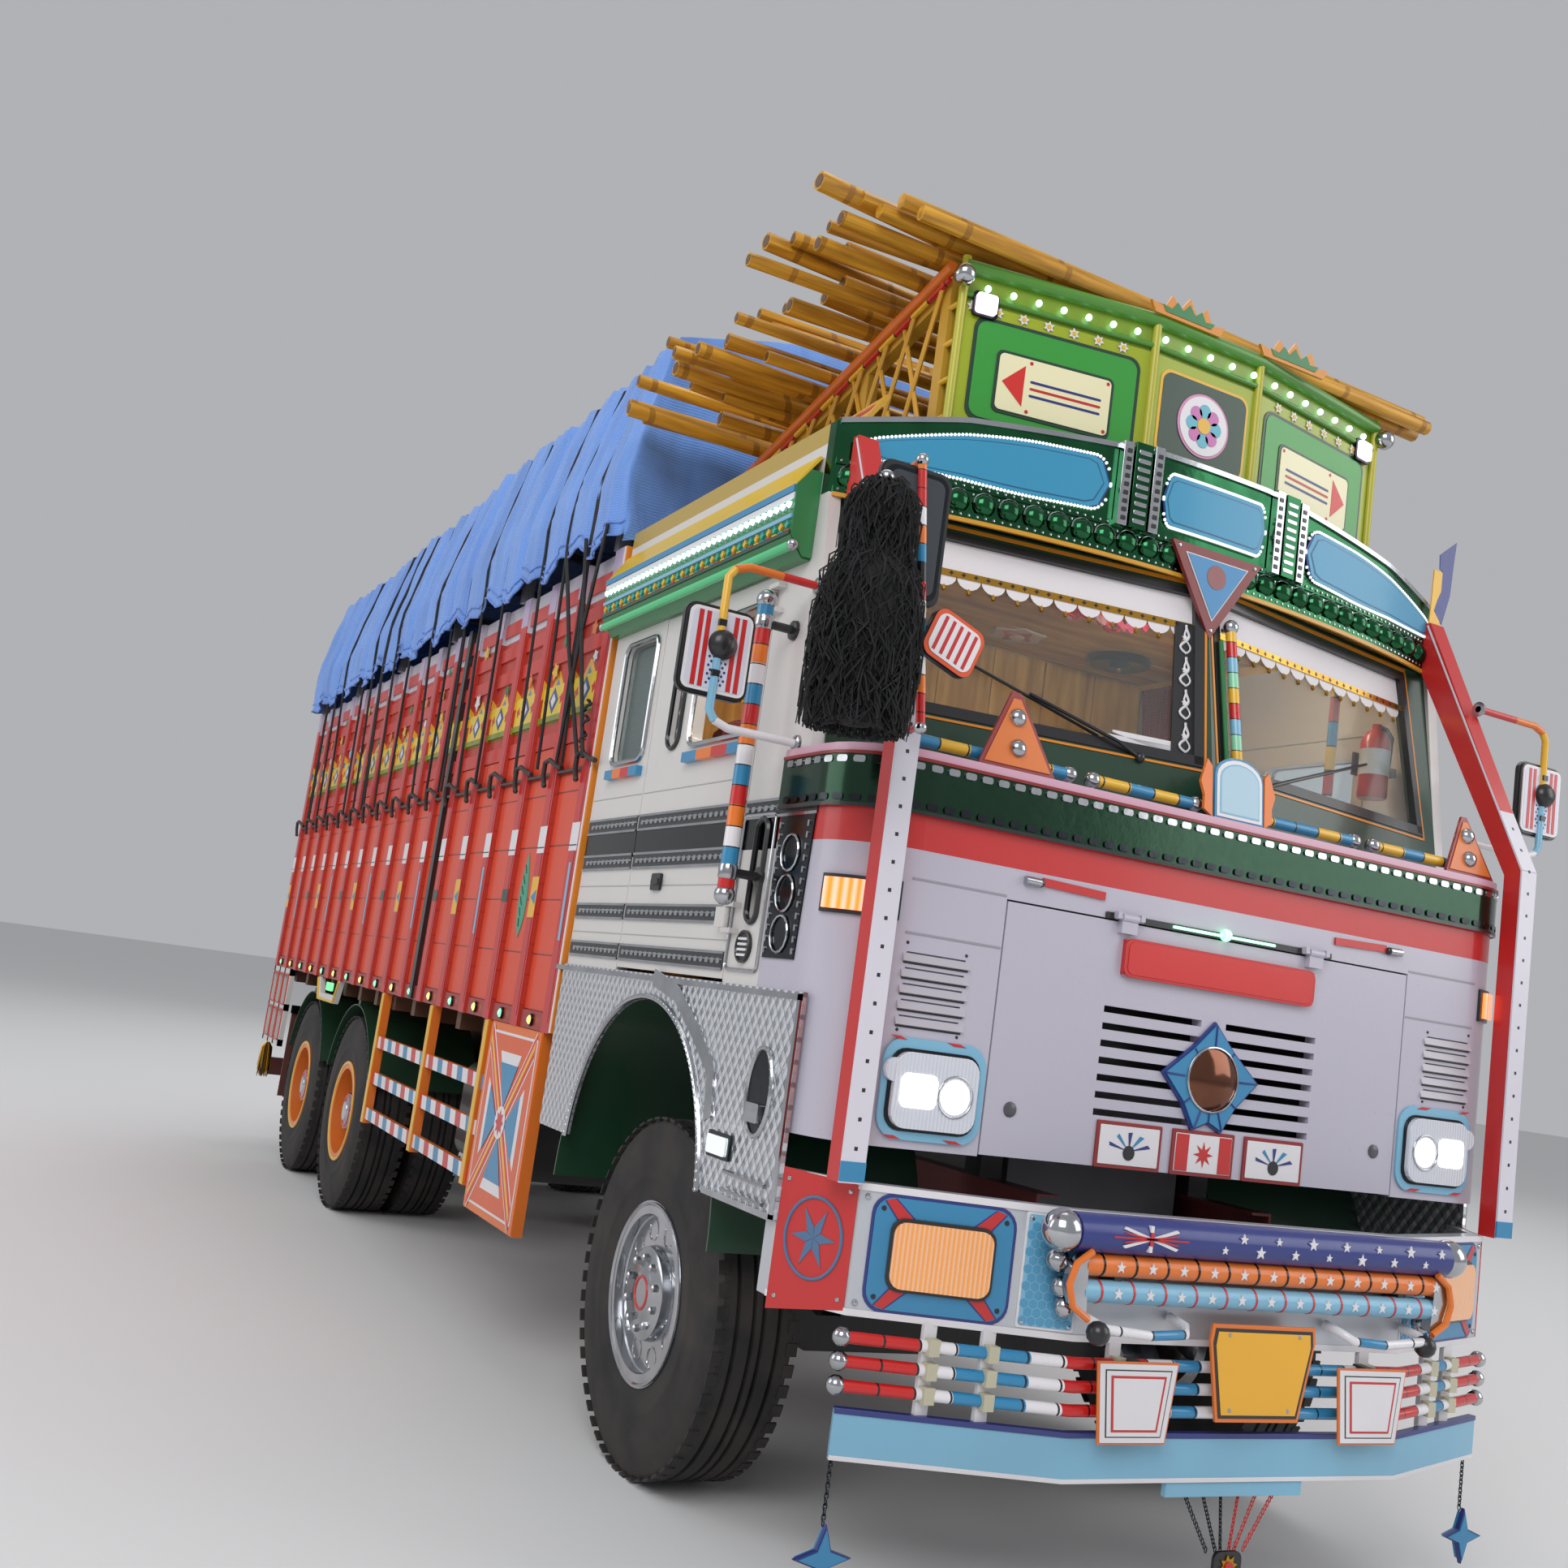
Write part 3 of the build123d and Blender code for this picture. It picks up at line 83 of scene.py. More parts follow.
def tint(code: str) -> Colour:
    """Linear colour of a six-digit hex code."""
    parts = [int(code[i:i + 2], 16) / 255 for i in (0, 2, 4)]
    return tuple(p / 12.92 if p < 0.04045 else ((p + 0.055) / 1.055) ** 2.4 for p in parts)


RED = tint("c8201e")
DEEP_RED = tint("8e1616")
ORANGE = tint("e8761c")
YELLOW = tint("e9b52c")
WHITE = tint("e6e3e6")
LILAC = tint("c9c4cf")
SILVER = tint("c2c4c8")
BLUE = tint("2f86b4")
NAVY = tint("1f2f7d")
SKY = tint("7fb9d6")
MINT = tint("8fd6b0")
GREEN = tint("1d7a3c")
DARK_GREEN = tint("0f3a22")
OLIVE = tint("8f9a1f")
PINK = tint("d9a9bd")
BLACK = tint("121214")
GREY = tint("6d6e72")
BROWN = tint("5a3a26")


class Signal:
    """A shader socket that takes part in arithmetic on values."""

    def __init__(self, graph: "Graph", socket: bpy.types.NodeSocket) -> None:
        """Keep the socket and the graph that it belongs to."""
        self.graph, self.socket = graph, socket

    def _maths(self, operation: str, *values: Number) -> "Signal":
        """Result of one Math node."""
        return self.graph.node("ShaderNodeMath", {"operation": operation}, dict(enumerate(values)))

    def __add__(self, other: Number) -> "Signal":
        """Sum."""
        return self._maths("ADD", self, other)

    def __radd__(self, other: Number) -> "Signal":
        """Sum with a number on the left."""
        return self._maths("ADD", other, self)

    def __sub__(self, other: Number) -> "Signal":
        """Difference."""
        return self._maths("SUBTRACT", self, other)

    def __rsub__(self, other: Number) -> "Signal":
        """Difference from a number on the left."""
        return self._maths("SUBTRACT", other, self)

    def __mul__(self, other: Number) -> "Signal":
        """Product."""
        return self._maths("MULTIPLY", self, other)

    def __rmul__(self, other: Number) -> "Signal":
        """Product with a number on the left."""
        return self._maths("MULTIPLY", other, self)

    def __truediv__(self, other: Number) -> "Signal":
        """Quotient."""
        return self._maths("DIVIDE", self, other)

    def __gt__(self, other: Number) -> "Signal":
        """One where this is the larger."""
        return self._maths("GREATER_THAN", self, other)

    def __lt__(self, other: Number) -> "Signal":
        """One where this is the smaller."""
        return self._maths("LESS_THAN", self, other)

    def __or__(self, other: Number) -> "Signal":
        """Larger of the two."""
        return self._maths("MAXIMUM", self, other)

    def __abs__(self) -> "Signal":
        """Size without sign."""
        return self._maths("ABSOLUTE", self)

    def part(self) -> "Signal":
        """What is left after the whole number."""
        return self._maths("FRACT", self)

    def wave(self) -> "Signal":
        """Sine."""
        return self._maths("SINE", self)

    def held(self) -> "Signal":
        """The value kept between zero and one."""
        return self.graph.node("ShaderNodeClamp", {}, {"Value": self})


class Graph:
    """Node tree of one material, with the object's own coordinates at hand."""

    def __init__(self, name: str) -> None:
        """Start an empty material of that name.

        Args:
            name: Name of the material.
        """
        self.material = bpy.data.materials.new(name)
        self.material.use_nodes = True
        self.tree = self.material.node_tree
        self.tree.nodes.clear()
        self.place = self.node("ShaderNodeTexCoord", {}, {}, "Object")
        self.x, self.y, self.z = (self.node("ShaderNodeSeparateXYZ", {}, {"Vector": self.place}, axis)
                                  for axis in "XYZ")

    def node(self, kind: str, settings: Optional[dict] = None, inputs: Optional[dict] = None,
             output: Union[int, str] = 0) -> Signal:
        """Add one node.

        Args:
            kind: Its type.
            settings: Its properties, set first. stops are a ramp's (position, colour) pairs.
            inputs: Values or signals by socket identifier, name or number.
            output: The identifier, name or number of the output that is handed back.

        Returns:
            The output as a signal.
        """
        node = self.tree.nodes.new(kind)
        for key, value in (settings or {}).items():
            if key == "stops":
                for k, (position, colour) in enumerate(value):
                    stop = node.color_ramp.elements[k] if k < 2 else node.color_ramp.elements.new(position)
                    stop.position, stop.color = position, (*colour, 1)
            elif key == "steps":
                node.color_ramp.interpolation = value
            else:
                setattr(node, key, value)
        for key, value in (inputs or {}).items():
            socket = self._find(node.inputs, key)
            if isinstance(value, Signal):
                self.tree.links.new(value.socket, socket)
            elif isinstance(value, tuple) and len(value) == 3 and socket.type == "RGBA":
                socket.default_value = (*value, 1)
            else:
                socket.default_value = value
        return Signal(self, self._find(node.outputs, output) if node.outputs else None)

    @staticmethod
    def _find(sockets: Iterable, key: Union[int, str]) -> bpy.types.NodeSocket:
        """Socket by number, identifier or name.

        Args:
            sockets: Inputs or outputs of a node.
            key: Number, identifier or name of the socket.

        Returns:
            The socket.
        """
        if isinstance(key, int):
            return sockets[key]
        return next((s for s in sockets if s.identifier == key), None) or sockets[key]

    def noise(self, scale: float, detail: float = 3.0, stretch: Optional[Colour] = None) -> Signal:
        """Cloudy value round one half.

        Args:
            scale: Cells to the metre.
            detail: Octaves.
            stretch: Factor along each axis, for streaks.

        Returns:
            The value.
        """
        place = self.place
        if stretch:
            place = self.node("ShaderNodeVectorMath", {"operation": "MULTIPLY"}, {0: place, 1: stretch})
        return self.node("ShaderNodeTexNoise", {}, {"Vector": place, "Scale": scale, "Detail": detail})

    def mix(self, mask: Number, under: Union[Colour, Signal], over: Union[Colour, Signal]) -> Signal:
        """Colour over another by a mask."""
        return self.node("ShaderNodeMix", {"data_type": "RGBA"},
                         {"Factor_Float": mask, "A_Color": under, "B_Color": over}, "Result_Color")

    def ramp(self, value: Signal, stops: Sequence[tuple[float, Colour]], steps: str = "CONSTANT") -> Signal:
        """Colour looked up along a value from zero to one."""
        return self.node("ShaderNodeValToRGB", {"steps": steps, "stops": stops}, {0: value})

    def bump(self, height: Signal, depth: float) -> Signal:
        """Normal bent by a height."""
        return self.node("ShaderNodeBump", {}, {"Distance": depth, "Height": height, "Strength": 1.0})

    def close(self, sockets: dict) -> bpy.types.Material:
        """Finish with a Principled shader.

        Args:
            sockets: Values or signals by socket name.

        Returns:
            The material.
        """
        shader = self.node("ShaderNodeBsdfPrincipled", {}, sockets)
        self.node("ShaderNodeOutputMaterial", {}, {"Surface": shader})
        return self.material


class Fill(Enum):
    """How a mark fills its box."""

    SOLID = "solid"
    ROWS = "rows"
    DIAMONDS = "diamonds"


@dataclass(frozen=True)
class Mark:
    """A colour laid over a box of a painted surface. Bounds are millimetres as in at(), None is open."""

    colour: Colour
    x: tuple = (None, None)
    y: tuple = (None, None)
    z: tuple = (None, None)
    fill: Fill = Fill.SOLID
    pitch: float = 100.0
    share: float = 0.5
    metal: float = 0.0
    rough: float = 0.35
    both: bool = True

    def mask(self, g: Graph) -> Signal:
        """One inside the mark.

        Args:
            g: Graph of the material.

        Returns:
            Value that is one inside the mark and nought outside.
        """
        across = abs(g.x) if self.both else g.x
        behind = g.y - COWL_Y
        mask: Number = 1.0
        for value, (low, high) in ((across, self.x), (behind, self.y), (g.z, self.z)):
            if low is not None:
                mask = (value > low / 1000) * mask
            if high is not None:
                mask = (value < high / 1000) * mask
        cell = self.pitch / 1000
        if self.fill is Fill.ROWS:
            mask = ((g.z / cell).part() < self.share) * mask
        elif self.fill is Fill.DIAMONDS:
            sideways = abs(((across + behind) / cell).part() - 0.5)
            upright = abs(g.z - sum(self.z) / 2000) / cell
            mask = (sideways + upright < self.share) * mask
        return mask


@dataclass(frozen=True)
class Finish:
    """What every finish has."""

    name: str
    colour: Colour = WHITE

    def material(self) -> bpy.types.Material:
        """The finish's material, made once."""
        return made(self)

    def shade(self, g: Graph) -> dict:
        """Sockets of the Principled shader."""
        return {"Base Color": self.colour}


@lru_cache(maxsize=None)
def made(finish: Finish) -> bpy.types.Material:
    """Material of a finish."""
    g = Graph(finish.name)
    return g.close(finish.shade(g))


@dataclass(frozen=True)
class Paint(Finish):
    """Brushed enamel or sprayed paint with faint clouds, road grime low down and marks over it."""

    rough: float = 0.35
    metal: float = 0.0
    coat: float = 0.25
    grime: float = 0.35
    ripple: float = 0.0006
    marks: tuple = ()

    def shade(self, g: Graph) -> dict:
        """Colour, roughness, metal and bump of the paint.

        Args:
            g: Graph of the material.

        Returns:
            Inputs of the surface, by name.
        """
        clouds = g.noise(1.7, 4.0)
        fine = g.noise(45.0, 2.0)
        colour: Union[Colour, Signal] = self.colour
        metal: Number = self.metal
        rough: Number = self.rough
        for mark in self.marks:
            mask = mark.mask(g)
            colour = g.mix(mask, colour, mark.colour)
            metal = mask * (mark.metal - metal) + metal
            rough = mask * (mark.rough - rough) + rough
        colour = g.mix((clouds * 0.5).held() * 0.5, colour, g.mix(0.45, colour, GREY))
        low = ((1.1 - g.z) * 0.8).held() * (clouds * 2.2 - 0.6).held() * self.grime
        colour = g.mix(low.held(), colour, tint("4a4036"))
        height = fine * 0.6 + clouds
        return {"Base Color": colour, "Metallic": metal, "Roughness": low * 0.5 + fine * 0.12 + rough - 0.06,
                "Coat Weight": self.coat, "Coat Roughness": 0.12, "Normal": g.bump(height, self.ripple)}


@dataclass(frozen=True)
class Chrome(Finish):
    """Bright plate with a tinted, slightly clouded reflection."""

    rough: float = 0.12
    shadow: float = 0.35

    def shade(self, g: Graph) -> dict:
        """Metal with soft dark clouds.

        Args:
            g: Graph of the material.

        Returns:
            Inputs of the surface, by name.
        """
        clouds = g.noise(9.0, 3.0)
        colour = g.mix((clouds * 1.6 - 0.5).held() * self.shadow, self.colour, BLACK)
        return {"Base Color": colour, "Metallic": 1.0, "Roughness": clouds * 0.16 + self.rough - 0.04,
                "Normal": g.bump(g.noise(30.0, 1.0), 0.0004)}


@dataclass(frozen=True)
class Quilted(Finish):
    """Bright sheet pressed with small diamonds, its grooves darkened with painted shade."""

    pitch: float = 0.034

    def shade(self, g: Graph) -> dict:
        """Metal with diamonds in its bump, and painted shade darkening the grooves between them.

        Args:
            g: Graph of the material.

        Returns:
            Inputs of the surface, by name.
        """
        run = g.y * 0.8
        first = abs(((run + g.z * 0.6) / self.pitch).part() - 0.5)
        second = abs(((run - g.z * 0.6) / self.pitch).part() - 0.5)
        crowns = (first + second) * 1.0
        clouds = g.noise(3.0, 3.0)
        # Painted shade: the lines between the diamonds are darkened towards black, where the pressed grooves
        # would fall in shade.
        groove_shade = ((first | second) > 0.44)
        colour = g.mix(groove_shade * 0.45, g.mix((clouds * 1.4 - 0.4).held() * 0.25, self.colour, GREY), BLACK)
        return {"Base Color": colour, "Metallic": 0.85, "Roughness": clouds * 0.2 + 0.16,
                "Normal": g.bump(crowns, -0.006)}


@dataclass(frozen=True)
class Rubber(Finish):
    """Tyre rubber with dust in its relief."""

    dust: float = 0.35

    def shade(self, g: Graph) -> dict:
        """Dull dark rubber, dusty in clouds.

        Args:
            g: Graph of the material.

        Returns:
            Inputs of the surface, by name.
        """
        clouds = g.noise(6.0, 5.0)
        colour = g.mix((clouds * 2.4 - 0.8).held() * self.dust, self.colour, tint("5b5047"))
        return {"Base Color": colour, "Roughness": clouds * 0.2 + 0.65,
                "Normal": g.bump(g.noise(160.0, 2.0), 0.0008)}


@dataclass(frozen=True)
class Pane(Finish):
    """Clear window glass, faintly tinted."""

    through: float = 0.94

    def shade(self, g: Graph) -> dict:
        """Transmission with dust in its roughness."""
        return {"Base Color": self.colour, "Transmission Weight": self.through, "IOR": 1.12,
                "Roughness": (g.noise(4.0) * 0.1 - 0.02).held(), "Specular IOR Level": 0.6}


@dataclass(frozen=True)
class Lens(Finish):
    """Ribbed lamp glass, lit from behind."""

    glow: float = 1.0
    ribs: float = 90.0

    def shade(self, g: Graph) -> dict:
        """Coloured glass with upright ribs and a bright middle.

        Args:
            g: Graph of the material.

        Returns:
            Inputs of the surface, by name.
        """
        ribs = (g.x * self.ribs * 6.28).wave() * 0.5 + 0.5
        colour = g.mix(ribs * 0.3, self.colour, WHITE)
        return {"Base Color": colour, "Roughness": ribs * 0.1 + 0.1, "Coat Weight": 1.0,
                "Emission Color": colour, "Emission Strength": self.glow,
                "Normal": g.bump(ribs, 0.002)}


@dataclass(frozen=True)
class Cloth(Finish):
    """Woven cover, faded paler in clouds and darker in upright streaks."""

    weave: float = 260.0
    fade: Colour = SKY

    def shade(self, g: Graph) -> dict:
        """Cloth with a fine weave, worn paler in clouds and darker in upright streaks.

        Args:
            g: Graph of the material.

        Returns:
            Inputs of the surface, by name.
        """
        clouds = g.noise(1.6, 5.0)
        streaks = g.noise(2.2, 3.0, (3.0, 3.0, 0.5))
        colour = g.mix((clouds * 1.8 - 0.5).held() * 0.45, self.colour, self.fade)
        colour = g.mix((streaks * 2.6 - 1.2).held() * 0.35, colour, tint("28324a"))
        threads = (g.y * self.weave * 6.28).wave() + (g.z * self.weave * 6.28).wave()
        height = threads * 0.06 + g.noise(7.0, 4.0)
        return {"Base Color": colour, "Roughness": clouds * 0.15 + 0.6, "Sheen Weight": 0.25,
                "Normal": g.bump(height, 0.010)}


@dataclass(frozen=True)
class Grain(Finish):
    """Timber, bamboo or printed wood grain, with streaks along one axis."""

    dark: Colour = BROWN
    stretch: Colour = (1.0, 12.0, 12.0)
    knots: float = 0.0
    rough: float = 0.5

    def shade(self, g: Graph) -> dict:
        """Streaked colour, with rings across it where knots are asked for.

        Args:
            g: Graph of the material.

        Returns:
            Inputs of the surface, by name.
        """
        streaks = g.noise(3.0, 5.0, self.stretch)
        colour = g.mix((streaks * 2.4 - 0.8).held(), self.colour, self.dark)
        if self.knots:
            knot = ((g.x + g.noise(1.0, 1.0) * 0.3) * self.knots).part()
            colour = g.mix((knot < 0.06) * 0.7, colour, self.dark)
        return {"Base Color": colour, "Roughness": streaks * 0.2 + self.rough - 0.1,
                "Normal": g.bump(streaks, 0.002)}


@dataclass(frozen=True)
class Banded(Finish):
    """Tube painted in rings along one axis, a thin black line at each joint."""

    axis: str = "z"
    start: float = 0.0
    end: float = 1.0
    colours: tuple = (BLUE, RED, YELLOW)

    def shade(self, g: Graph) -> dict:
        """Rings of enamel looked up along the axis.

        Args:
            g: Graph of the material.

        Returns:
            Inputs of the surface, by name.
        """
        value = ({"x": g.x, "y": g.y, "z": g.z}[self.axis] - self.start) / (self.end - self.start)
        count = len(self.colours)
        stops = [(k / count, colour) for k, colour in enumerate(self.colours)]
        line = abs((value * count).part() - 0.5) > 0.47
        colour = g.mix(line, g.ramp(value.held(), stops), BLACK)
        return {"Base Color": colour, "Roughness": g.noise(20.0) * 0.2 + 0.2, "Coat Weight": 0.4}


PIECES: list[str] = []


class Shape:
    """A mesh under construction in the row frame, with a finish for each solid in it."""

    def __init__(self, name: str, finish: Finish) -> None:
        """Start an empty mesh with its first finish.

        Args:
            name: Name of the piece.
            finish: Its first finish.
        """
        self.name = name
        self.mesh = bmesh.new()
        self.finishes: list[Finish] = [finish]
        self.index = 0

    def use(self, finish: Finish) -> "Shape":
        """Give the next solids this finish.

        Args:
            finish: Finish of the solids made next.

        Returns:
            The shape itself, for the next call.
        """
        if finish not in self.finishes:
            self.finishes.append(finish)
        self.index = self.finishes.index(finish)
        return self

    def faces(self, corners: Sequence[Vector], loops: Sequence[Sequence[int]]) -> "Shape":
        """Add faces over their own corners.

        Args:
            corners: Points.
            loops: Corner numbers of each face.

        Returns:
            The shape.
        """
        verts = [self.mesh.verts.new(c) for c in corners]
        for loop in loops:
            polygon = self.mesh.faces.new([verts[k] for k in loop])
            polygon.material_index = self.index
        return self

    def prism(self, outline: Sequence[Vector], depth: Vector) -> "Shape":
        """Solid with a flat outline, run along depth.

        Args:
            outline: Corners in metres, in order.
            depth: Way and length of the run, in metres.

        Returns:
            The shape itself, for the next call.
        """
        count = len(outline)
        corners = list(outline) + [p + depth for p in outline]
        loops = [list(range(count))[::-1], list(range(count, 2 * count))]
        loops += [[k, (k + 1) % count, count + (k + 1) % count, count + k] for k in range(count)]
        return self.faces(corners, loops)

    def block(self, low: Vector, high: Vector) -> "Shape":
        """Straight block between two corners.

        Args:
            low: One corner, in metres.
            high: The corner across from it, in metres.

        Returns:
            The shape itself, for the next call.
        """
        a = Vector(map(min, low, high))
        b = Vector(map(max, low, high))
        return self.prism([Vector((a.x, a.y, a.z)), Vector((b.x, a.y, a.z)), Vector((b.x, b.y, a.z)),
                           Vector((a.x, b.y, a.z))], Vector((0, 0, b.z - a.z)))

    def tube(self, path: Sequence[Vector], radius: float, sides: int = 10, closed: bool = False) -> "Shape":
        """Round bar along a path.

        Args:
            path: Points in metres.
            radius: Millimetres.
            sides: Facets round it.
            closed: Whether its end joins its start.

        Returns:
            The shape.
        """
        count = len(path)
        corners: list[Vector] = []
        side = UP
        for k, point in enumerate(path):
            before = path[k - 1] if k or closed else point
            after = path[(k + 1) % count] if k < count - 1 or closed else point
            run = (after - before).normalized()
            side = (side - run * side.dot(run))
            if side.length < 1e-3:
                side = run.orthogonal()
            side.normalize()
            up = run.cross(side)
            corners += [point + (side * math.cos(a) + up * math.sin(a)) * radius / 1000
                        for a in (2 * math.pi * j / sides for j in range(sides))]
        loops = []
        for k in range(count if closed else count - 1):
            for j in range(sides):
                a, b = k * sides, (k + 1) % count * sides
                loops.append([a + j, a + (j + 1) % sides, b + (j + 1) % sides, b + j])
        if not closed:
            loops += [list(range(sides))[::-1], list(range((count - 1) * sides, count * sides))]
        return self.faces(corners, loops)

    def lathe(self, centre: Vector, axis: Vector, profile: Sequence[tuple[float, float]],
              sides: int = 24) -> "Shape":
        """Turned solid.

        Args:
            centre: Where the profile's zero is.
            axis: Direction that the profile runs in.
            profile: (along, radius) pairs in millimetres. Zero radius closes an end.
            sides: Facets round it.

        Returns:
            The shape.
        """
        axis = axis.normalized()
        side = axis.orthogonal().normalized()
        up = axis.cross(side)
        corners: list[Vector] = []
        rings: list[list[int]] = []
        for along, radius in profile:
            middle = centre + axis * along / 1000
            if radius < 1e-6:
                rings.append([len(corners)])
                corners.append(middle)
                continue
            rings.append([len(corners) + j for j in range(sides)])
            corners += [middle + (side * math.cos(a) + up * math.sin(a)) * radius / 1000
                        for a in (2 * math.pi * j / sides for j in range(sides))]
        loops = []
        for first, second in zip(rings, rings[1:]):
            for j in range(sides):
                loop = [first[j % len(first)], first[(j + 1) % len(first)],
                        second[(j + 1) % len(second)], second[j % len(second)]]
                loop = list(dict.fromkeys(loop))
                if len(loop) > 2:
                    loops.append(loop)
        for end, turn in ((rings[0], -1), (rings[-1], 1)):
            if len(end) > 1 and profile[0] != profile[-1]:
                loops.append(end[::turn])
        return self.faces(corners, loops)

    def ball(self, centre: Vector, radius: float, sides: int = 14) -> "Shape":
        """Ball of a radius in millimetres.

        Args:
            centre: Middle, in metres.
            radius: Radius in millimetres.
            sides: Number of faces round it.

        Returns:
            The shape itself, for the next call.
        """
        steps = max(4, sides // 2)
        profile = [(-radius * math.cos(math.pi * k / steps), radius * math.sin(math.pi * k / steps))
                   for k in range(steps + 1)]
        return self.lathe(centre, UP, profile, sides)

    def studs(self, path: Sequence[Vector], pitch: float, radius: float, out: Vector,
              sides: int = 6) -> "Shape":
        """Row of domed studs along a path.

        Args:
            path: Points in metres.
            pitch: Millimetres between studs.
            radius: Of each, in millimetres.
            out: Direction that they face.
            sides: Facets round each.

        Returns:
            The shape.
        """
        for point in spaced(path, pitch):
            self.lathe(point, out, [(-1, radius), (radius * 0.35, radius * 0.8), (radius * 0.6, 0)], sides)
        return self

    def doubled(self) -> "Shape":
        """Add the mirror image across the middle of the truck.

        Returns:
            The shape itself, for the next call.
        """
        copy = bmesh.ops.duplicate(self.mesh,
                                   geom=self.mesh.verts[:] + self.mesh.edges[:] + self.mesh.faces[:])
        verts = [g for g in copy["geom"] if isinstance(g, bmesh.types.BMVert)]
        for vert in verts:
            vert.co.x = -vert.co.x
        bmesh.ops.reverse_faces(self.mesh,
                                faces=[g for g in copy["geom"] if isinstance(g, bmesh.types.BMFace)])
        return self

    def flipped(self) -> "Shape":
        """Turn the shape into its mirror image across the middle of the truck.

        Returns:
            The shape itself, for the next call.
        """
        for vert in self.mesh.verts:
            vert.co.x = -vert.co.x
        bmesh.ops.reverse_faces(self.mesh, faces=self.mesh.faces[:])
        return self

    def piece(self, slot: str, body: str = "chassis", bevel: float = 0.0,
              angle: float = 35.0) -> bpy.types.Object:
        """Turn the mesh into a piece of the truck.

        Args:
            slot: Name of the piece's material slot; not used.
            body: What it moves with.
            bevel: Width of rounded edges in millimetres.
            angle: Edges flatter than this are shaded smooth.

        Returns:
            The object.
        """
        data = bpy.data.meshes.new(self.name)
        bmesh.ops.recalc_face_normals(self.mesh, faces=self.mesh.faces[:])
        self.mesh.to_mesh(data)
        self.mesh.free()
        obj = bpy.data.objects.new(self.name, data)
        bpy.context.scene.collection.objects.link(obj)
        for finish in self.finishes:
            data.materials.append(finish.material())
        data.shade_smooth()
        data.set_sharp_from_angle(angle=math.radians(angle))
        if bevel:
            soften(obj, bevel)
        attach(obj, body)
        PIECES.append(self.name)
        LOG.info("%s on %s: %d faces", self.name, body, len(data.polygons))
        return obj


def soften(obj: bpy.types.Object, width: float, segments: int = 2) -> None:
    """Round an object's sharp edges by a width in millimetres.

    Args:
        obj: Object to round.
        width: Width in millimetres.
        segments: Faces across a rounded edge.
    """
    rounding = obj.modifiers.new("rounded", "BEVEL")
    rounding.width = width / 1000
    rounding.segments = segments
    rounding.limit_method = "ANGLE"
    rounding.angle_limit = math.radians(40)


def spaced(path: Sequence[Vector], pitch: float) -> list[Vector]:
    """Points along a path, a pitch in millimetres apart.

    Args:
        path: Points of the path, in metres.
        pitch: Millimetres from one point to the next.

    Returns:
        The points, in metres.
    """
    points: list[Vector] = []
    left = pitch / 2000
    for a, b in zip(path, path[1:]):
        length = (b - a).length
        while left <= length:
            points.append(a.lerp(b, left / length))
            left += pitch / 1000
        left -= length
    return points


@dataclass
class Studio:
    """Camera, floor, backdrop and lamps."""

    place: Vector = Vector((-3.0864, -7.3797, 1.4403))
    yaw: float = 25.99
    pitch: float = 8.05
    roll: float = 7.99
    lens: float = 35.56
    floor: Colour = tint("dcdcdc")

    def camera(self) -> None:
        """Stand the camera where the photograph was taken."""
        yaw, pitch, roll = (math.radians(v) for v in (self.yaw, self.pitch, self.roll))
        forward = Vector((math.sin(yaw) * math.cos(pitch), math.cos(yaw) * math.cos(pitch), math.sin(pitch)))
        right = Vector((math.cos(yaw), -math.sin(yaw), 0))
        up = right.cross(forward)
        x_axis = right * math.cos(roll) + up * math.sin(roll)
        y_axis = up * math.cos(roll) - right * math.sin(roll)
        turn = Matrix((x_axis, y_axis, -forward)).transposed().to_4x4()
        data = bpy.data.cameras.new("camera")
        data.lens, data.sensor_width = self.lens, 36.0
        data.clip_start, data.clip_end = 0.05, 400.0
        camera = bpy.data.objects.new("camera", data)
        camera.matrix_world = Matrix.Translation(self.place) @ turn
        bpy.context.scene.collection.objects.link(camera)
        bpy.context.scene.camera = camera

    def lamp(self, name: str, place: tuple, size: float, power: float) -> None:
        """Square soft lamp that faces the middle of the truck.

        Args:
            name: Name of the lamp.
            place: Where it stands, in metres.
            size: Length of its edge, in metres.
            power: Power in watts.
        """
        data = bpy.data.lights.new(name, "AREA")
        data.energy, data.size = power, size
        lamp = bpy.data.objects.new(name, data)
        lamp.location = place
        aim = Vector((0, -0.5, 1.8)) - Vector(place)
        lamp.rotation_mode = "QUATERNION"
        lamp.rotation_quaternion = aim.to_track_quat("-Z", "Y")
        bpy.context.scene.collection.objects.link(lamp)

    def build(self) -> None:
        """Make the whole studio."""
        self.camera()
        g = Graph("studio_floor")
        g.close({"Base Color": self.floor, "Roughness": 0.9})
        data = bpy.data.meshes.new("studio_floor")
        data.from_pydata([(-90, -90, 0), (90, -90, 0), (90, 90, 0), (-90, 90, 0)], [], [(0, 1, 2, 3)])
        data.materials.append(g.material)
        floor = bpy.data.objects.new("studio_floor", data)
        bpy.context.scene.collection.objects.link(floor)
        for name, place, size, power in (("key", (-9, -13, 11), 9.0, 1150.0),
                                         ("fill", (11, -11, 7), 9.0, 560.0),
                                         ("side", (-15, 4, 8), 10.0, 560.0), ("top", (2, 2, 15), 10.0, 450.0),
                                         ("back", (9, 15, 9), 9.0, 450.0)):
            self.lamp(name, place, size, power)
        world = bpy.data.worlds.new("backdrop")
        world.use_nodes = True
        world.node_tree.nodes["Background"].inputs[0].default_value = (*tint("e6e8ec"), 1)
        world.node_tree.nodes["Background"].inputs[1].default_value = 0.55
        bpy.context.scene.world = world
        bpy.context.scene.view_settings.view_transform = "Standard"


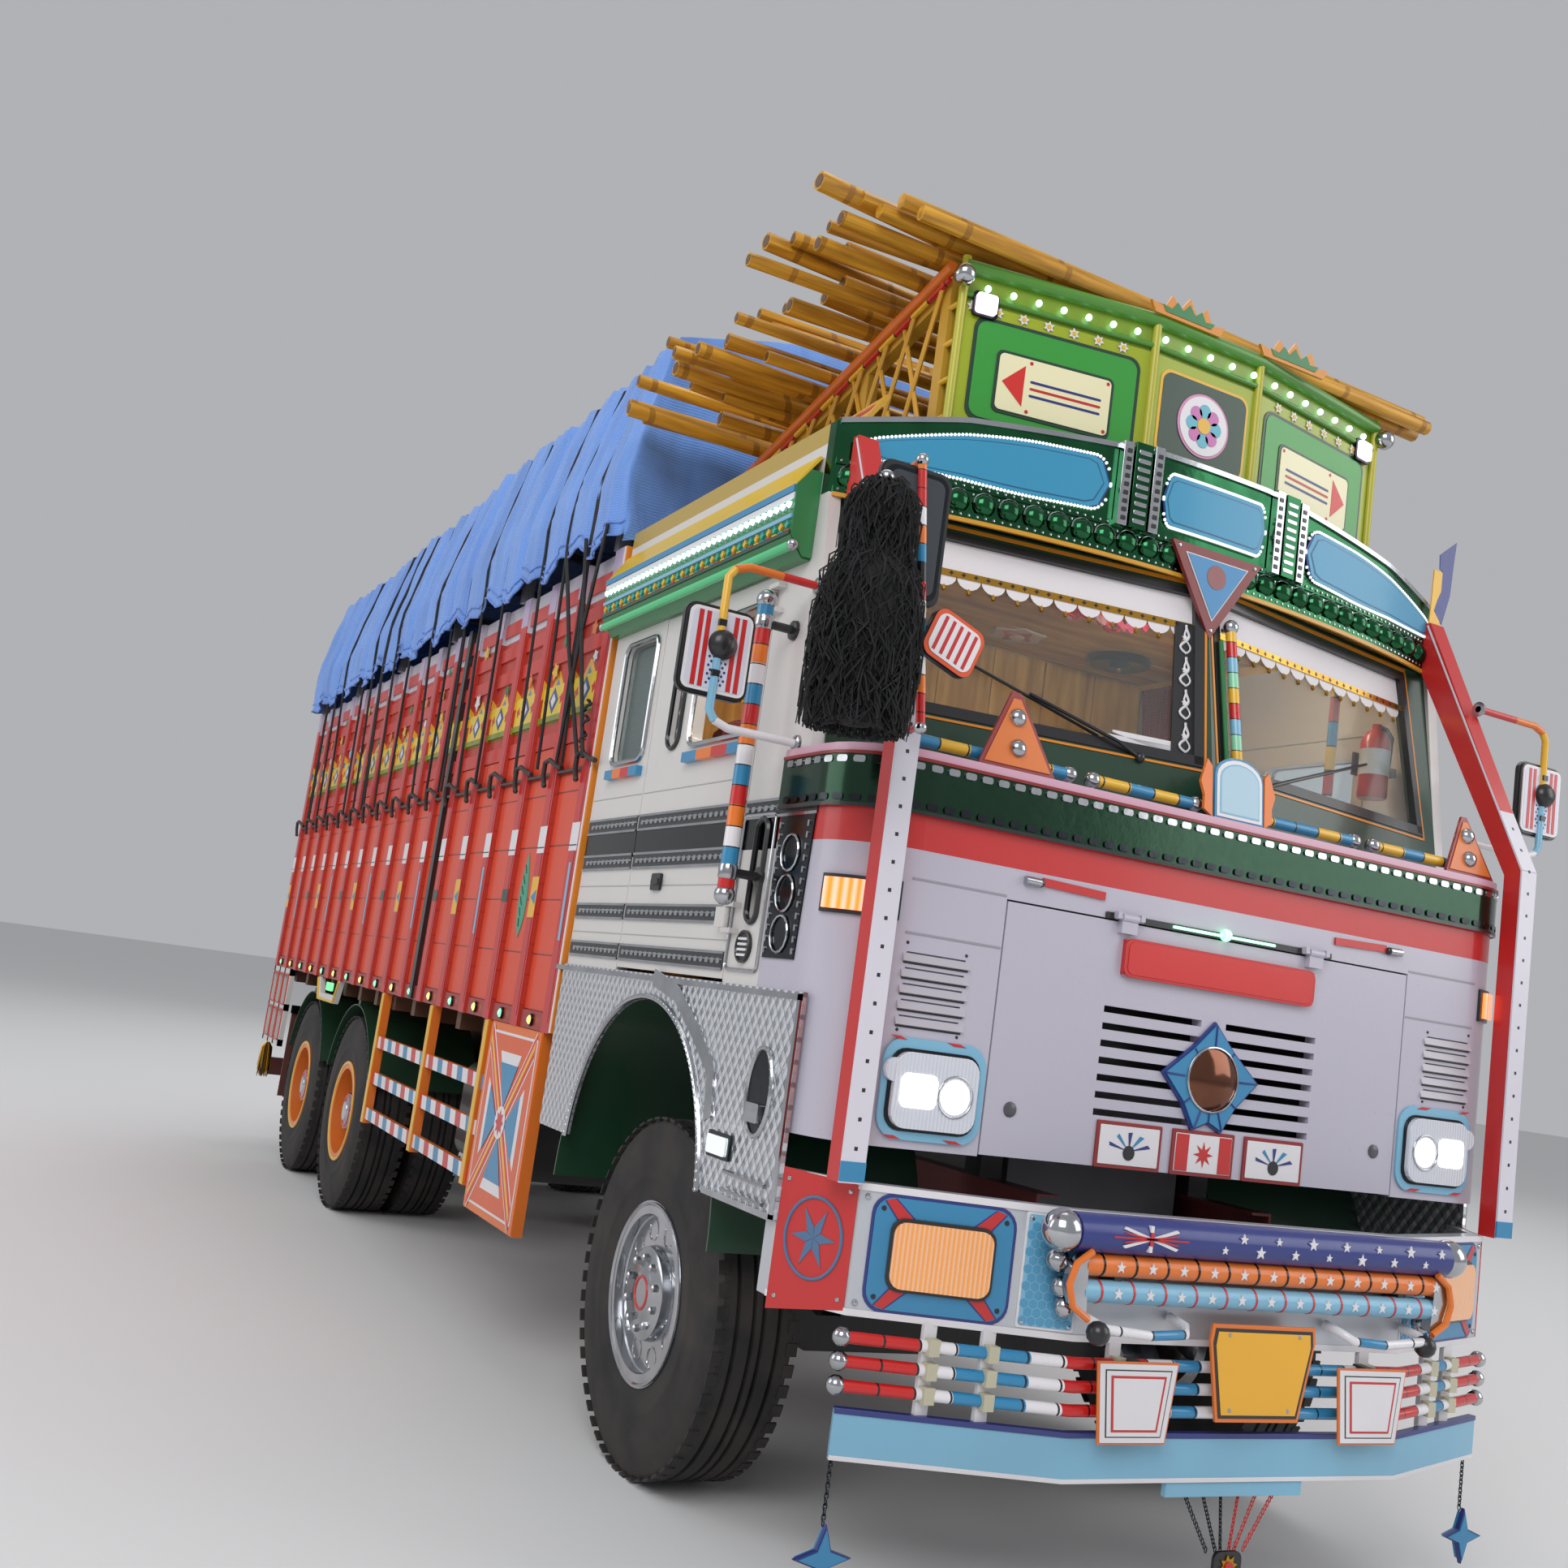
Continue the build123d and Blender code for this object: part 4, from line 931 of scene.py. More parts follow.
CHROME = Chrome("bright_chrome", SILVER)
GREEN_CHROME = Chrome("green_chrome", tint("2f6a45"), 0.1, 0.6)
DARK_CHROME = Chrome("dark_chrome", tint("3c4044"), 0.16, 0.5)
RUBBER = Rubber("tyre_rubber", tint("17171a"))
WHITE_PAINT = Paint("white_enamel", WHITE)
RED_PAINT = Paint("red_enamel", RED)
ORANGE_PAINT = Paint("orange_enamel", ORANGE)
YELLOW_PAINT = Paint("yellow_enamel", YELLOW)
BLUE_PAINT = Paint("blue_enamel", BLUE)
SKY_PAINT = Paint("sky_enamel", SKY)
NAVY_PAINT = Paint("navy_enamel", NAVY)
GREEN_PAINT = Paint("green_enamel", GREEN)
DARK_PAINT = Paint("dark_green_enamel", DARK_GREEN)
BLACK_PAINT = Paint("black_enamel", BLACK, grime=0.1)
STEEL = Paint("axle_paint", tint("1b1b1f"), 0.55, grime=0.8)
SIGN_OLIVE = Paint("sign_olive", tint("9fae14"))
POST_RED = Paint("post_red", tint("c41c18"))
ROW_OLIVE = Paint("row_olive", tint("7f8c1c"))
BOARD_SEAM = Paint("board_seam", tint("7a1a10"))


@dataclass
class CadDress:
    """Finishes of the frame's own solids."""

    def build(self) -> None:
        """Give each node its material and rounded edges."""
        for node, (finish, bevel) in self.table().items():
            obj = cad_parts[node]
            obj.data.materials.clear()
            obj.data.materials.append(finish.material())
            obj.data.shade_smooth()
            obj.data.set_sharp_from_angle(angle=math.radians(35))
            if bevel:
                soften(obj, bevel)
            LOG.info("dressed %s", node)

    def table(self) -> dict:
        """Finish and edge rounding of each node.

        Returns:
            Finish and edge rounding in millimetres, by node.
        """
        body = Paint("cowl_paint", tint("bfbac8"), 0.3, marks=(
            Mark(RED, z=(1878, 1969)), Mark(DARK_GREEN, z=(1969, 2113), metal=0.85, rough=0.18)))
        flap = Paint("flap_paint", tint("bfbac8"), 0.3, marks=(
            Mark(RED, y=(-40, -1), z=(1600, 1760)),))
        side = Paint("cab_side_paint", tint("d9d5d2"), 0.32, marks=(
            Mark(BLACK, z=(1860, 1955), metal=0.8, rough=0.2),))
        bumper = Paint("bumper_sheet", tint("c9ccd2"), 0.3, 0.35)
        lower = Paint("lower_board_paint", SKY,
                      marks=(Mark(RED, z=(540, 720)), Mark(BLUE, x=(620, 740), z=(540, 720)),
                             Mark(BLUE, x=(160, 280), z=(540, 720)), Mark(tint("5fa8c8"), z=(0, 520)),
                             Mark(NAVY, z=(505, 520))))
        boards = Paint("body_boards", tint("b8301c"), 0.45, marks=(
            Mark(tint("a3261a"), z=(1220, 3060), fill=Fill.ROWS, pitch=118, share=0.06),
            Mark(YELLOW, z=(2520, 2660), fill=Fill.DIAMONDS, pitch=190, share=0.42),
            Mark(BLUE, z=(2540, 2640), fill=Fill.DIAMONDS, pitch=190, share=0.2),
            Mark(OLIVE, z=(2440, 2470)), Mark(LILAC, z=(2900, 3061))))
        grey = Paint("chassis_paint", tint("5d1512"), 0.5, grime=0.9)
        guard = Paint("guard_paint", RED, marks=(Mark(tint("d8d4dc"), y=(-400, -77.5), z=(1042, 2175)),))
        return {"ladder_frame": (grey, 2), "cross_members": (grey, 2),
                "engine": (Rubber("engine_iron", GREY), 6), "driveline": (STEEL, 2), "front_axle": (STEEL, 3),
                "leaf_springs": (STEEL, 2), "rear_axles": (STEEL, 2),
                "chassis_tanks": (Paint("tank_paint", tint("2a2c30"), 0.4), 3), "tie_rod": (STEEL, 1),
                "knuckle_right": (STEEL, 2), "knuckle_left": (STEEL, 2), "front_bumper": (bumper, 3),
                "lower_board": (lower, 2), "bull_bar": (CHROME, 0),
                "plates": (Paint("plate_paint", YELLOW), 2), "cowl": (body, 4), "front_flap": (flap, 3),
                "lamps": (Lens("lamp_glass", WHITE, 1.5), 6), "cab_floor": (BLACK_PAINT, 2),
                "cab_sides": (side, 3), "door_right": (side, 3), "door_left": (side, 3),
                "cab_back": (Paint("cab_inside", tint("c7a56a")), 2),
                "cab_roof": (Paint("roof_paint", tint("b79a3c")), 4), "windshield_frame": (DARK_PAINT, 3),
                "cab_glass": (Pane("window_glass", tint("dfe8e8")), 0), "header_visor": (GREEN_CHROME, 4),
                "side_cornices": (GREEN_PAINT, 3),
                "roof_board": (Paint("roof_board_paint", tint("7d9a1c")), 3),
                "roof_rack": (Paint("rack_paint", tint("c99a2c"), 0.5), 3), "corner_guards": (guard, 3),
                "grab_rails": (CHROME, 0), "mirrors": (BLACK_PAINT, 3),
                "seats": (Paint("seat_core", DEEP_RED), 8),
                "dashboard": (Paint("dash_grain", tint("3a2a20")), 4),
                "arch_skirts": (Quilted("quilted_sheet", tint("e8ebf0")), 2), "mudguards": (DARK_PAINT, 1),
                "bed_floor": (Grain("bed_boards", tint("7a5a34")), 1),
                "bed_bearers": (Grain("bed_bearer_wood", BROWN), 2),
                "bed_runners": (Grain("bed_runner_wood", BROWN), 2), "bed_sides": (boards, 2),
                "bed_ends": (boards, 2), "tailgate": (boards, 3),
                "tarp": (Cloth("tarp_cloth", tint("2f5fae"), fade=tint("6f9ad8")), 0),
                "tarp_hoops": (Paint("hoop_paint", GREY), 1),
                "side_guards": (Paint("side_guard_paint", ORANGE), 2), "rear_guards": (grey, 3),
                **{f"front_tyre_{s}": (RUBBER, 0) for s in SIDE_NAMES},
                **{f"{a}_tyres_{s}": (RUBBER, 0) for a in ("mid", "rear") for s in SIDE_NAMES},
                **{f"front_rim_{s}": (CHROME, 1) for s in SIDE_NAMES},
                **{f"{a}_rims_{s}": (Paint("twin_rim_paint", ORANGE), 1) for a in ("mid", "rear")
                   for s in SIDE_NAMES}}


@dataclass(frozen=True)
class Face:
    """Flat frame to lay pieces out on, in millimetres: u along it, v up it and n out of it."""

    origin: Vector
    along: Vector
    up: Vector

    def to(self, u: float, v: float, n: float = 0.0) -> Vector:
        """Point in the row frame."""
        return self.origin + (self.along * u + self.up * v + self.out * n) / 1000

    @property
    def out(self) -> Vector:
        """Direction that the face looks in."""
        return self.along.cross(self.up).normalized()


def face(start: Vector, end: Vector, up: Vector = UP) -> Face:
    """Face that runs from start towards end, square to up."""
    along = (end - start).normalized()
    return Face(start, along, (up - along * up.dot(along)).normalized())


def facing(x: float, y: float, z: float = 0.0, lean: float = 0.0) -> Face:
    """Face that looks forward from a place, leaning back by a share of its height."""
    return Face(at(x, y, z), ACROSS, Vector((0, lean, 1)).normalized())


def flank(x: float) -> Face:
    """Upright face along the truck's left side, its zero at the cowl's face on the ground."""
    return Face(at(x, 0, 0), BACK, UP)


def rounded(u: tuple, v: tuple, radius: float, steps: int = 5) -> list[tuple[float, float]]:
    """Rectangle with round corners, as (u, v) pairs.

    Args:
        u: First and last place along the face.
        v: First and last place up the face.
        radius: Radius of the corners.
        steps: Parts of each corner.

    Returns:
        Places along and up the face.
    """
    points = []
    corners = ((u[1] - radius, v[1] - radius, 0), (u[0] + radius, v[1] - radius, 90),
               (u[0] + radius, v[0] + radius, 180), (u[1] - radius, v[0] + radius, 270))
    for cu, cv, start in corners:
        for k in range(steps + 1):
            a = math.radians(start + 90 * k / steps)
            points.append((cu + radius * math.cos(a), cv + radius * math.sin(a)))
    return points


def ngon(u: float, v: float, radius: float, count: int = 20, turn: float = 0.0,
         inner: float = 1.0) -> list[tuple[float, float]]:
    """Polygon, or a star where inner is under one, as (u, v) pairs.

    Args:
        u: Middle along the face.
        v: Middle up the face.
        radius: From the middle to a corner.
        count: Number of corners.
        turn: Angle of the first corner, in radians.
        inner: Share of the radius at every second corner.

    Returns:
        Places along and up the face.
    """
    return [(u + radius * (inner if inner < 1 and k % 2 else 1) * math.cos(turn + 2 * math.pi * k / count),
             v + radius * (inner if inner < 1 and k % 2 else 1) * math.sin(turn + 2 * math.pi * k / count))
            for k in range(count)]


def star(u: float, v: float, radius: float, points: int = 5) -> list[tuple[float, float]]:
    """Star with one point up."""
    return ngon(u, v, radius, 2 * points, math.pi / 2, 0.42)


def oblong(u: tuple, v: tuple) -> list[tuple[float, float]]:
    """Rectangle between two bounds along and two up, as (u, v) pairs."""
    return [(u[0], v[0]), (u[1], v[0]), (u[1], v[1]), (u[0], v[1])]


def spot(u: float, v: float, turn: float, wide: float, high: Optional[float] = None) -> tuple[float, float]:
    """Place on an ellipse round (u, v) at an angle."""
    return u + wide * math.cos(turn), v + (wide if high is None else high) * math.sin(turn)


def circle(u: float, v: float, wide: float, high: float, count: int) -> list[tuple[float, float]]:
    """Places evenly round an ellipse."""
    return [spot(u, v, 2 * math.pi * k / count, wide, high) for k in range(count)]


def bow(u: float, v: float, wide: float, high: float, count: int) -> list[tuple[float, float]]:
    """Places along the lower half of an ellipse."""
    return [spot(u, v, math.pi + math.pi * k / count, wide, high) for k in range(count + 1)]


def slot_hole(u: float, v: float, radius: float, reach: float) -> list[tuple[float, float]]:
    """Upright slot with round ends whose middles stand a reach over and under (u, v)."""
    return [(a, b + (reach if 0 < k <= 10 else -reach))
            for k, (a, b) in enumerate(circle(u, v, radius, radius, 20))]


def grown(outline: Sequence[tuple[float, float]], middle: tuple, share: float,
          upward: Optional[float] = None) -> list[tuple[float, float]]:
    """Outline scaled about its middle by a share, upward by its own share where given."""
    rise = share if upward is None else upward
    return [(middle[0] + (u - middle[0]) * share, middle[1] + (v - middle[1]) * rise) for u, v in outline]


def grid_loops(rows: int, columns: int, closed: bool = False) -> list[list[int]]:
    """Corner numbers of the faces between rows of points, each row joined to itself where closed.

    Args:
        rows: Number of rows of faces.
        columns: Number of faces in a row.
        closed: Whether a row ends where it starts.

    Returns:
        Corner numbers of each face.
    """
    wide = columns if closed else columns + 1
    return [[r * wide + c, r * wide + (c + 1) % wide, (r + 1) * wide + (c + 1) % wide, (r + 1) * wide + c]
            for r in range(rows) for c in range(columns)]


def ring(middle: Vector, along: Vector, up: Vector, count: int) -> list[Vector]:
    """Points round a middle, reaching as far as two square vectors do."""
    return [middle + along * math.cos(2 * math.pi * k / count) + up * math.sin(2 * math.pi * k / count)
            for k in range(count)]


class Panel(Shape):
    """A shape laid out on faces as thin layers."""

    def layer(self, on: Face, outline: Sequence[tuple[float, float]], low: float, high: float) -> "Panel":
        """Flat layer between two heights off the face."""
        self.prism([on.to(u, v, low) for u, v in outline][::-1], on.out * (high - low) / 1000)
        return self

    def layers(self, on: Face, *stack: tuple) -> "Panel":
        """Several layers, each (outline, finish, low, high).

        Args:
            on: Face that it lies on.
            stack: Outline, finish, foot and top of each layer.

        Returns:
            The panel itself, for the next call.
        """
        for outline, finish, low, high in stack:
            self.use(finish).layer(on, outline, low, high)
        return self

    def nested(self, on: Face, outline: Sequence[tuple[float, float]], middle: tuple,
               *stack: tuple) -> "Panel":
        """Layers of one outline scaled about its middle, each (share, finish, low, high)."""
        return self.layers(on, *((grown(outline, middle, share), *rest) for share, *rest in stack))

    def wire(self, on: Face, outline: Sequence[tuple[float, float]], high: float, radius: float, sides: int,
             closed: bool = True) -> "Panel":
        """Thin bar bent along an outline at a height off the face."""
        self.tube([on.to(u, v, high) for u, v in outline], radius, sides, closed)
        return self

    def ribbon(self, columns: Sequence[tuple[Vector, Vector]], thick: float) -> "Panel":
        """Bent strip between feet and heads, thickened outwards by millimetres.

        Args:
            columns: Foot and head of each column, in metres.
            thick: Thickness in millimetres.

        Returns:
            The panel itself, for the next call.
        """
        count = len(columns)
        corners: list[Vector] = []
        for k, (foot, head) in enumerate(columns):
            run = columns[min(k + 1, count - 1)][0] - columns[max(k - 1, 0)][0]
            out = run.cross(head - foot)
            if out.length < 1e-9:
                out = run.cross(UP)
            out = out.normalized() * thick / 1000
            corners += [foot, head, head + out, foot + out]
        loops = [[0, 1, 2, 3], [4 * count - 1, 4 * count - 2, 4 * count - 3, 4 * count - 4]]
        for k in range(count - 1):
            a, b = 4 * k, 4 * k + 4
            loops += [[a + j, a + (j + 1) % 4, b + (j + 1) % 4, b + j] for j in range(4)]
        self.faces(corners, loops)
        return self

    def screws(self, on: Face, spots: Iterable[tuple[float, float]], radius: float, high: float) -> "Panel":
        """Domed screws standing on the face at a height.

        Args:
            on: Face that they stand on.
            spots: Places along and up the face.
            radius: Radius of a screw.
            high: Height of the feet over the face.

        Returns:
            The panel itself, for the next call.
        """
        for u, v in spots:
            self.lathe(on.to(u, v, high), on.out,
                       [(-1, radius), (radius * 0.4, radius * 0.75), (radius * 0.6, 0)], 10)
        return self


def cowl_line(proud: float, up: float, steps: int = 6, back: float = 425.0) -> list[Vector]:
    """Line round the cowl from its right end to its left, standing proud of it.

    Args:
        proud: Millimetres outside the cowl.
        up: Height in millimetres.
        steps: Parts of each rounded corner.
        back: Where both ends are, behind the cowl's face.

    Returns:
        Points in metres.
    """
    line = [(CAB_HALF + proud, back)]
    for k in range(steps + 1):
        a = math.radians(90 * k / steps)
        line.append(spot(CAB_HALF - CORNER, CORNER, -a, CORNER + proud))
    return [at(-x, y, up) for x, y in line] + [at(x, y, up) for x, y in line[::-1]]


BUMPER = face(at(560, -230, 0), at(1100, -44, 0))
WING = face(at(1100, -44, 0), at(CAB_HALF, 140, 0))
COWL = facing(0, 0)


@dataclass
class Wheels:
    """Tyres with ribs and shoulder lugs, covers and hubs."""

    radius: float = 525.0
    front_x: float = 1003.0
    twin_x: tuple = (736.0, 1051.0)
    lugs: int = 54
    holes: int = 10

    def tyre(self, shape: Shape, x: float, y: float, width: float) -> None:
        """Turn one tyre into the shape.

        Args:
            shape: Shape that takes the solids.
            x: Middle of the tyre, in millimetres from the truck's middle.
            y: Place of the axle, in metres.
            width: Width in millimetres.
        """
        half = width / 2
        side = [(0.80, 254), (0.90, 266), (0.955, 300), (0.975, 330), (1.0, 338), (1.0, 352), (0.985, 360),
                (1.0, 400), (0.985, 440), (0.96, 452), (0.96, 462), (0.935, 470), (0.88, 505), (0.82, 519)]
        tread = [(0.80, 522), (0.52, 524), (0.50, 509), (0.44, 509), (0.42, 525), (0.16, 525), (0.14, 509),
                 (0.08, 509), (0.06, 525)]
        right = side + tread
        profile = [(-share * half, r) for share, r in right] + [(share * half, r) for share, r in right[::-1]]
        centre = Vector((x / 1000, y, self.radius / 1000))
        axis = ACROSS
        shape.lathe(centre, axis, profile + [profile[0]], 72)
        for k in range(self.lugs):
            for s in SIDES:
                a = 2 * math.pi * (k + (0.5 if s > 0 else 0)) / self.lugs
                radial = Vector((0, math.cos(a), math.sin(a)))
                round_ = Vector((0, -math.sin(a), math.cos(a)))
                wide = 2 * math.pi * self.radius / self.lugs * 0.3 / 1000
                foot = centre + axis * s * half * 0.70 / 1000
                corner = [foot + radial * 0.518 - round_ * wide, foot + radial * 0.518 + round_ * wide,
                          foot + radial * 0.5252 + round_ * wide, foot + radial * 0.5252 - round_ * wide]
                shape.prism(corner, axis * s * half * 0.24 / 1000)

    def cover(self, s: int, y: float, body: str, name: str) -> None:
        """Bright dished cover of a front wheel, with its ring of round holes, each shut by a black disc of
        painted shade, and its nuts.

        Args:
            s: -1 on the right, 1 on the left.
            y: Place of the axle, in metres.
            body: Body that it moves with.
            name: The side's name.
        """
        centre = Vector((s * self.front_x / 1000, y, self.radius / 1000))
        axis = Vector((s, 0, 0))
        shape = Shape(f"front_cover_{name}", CHROME)
        shape.lathe(centre, axis,
                    [(100, 250), (136, 268), (138, 262), (112, 240), (98, 226), (94, 150), (100, 142),
                     (128, 136), (134, 126), (134, 78), (138, 72), (141, 30), (141, 0)], 48)
        for k in range(self.holes):
            a = 2 * math.pi * k / self.holes
            hole = centre + Vector((0, math.cos(a), math.sin(a))) * 0.188
            shape.use(CHROME)
            shape.lathe(hole, axis, [(94, 36), (102, 34), (103, 30), (97, 28)], 18)
            # Painted shade: a black disc stands in each hole instead of an opening.
            shape.use(BLACK_PAINT)
            shape.lathe(hole, axis, [(95, 28), (98.5, 27), (98.5, 0)], 16)
            shape.use(CHROME)
            nut = centre + Vector((0, math.cos(a + 0.3), math.sin(a + 0.3))) * 0.104
            shape.lathe(nut, axis, [(130, 13), (148, 12), (152, 6), (152, 0)], 6)
        shape.use(RED_PAINT)
        shape.lathe(centre, axis, [(140, 52), (143, 50), (143, 44), (140, 42)], 30)
        shape.piece("rim", body)

    def hub(self, shape: Shape, s: int, y: float) -> None:
        """Painted dish, hub and nuts of an outer twin wheel, its holes shut by black discs of painted shade.

        Args:
            shape: Shape that takes the solids.
            s: -1 on the right, 1 on the left.
            y: Place of the axle, in metres.
        """
        centre = Vector((s * self.twin_x[1] / 1000, y, self.radius / 1000))
        axis = Vector((s, 0, 0))
        shape.use(YELLOW_PAINT)
        shape.lathe(centre, axis, [(128, 274), (133, 270), (131, 258), (124, 254), (128, 274)], 40)
        shape.use(WHITE_PAINT)
        shape.lathe(centre, axis, [(-119, 228), (-117, 226), (-117, 206), (-121, 204)], 40)
        for k in range(8):
            a = 2 * math.pi * k / 8
            hole = centre + Vector((0, math.cos(a), math.sin(a))) * 0.188
            # Painted shade: a black disc stands in each hole of the dish.
            shape.use(BLACK_PAINT)
            shape.lathe(hole, axis, [(-125, 24), (-115, 22), (-115, 0)], 14)
            shape.use(CHROME)
            nut = centre + Vector((0, math.cos(a + 0.4), math.sin(a + 0.4))) * 0.135
            shape.lathe(nut, axis, [(-148, 14), (-128, 13), (-120, 0)], 6)
        shape.use(CHROME)
        shape.lathe(centre, axis, [(-140, 112), (90, 104), (101, 96), (104, 60), (112, 50), (114, 0)], 28)
        shape.use(RED_PAINT)
        shape.lathe(centre, axis, [(102, 92), (104, 90), (104, 74), (102, 72)], 28)

    def build(self) -> None:
        """Make every tyre, cover and hub."""
        tyres = {"front": "front_tyre_left", "mid": "mid_tyres_left", "rear": "rear_tyres_left"}
        axles = {name: sum(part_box(node)[k].y for k in (0, 1)) / 2 for name, node in tyres.items()}
        for s, side in zip(SIDES, SIDE_NAMES):
            shape = Shape(f"front_tread_{side}", RUBBER)
            self.tyre(shape, s * self.front_x, axles["front"], 280)
            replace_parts(shape.piece("tyre", f"front_wheel_{side}"), f"front_tyre_{side}")
            self.cover(s, axles["front"], f"front_wheel_{side}", side)
            for axle in ("mid", "rear"):
                shape = Shape(f"{axle}_treads_{side}", RUBBER)
                for x in self.twin_x:
                    self.tyre(shape, s * x, axles[axle], 270)
                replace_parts(shape.piece("tyre", f"{axle}_wheels_{side}"), f"{axle}_tyres_{side}")
                shape = Shape(f"{axle}_hub_{side}", CHROME)
                self.hub(shape, s, axles[axle])
                shape.piece("twin_rim", f"{axle}_wheels_{side}")


@dataclass
class FrontEnd:
    """Bumper panels, lamps, bull bar, plates and the rails under them."""

    bar_y: float = -282.5
    tubes: tuple = (681.0, 625.0, 569.0)
    line: tuple = ((1100.0, -58.0), (560.0, -244.0))

    def bumper(self) -> None:
        """Bordered panels with studs, rosettes and rays on the bent bumper."""
        shape = Panel("bumper_panels", CHROME)
        blue = rounded((180, 530), (752, 1018), 45)
        shape.layers(BUMPER,
                     (rounded((2, 150), (748, 1026), 6), WHITE_PAINT, 0, 3),
                     (rounded((8, 144), (754, 1020), 6), SKY_PAINT, 3, 5),
                     (rounded((172, 538), (744, 1026), 50), NAVY_PAINT, 0, 3), (blue, BLUE_PAINT, 3, 6))
        for turn in (34, 146, 214, 326):
            a = math.radians(turn)
            for finish, half, high in ((NAVY_PAINT, 26, 7), (RED_PAINT, 20, 8)):
                u0, v0 = 355 + 60 * math.cos(a), 885 + 60 * math.sin(a)
                u1, v1 = 355 + 170 * math.cos(a), 885 + 128 * math.copysign(1, math.sin(a))
                side = (-math.sin(a) * half, math.cos(a) * half)
                shape.use(finish)
                shape.layer(BUMPER,
                            [(u0 + side[0], v0 + side[1]), (u0 - side[0], v0 - side[1]),
                             (u1 - side[0], v1 - side[1] * 0.2), (u1 + side[0], v1 + side[1] * 0.2)], 6, high)
        for row in range(12):
            for column in range(6):
                u, v = 20 + column * 23 + (11.5 if row % 2 else 0), 766 + row * 20.5
                if u < 138:
                    shape.use(Paint("honeycomb", tint("4e9cc4")))
                    shape.layer(BUMPER, ngon(u, v, 11.5, 6, math.pi / 6), 5, 6.5)
        shape.use(BLACK_PAINT)
        shape.screws(BUMPER, [(200, 780), (510, 780), (200, 990), (510, 990)], 7, 6)
        shape.use(CHROME)
        shape.screws(BUMPER, [(16, 762), (16, 1010), (136, 762), (136, 1010), (552, 760), (552, 1012)], 8, 3)
        wing = [(6, 738), (217, 700), (217, 1046), (6, 1036)]
        shape.layers(WING, (wing, RED_PAINT, 0, 5))
        shape.use(Paint("slate_enamel", tint("4d6f96"))).wire(WING, circle(110, 890, 78, 98, 32), 6, 4.5, 6)
        for k in range(6):
            a = math.pi * k / 3
            shape.layer(WING, [spot(110, 890, a, 62, 80), spot(110, 890, a + 0.5, 22, 26), (110, 890),
                               spot(110, 890, a - 0.5, 22, 26)], 5, 7)
        shape.use(CHROME)
        shape.screws(WING, [(24, 760), (196, 735), (24, 1016), (196, 1020)], 7, 5)
        shape.use(WHITE_PAINT)
        bend = ((0, -230), (560, -230), (1100, -44), (CAB_HALF, 140))
        for z0, z1 in ((1026, 1043), (729, 745)):
            shape.ribbon([(at(x, y, z0), at(x, y, z1)) for x, y in bend], 5)
        shape.doubled().piece("bumper", bevel=1.0)

    def fog_lamps(self) -> None:
        """Amber lit lamps in black frames, and lit head lamps in striped bezels."""
        shape = Panel("lamp_lenses", BLACK_PAINT)
        shape.layers(BUMPER, (rounded((222, 488), (798, 972), 34), BLACK_PAINT, 6, 14),
                     (rounded((230, 480), (806, 964), 30), Lens("fog_glass", tint("e8932c"), 0.2), 10, 24))
        glass = Lens("head_glass", tint("c9ced8"), 0.12)
        shape.layers(COWL, (rounded((752, 1062), (1150, 1404), 60), SKY_PAINT, 0, 8))
        for u, v, w in ((800, 1146, 40), (985, 1146, 34), (820, 1390, 40), (1000, 1392, 30)):
            dash = [(u, v + 6), (u + w, v + 6), (u + w + 22, v + 14), (u + 22, v + 14)]
            shape.use(RED_PAINT).layer(COWL, dash, 7, 10)
        shape.layers(COWL, (rounded((772, 1044), (1172, 1378), 46), DARK_CHROME, 6, 12),
                     (rounded((782, 1034), (1180, 1370), 42), glass, 10, 26),
                     (rounded((1000, 1062), (1292, 1352), 28), glass, 10, 24))
        shape.use(Lens("head_core", tint("ffffff"), 1.6)).layer(COWL, ngon(850, 1270, 44, 24), 26, 28)
        shape.layer(COWL, rounded((905, 1015), (1232, 1318), 20), 26, 28)
        shape.use(CHROME).wire(COWL, circle(850, 1270, 52, 52, 24), 27, 3, 6)
        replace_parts(shape.doubled().piece("lamp", bevel=2.0), "lamps")

    def bull_bar(self) -> None:
        """Starred tubes, balls, curved side plates and small white tubes."""
        shape = Panel("bull_bar_dress", NAVY_PAINT)
        y = self.bar_y
        front = facing(0, y)
        shape.tube([at(-640, y, 1000), at(640, y, 1000)], 47.5, 28)
        for k in range(14):
            u = -190 + 60 * k
            if u < 600:
                shape.use(WHITE_PAINT)
                shape.layer(front, star(u, 1000 + (16 if k % 2 else -14), 11 + 3 * (k % 3)), 44, 48.5)
        for turn in (0, 45, 90, 135):
            a = math.radians(turn)
            arm = [(math.cos(a) * 118 - math.sin(a) * 5, math.sin(a) * 32 + math.cos(a) * 4),
                   (-math.cos(a) * 118 - math.sin(a) * 5, -math.sin(a) * 32 + math.cos(a) * 4),
                   (-math.cos(a) * 118 + math.sin(a) * 5, -math.sin(a) * 32 - math.cos(a) * 4),
                   (math.cos(a) * 118 + math.sin(a) * 5, math.sin(a) * 32 - math.cos(a) * 4)]
            for finish, high, share in ((WHITE_PAINT, 47, 1.0), (RED_PAINT, 49, 0.5)):
                shape.use(finish).layer(front, [(-430 + u, 1000 + v * share) for u, v in arm], 36, high)
        for z, finish in ((925, ORANGE_PAINT), (862, SKY_PAINT)):
            shape.use(finish).tube([at(-600, y, z), at(600, y, z)], 28, 20)
            for k in range(12):
                shape.use(RED_PAINT if z < 900 else DARK_CHROME)
                shape.lathe(at(-550 + 100 * k, y, z), ACROSS, [(-3, 28), (-3, 29.4), (3, 29.4), (3, 28)], 20)
                shape.use(WHITE_PAINT).layer(front, star(-500 + 100 * k, z, 15), 24, 29.5)
        for s in SIDES:
            shape.use(CHROME).ball(at(s * 668, y, 1000), 52, 22)
            for z, r in ((925, 30), (862, 26), (815, 26)):
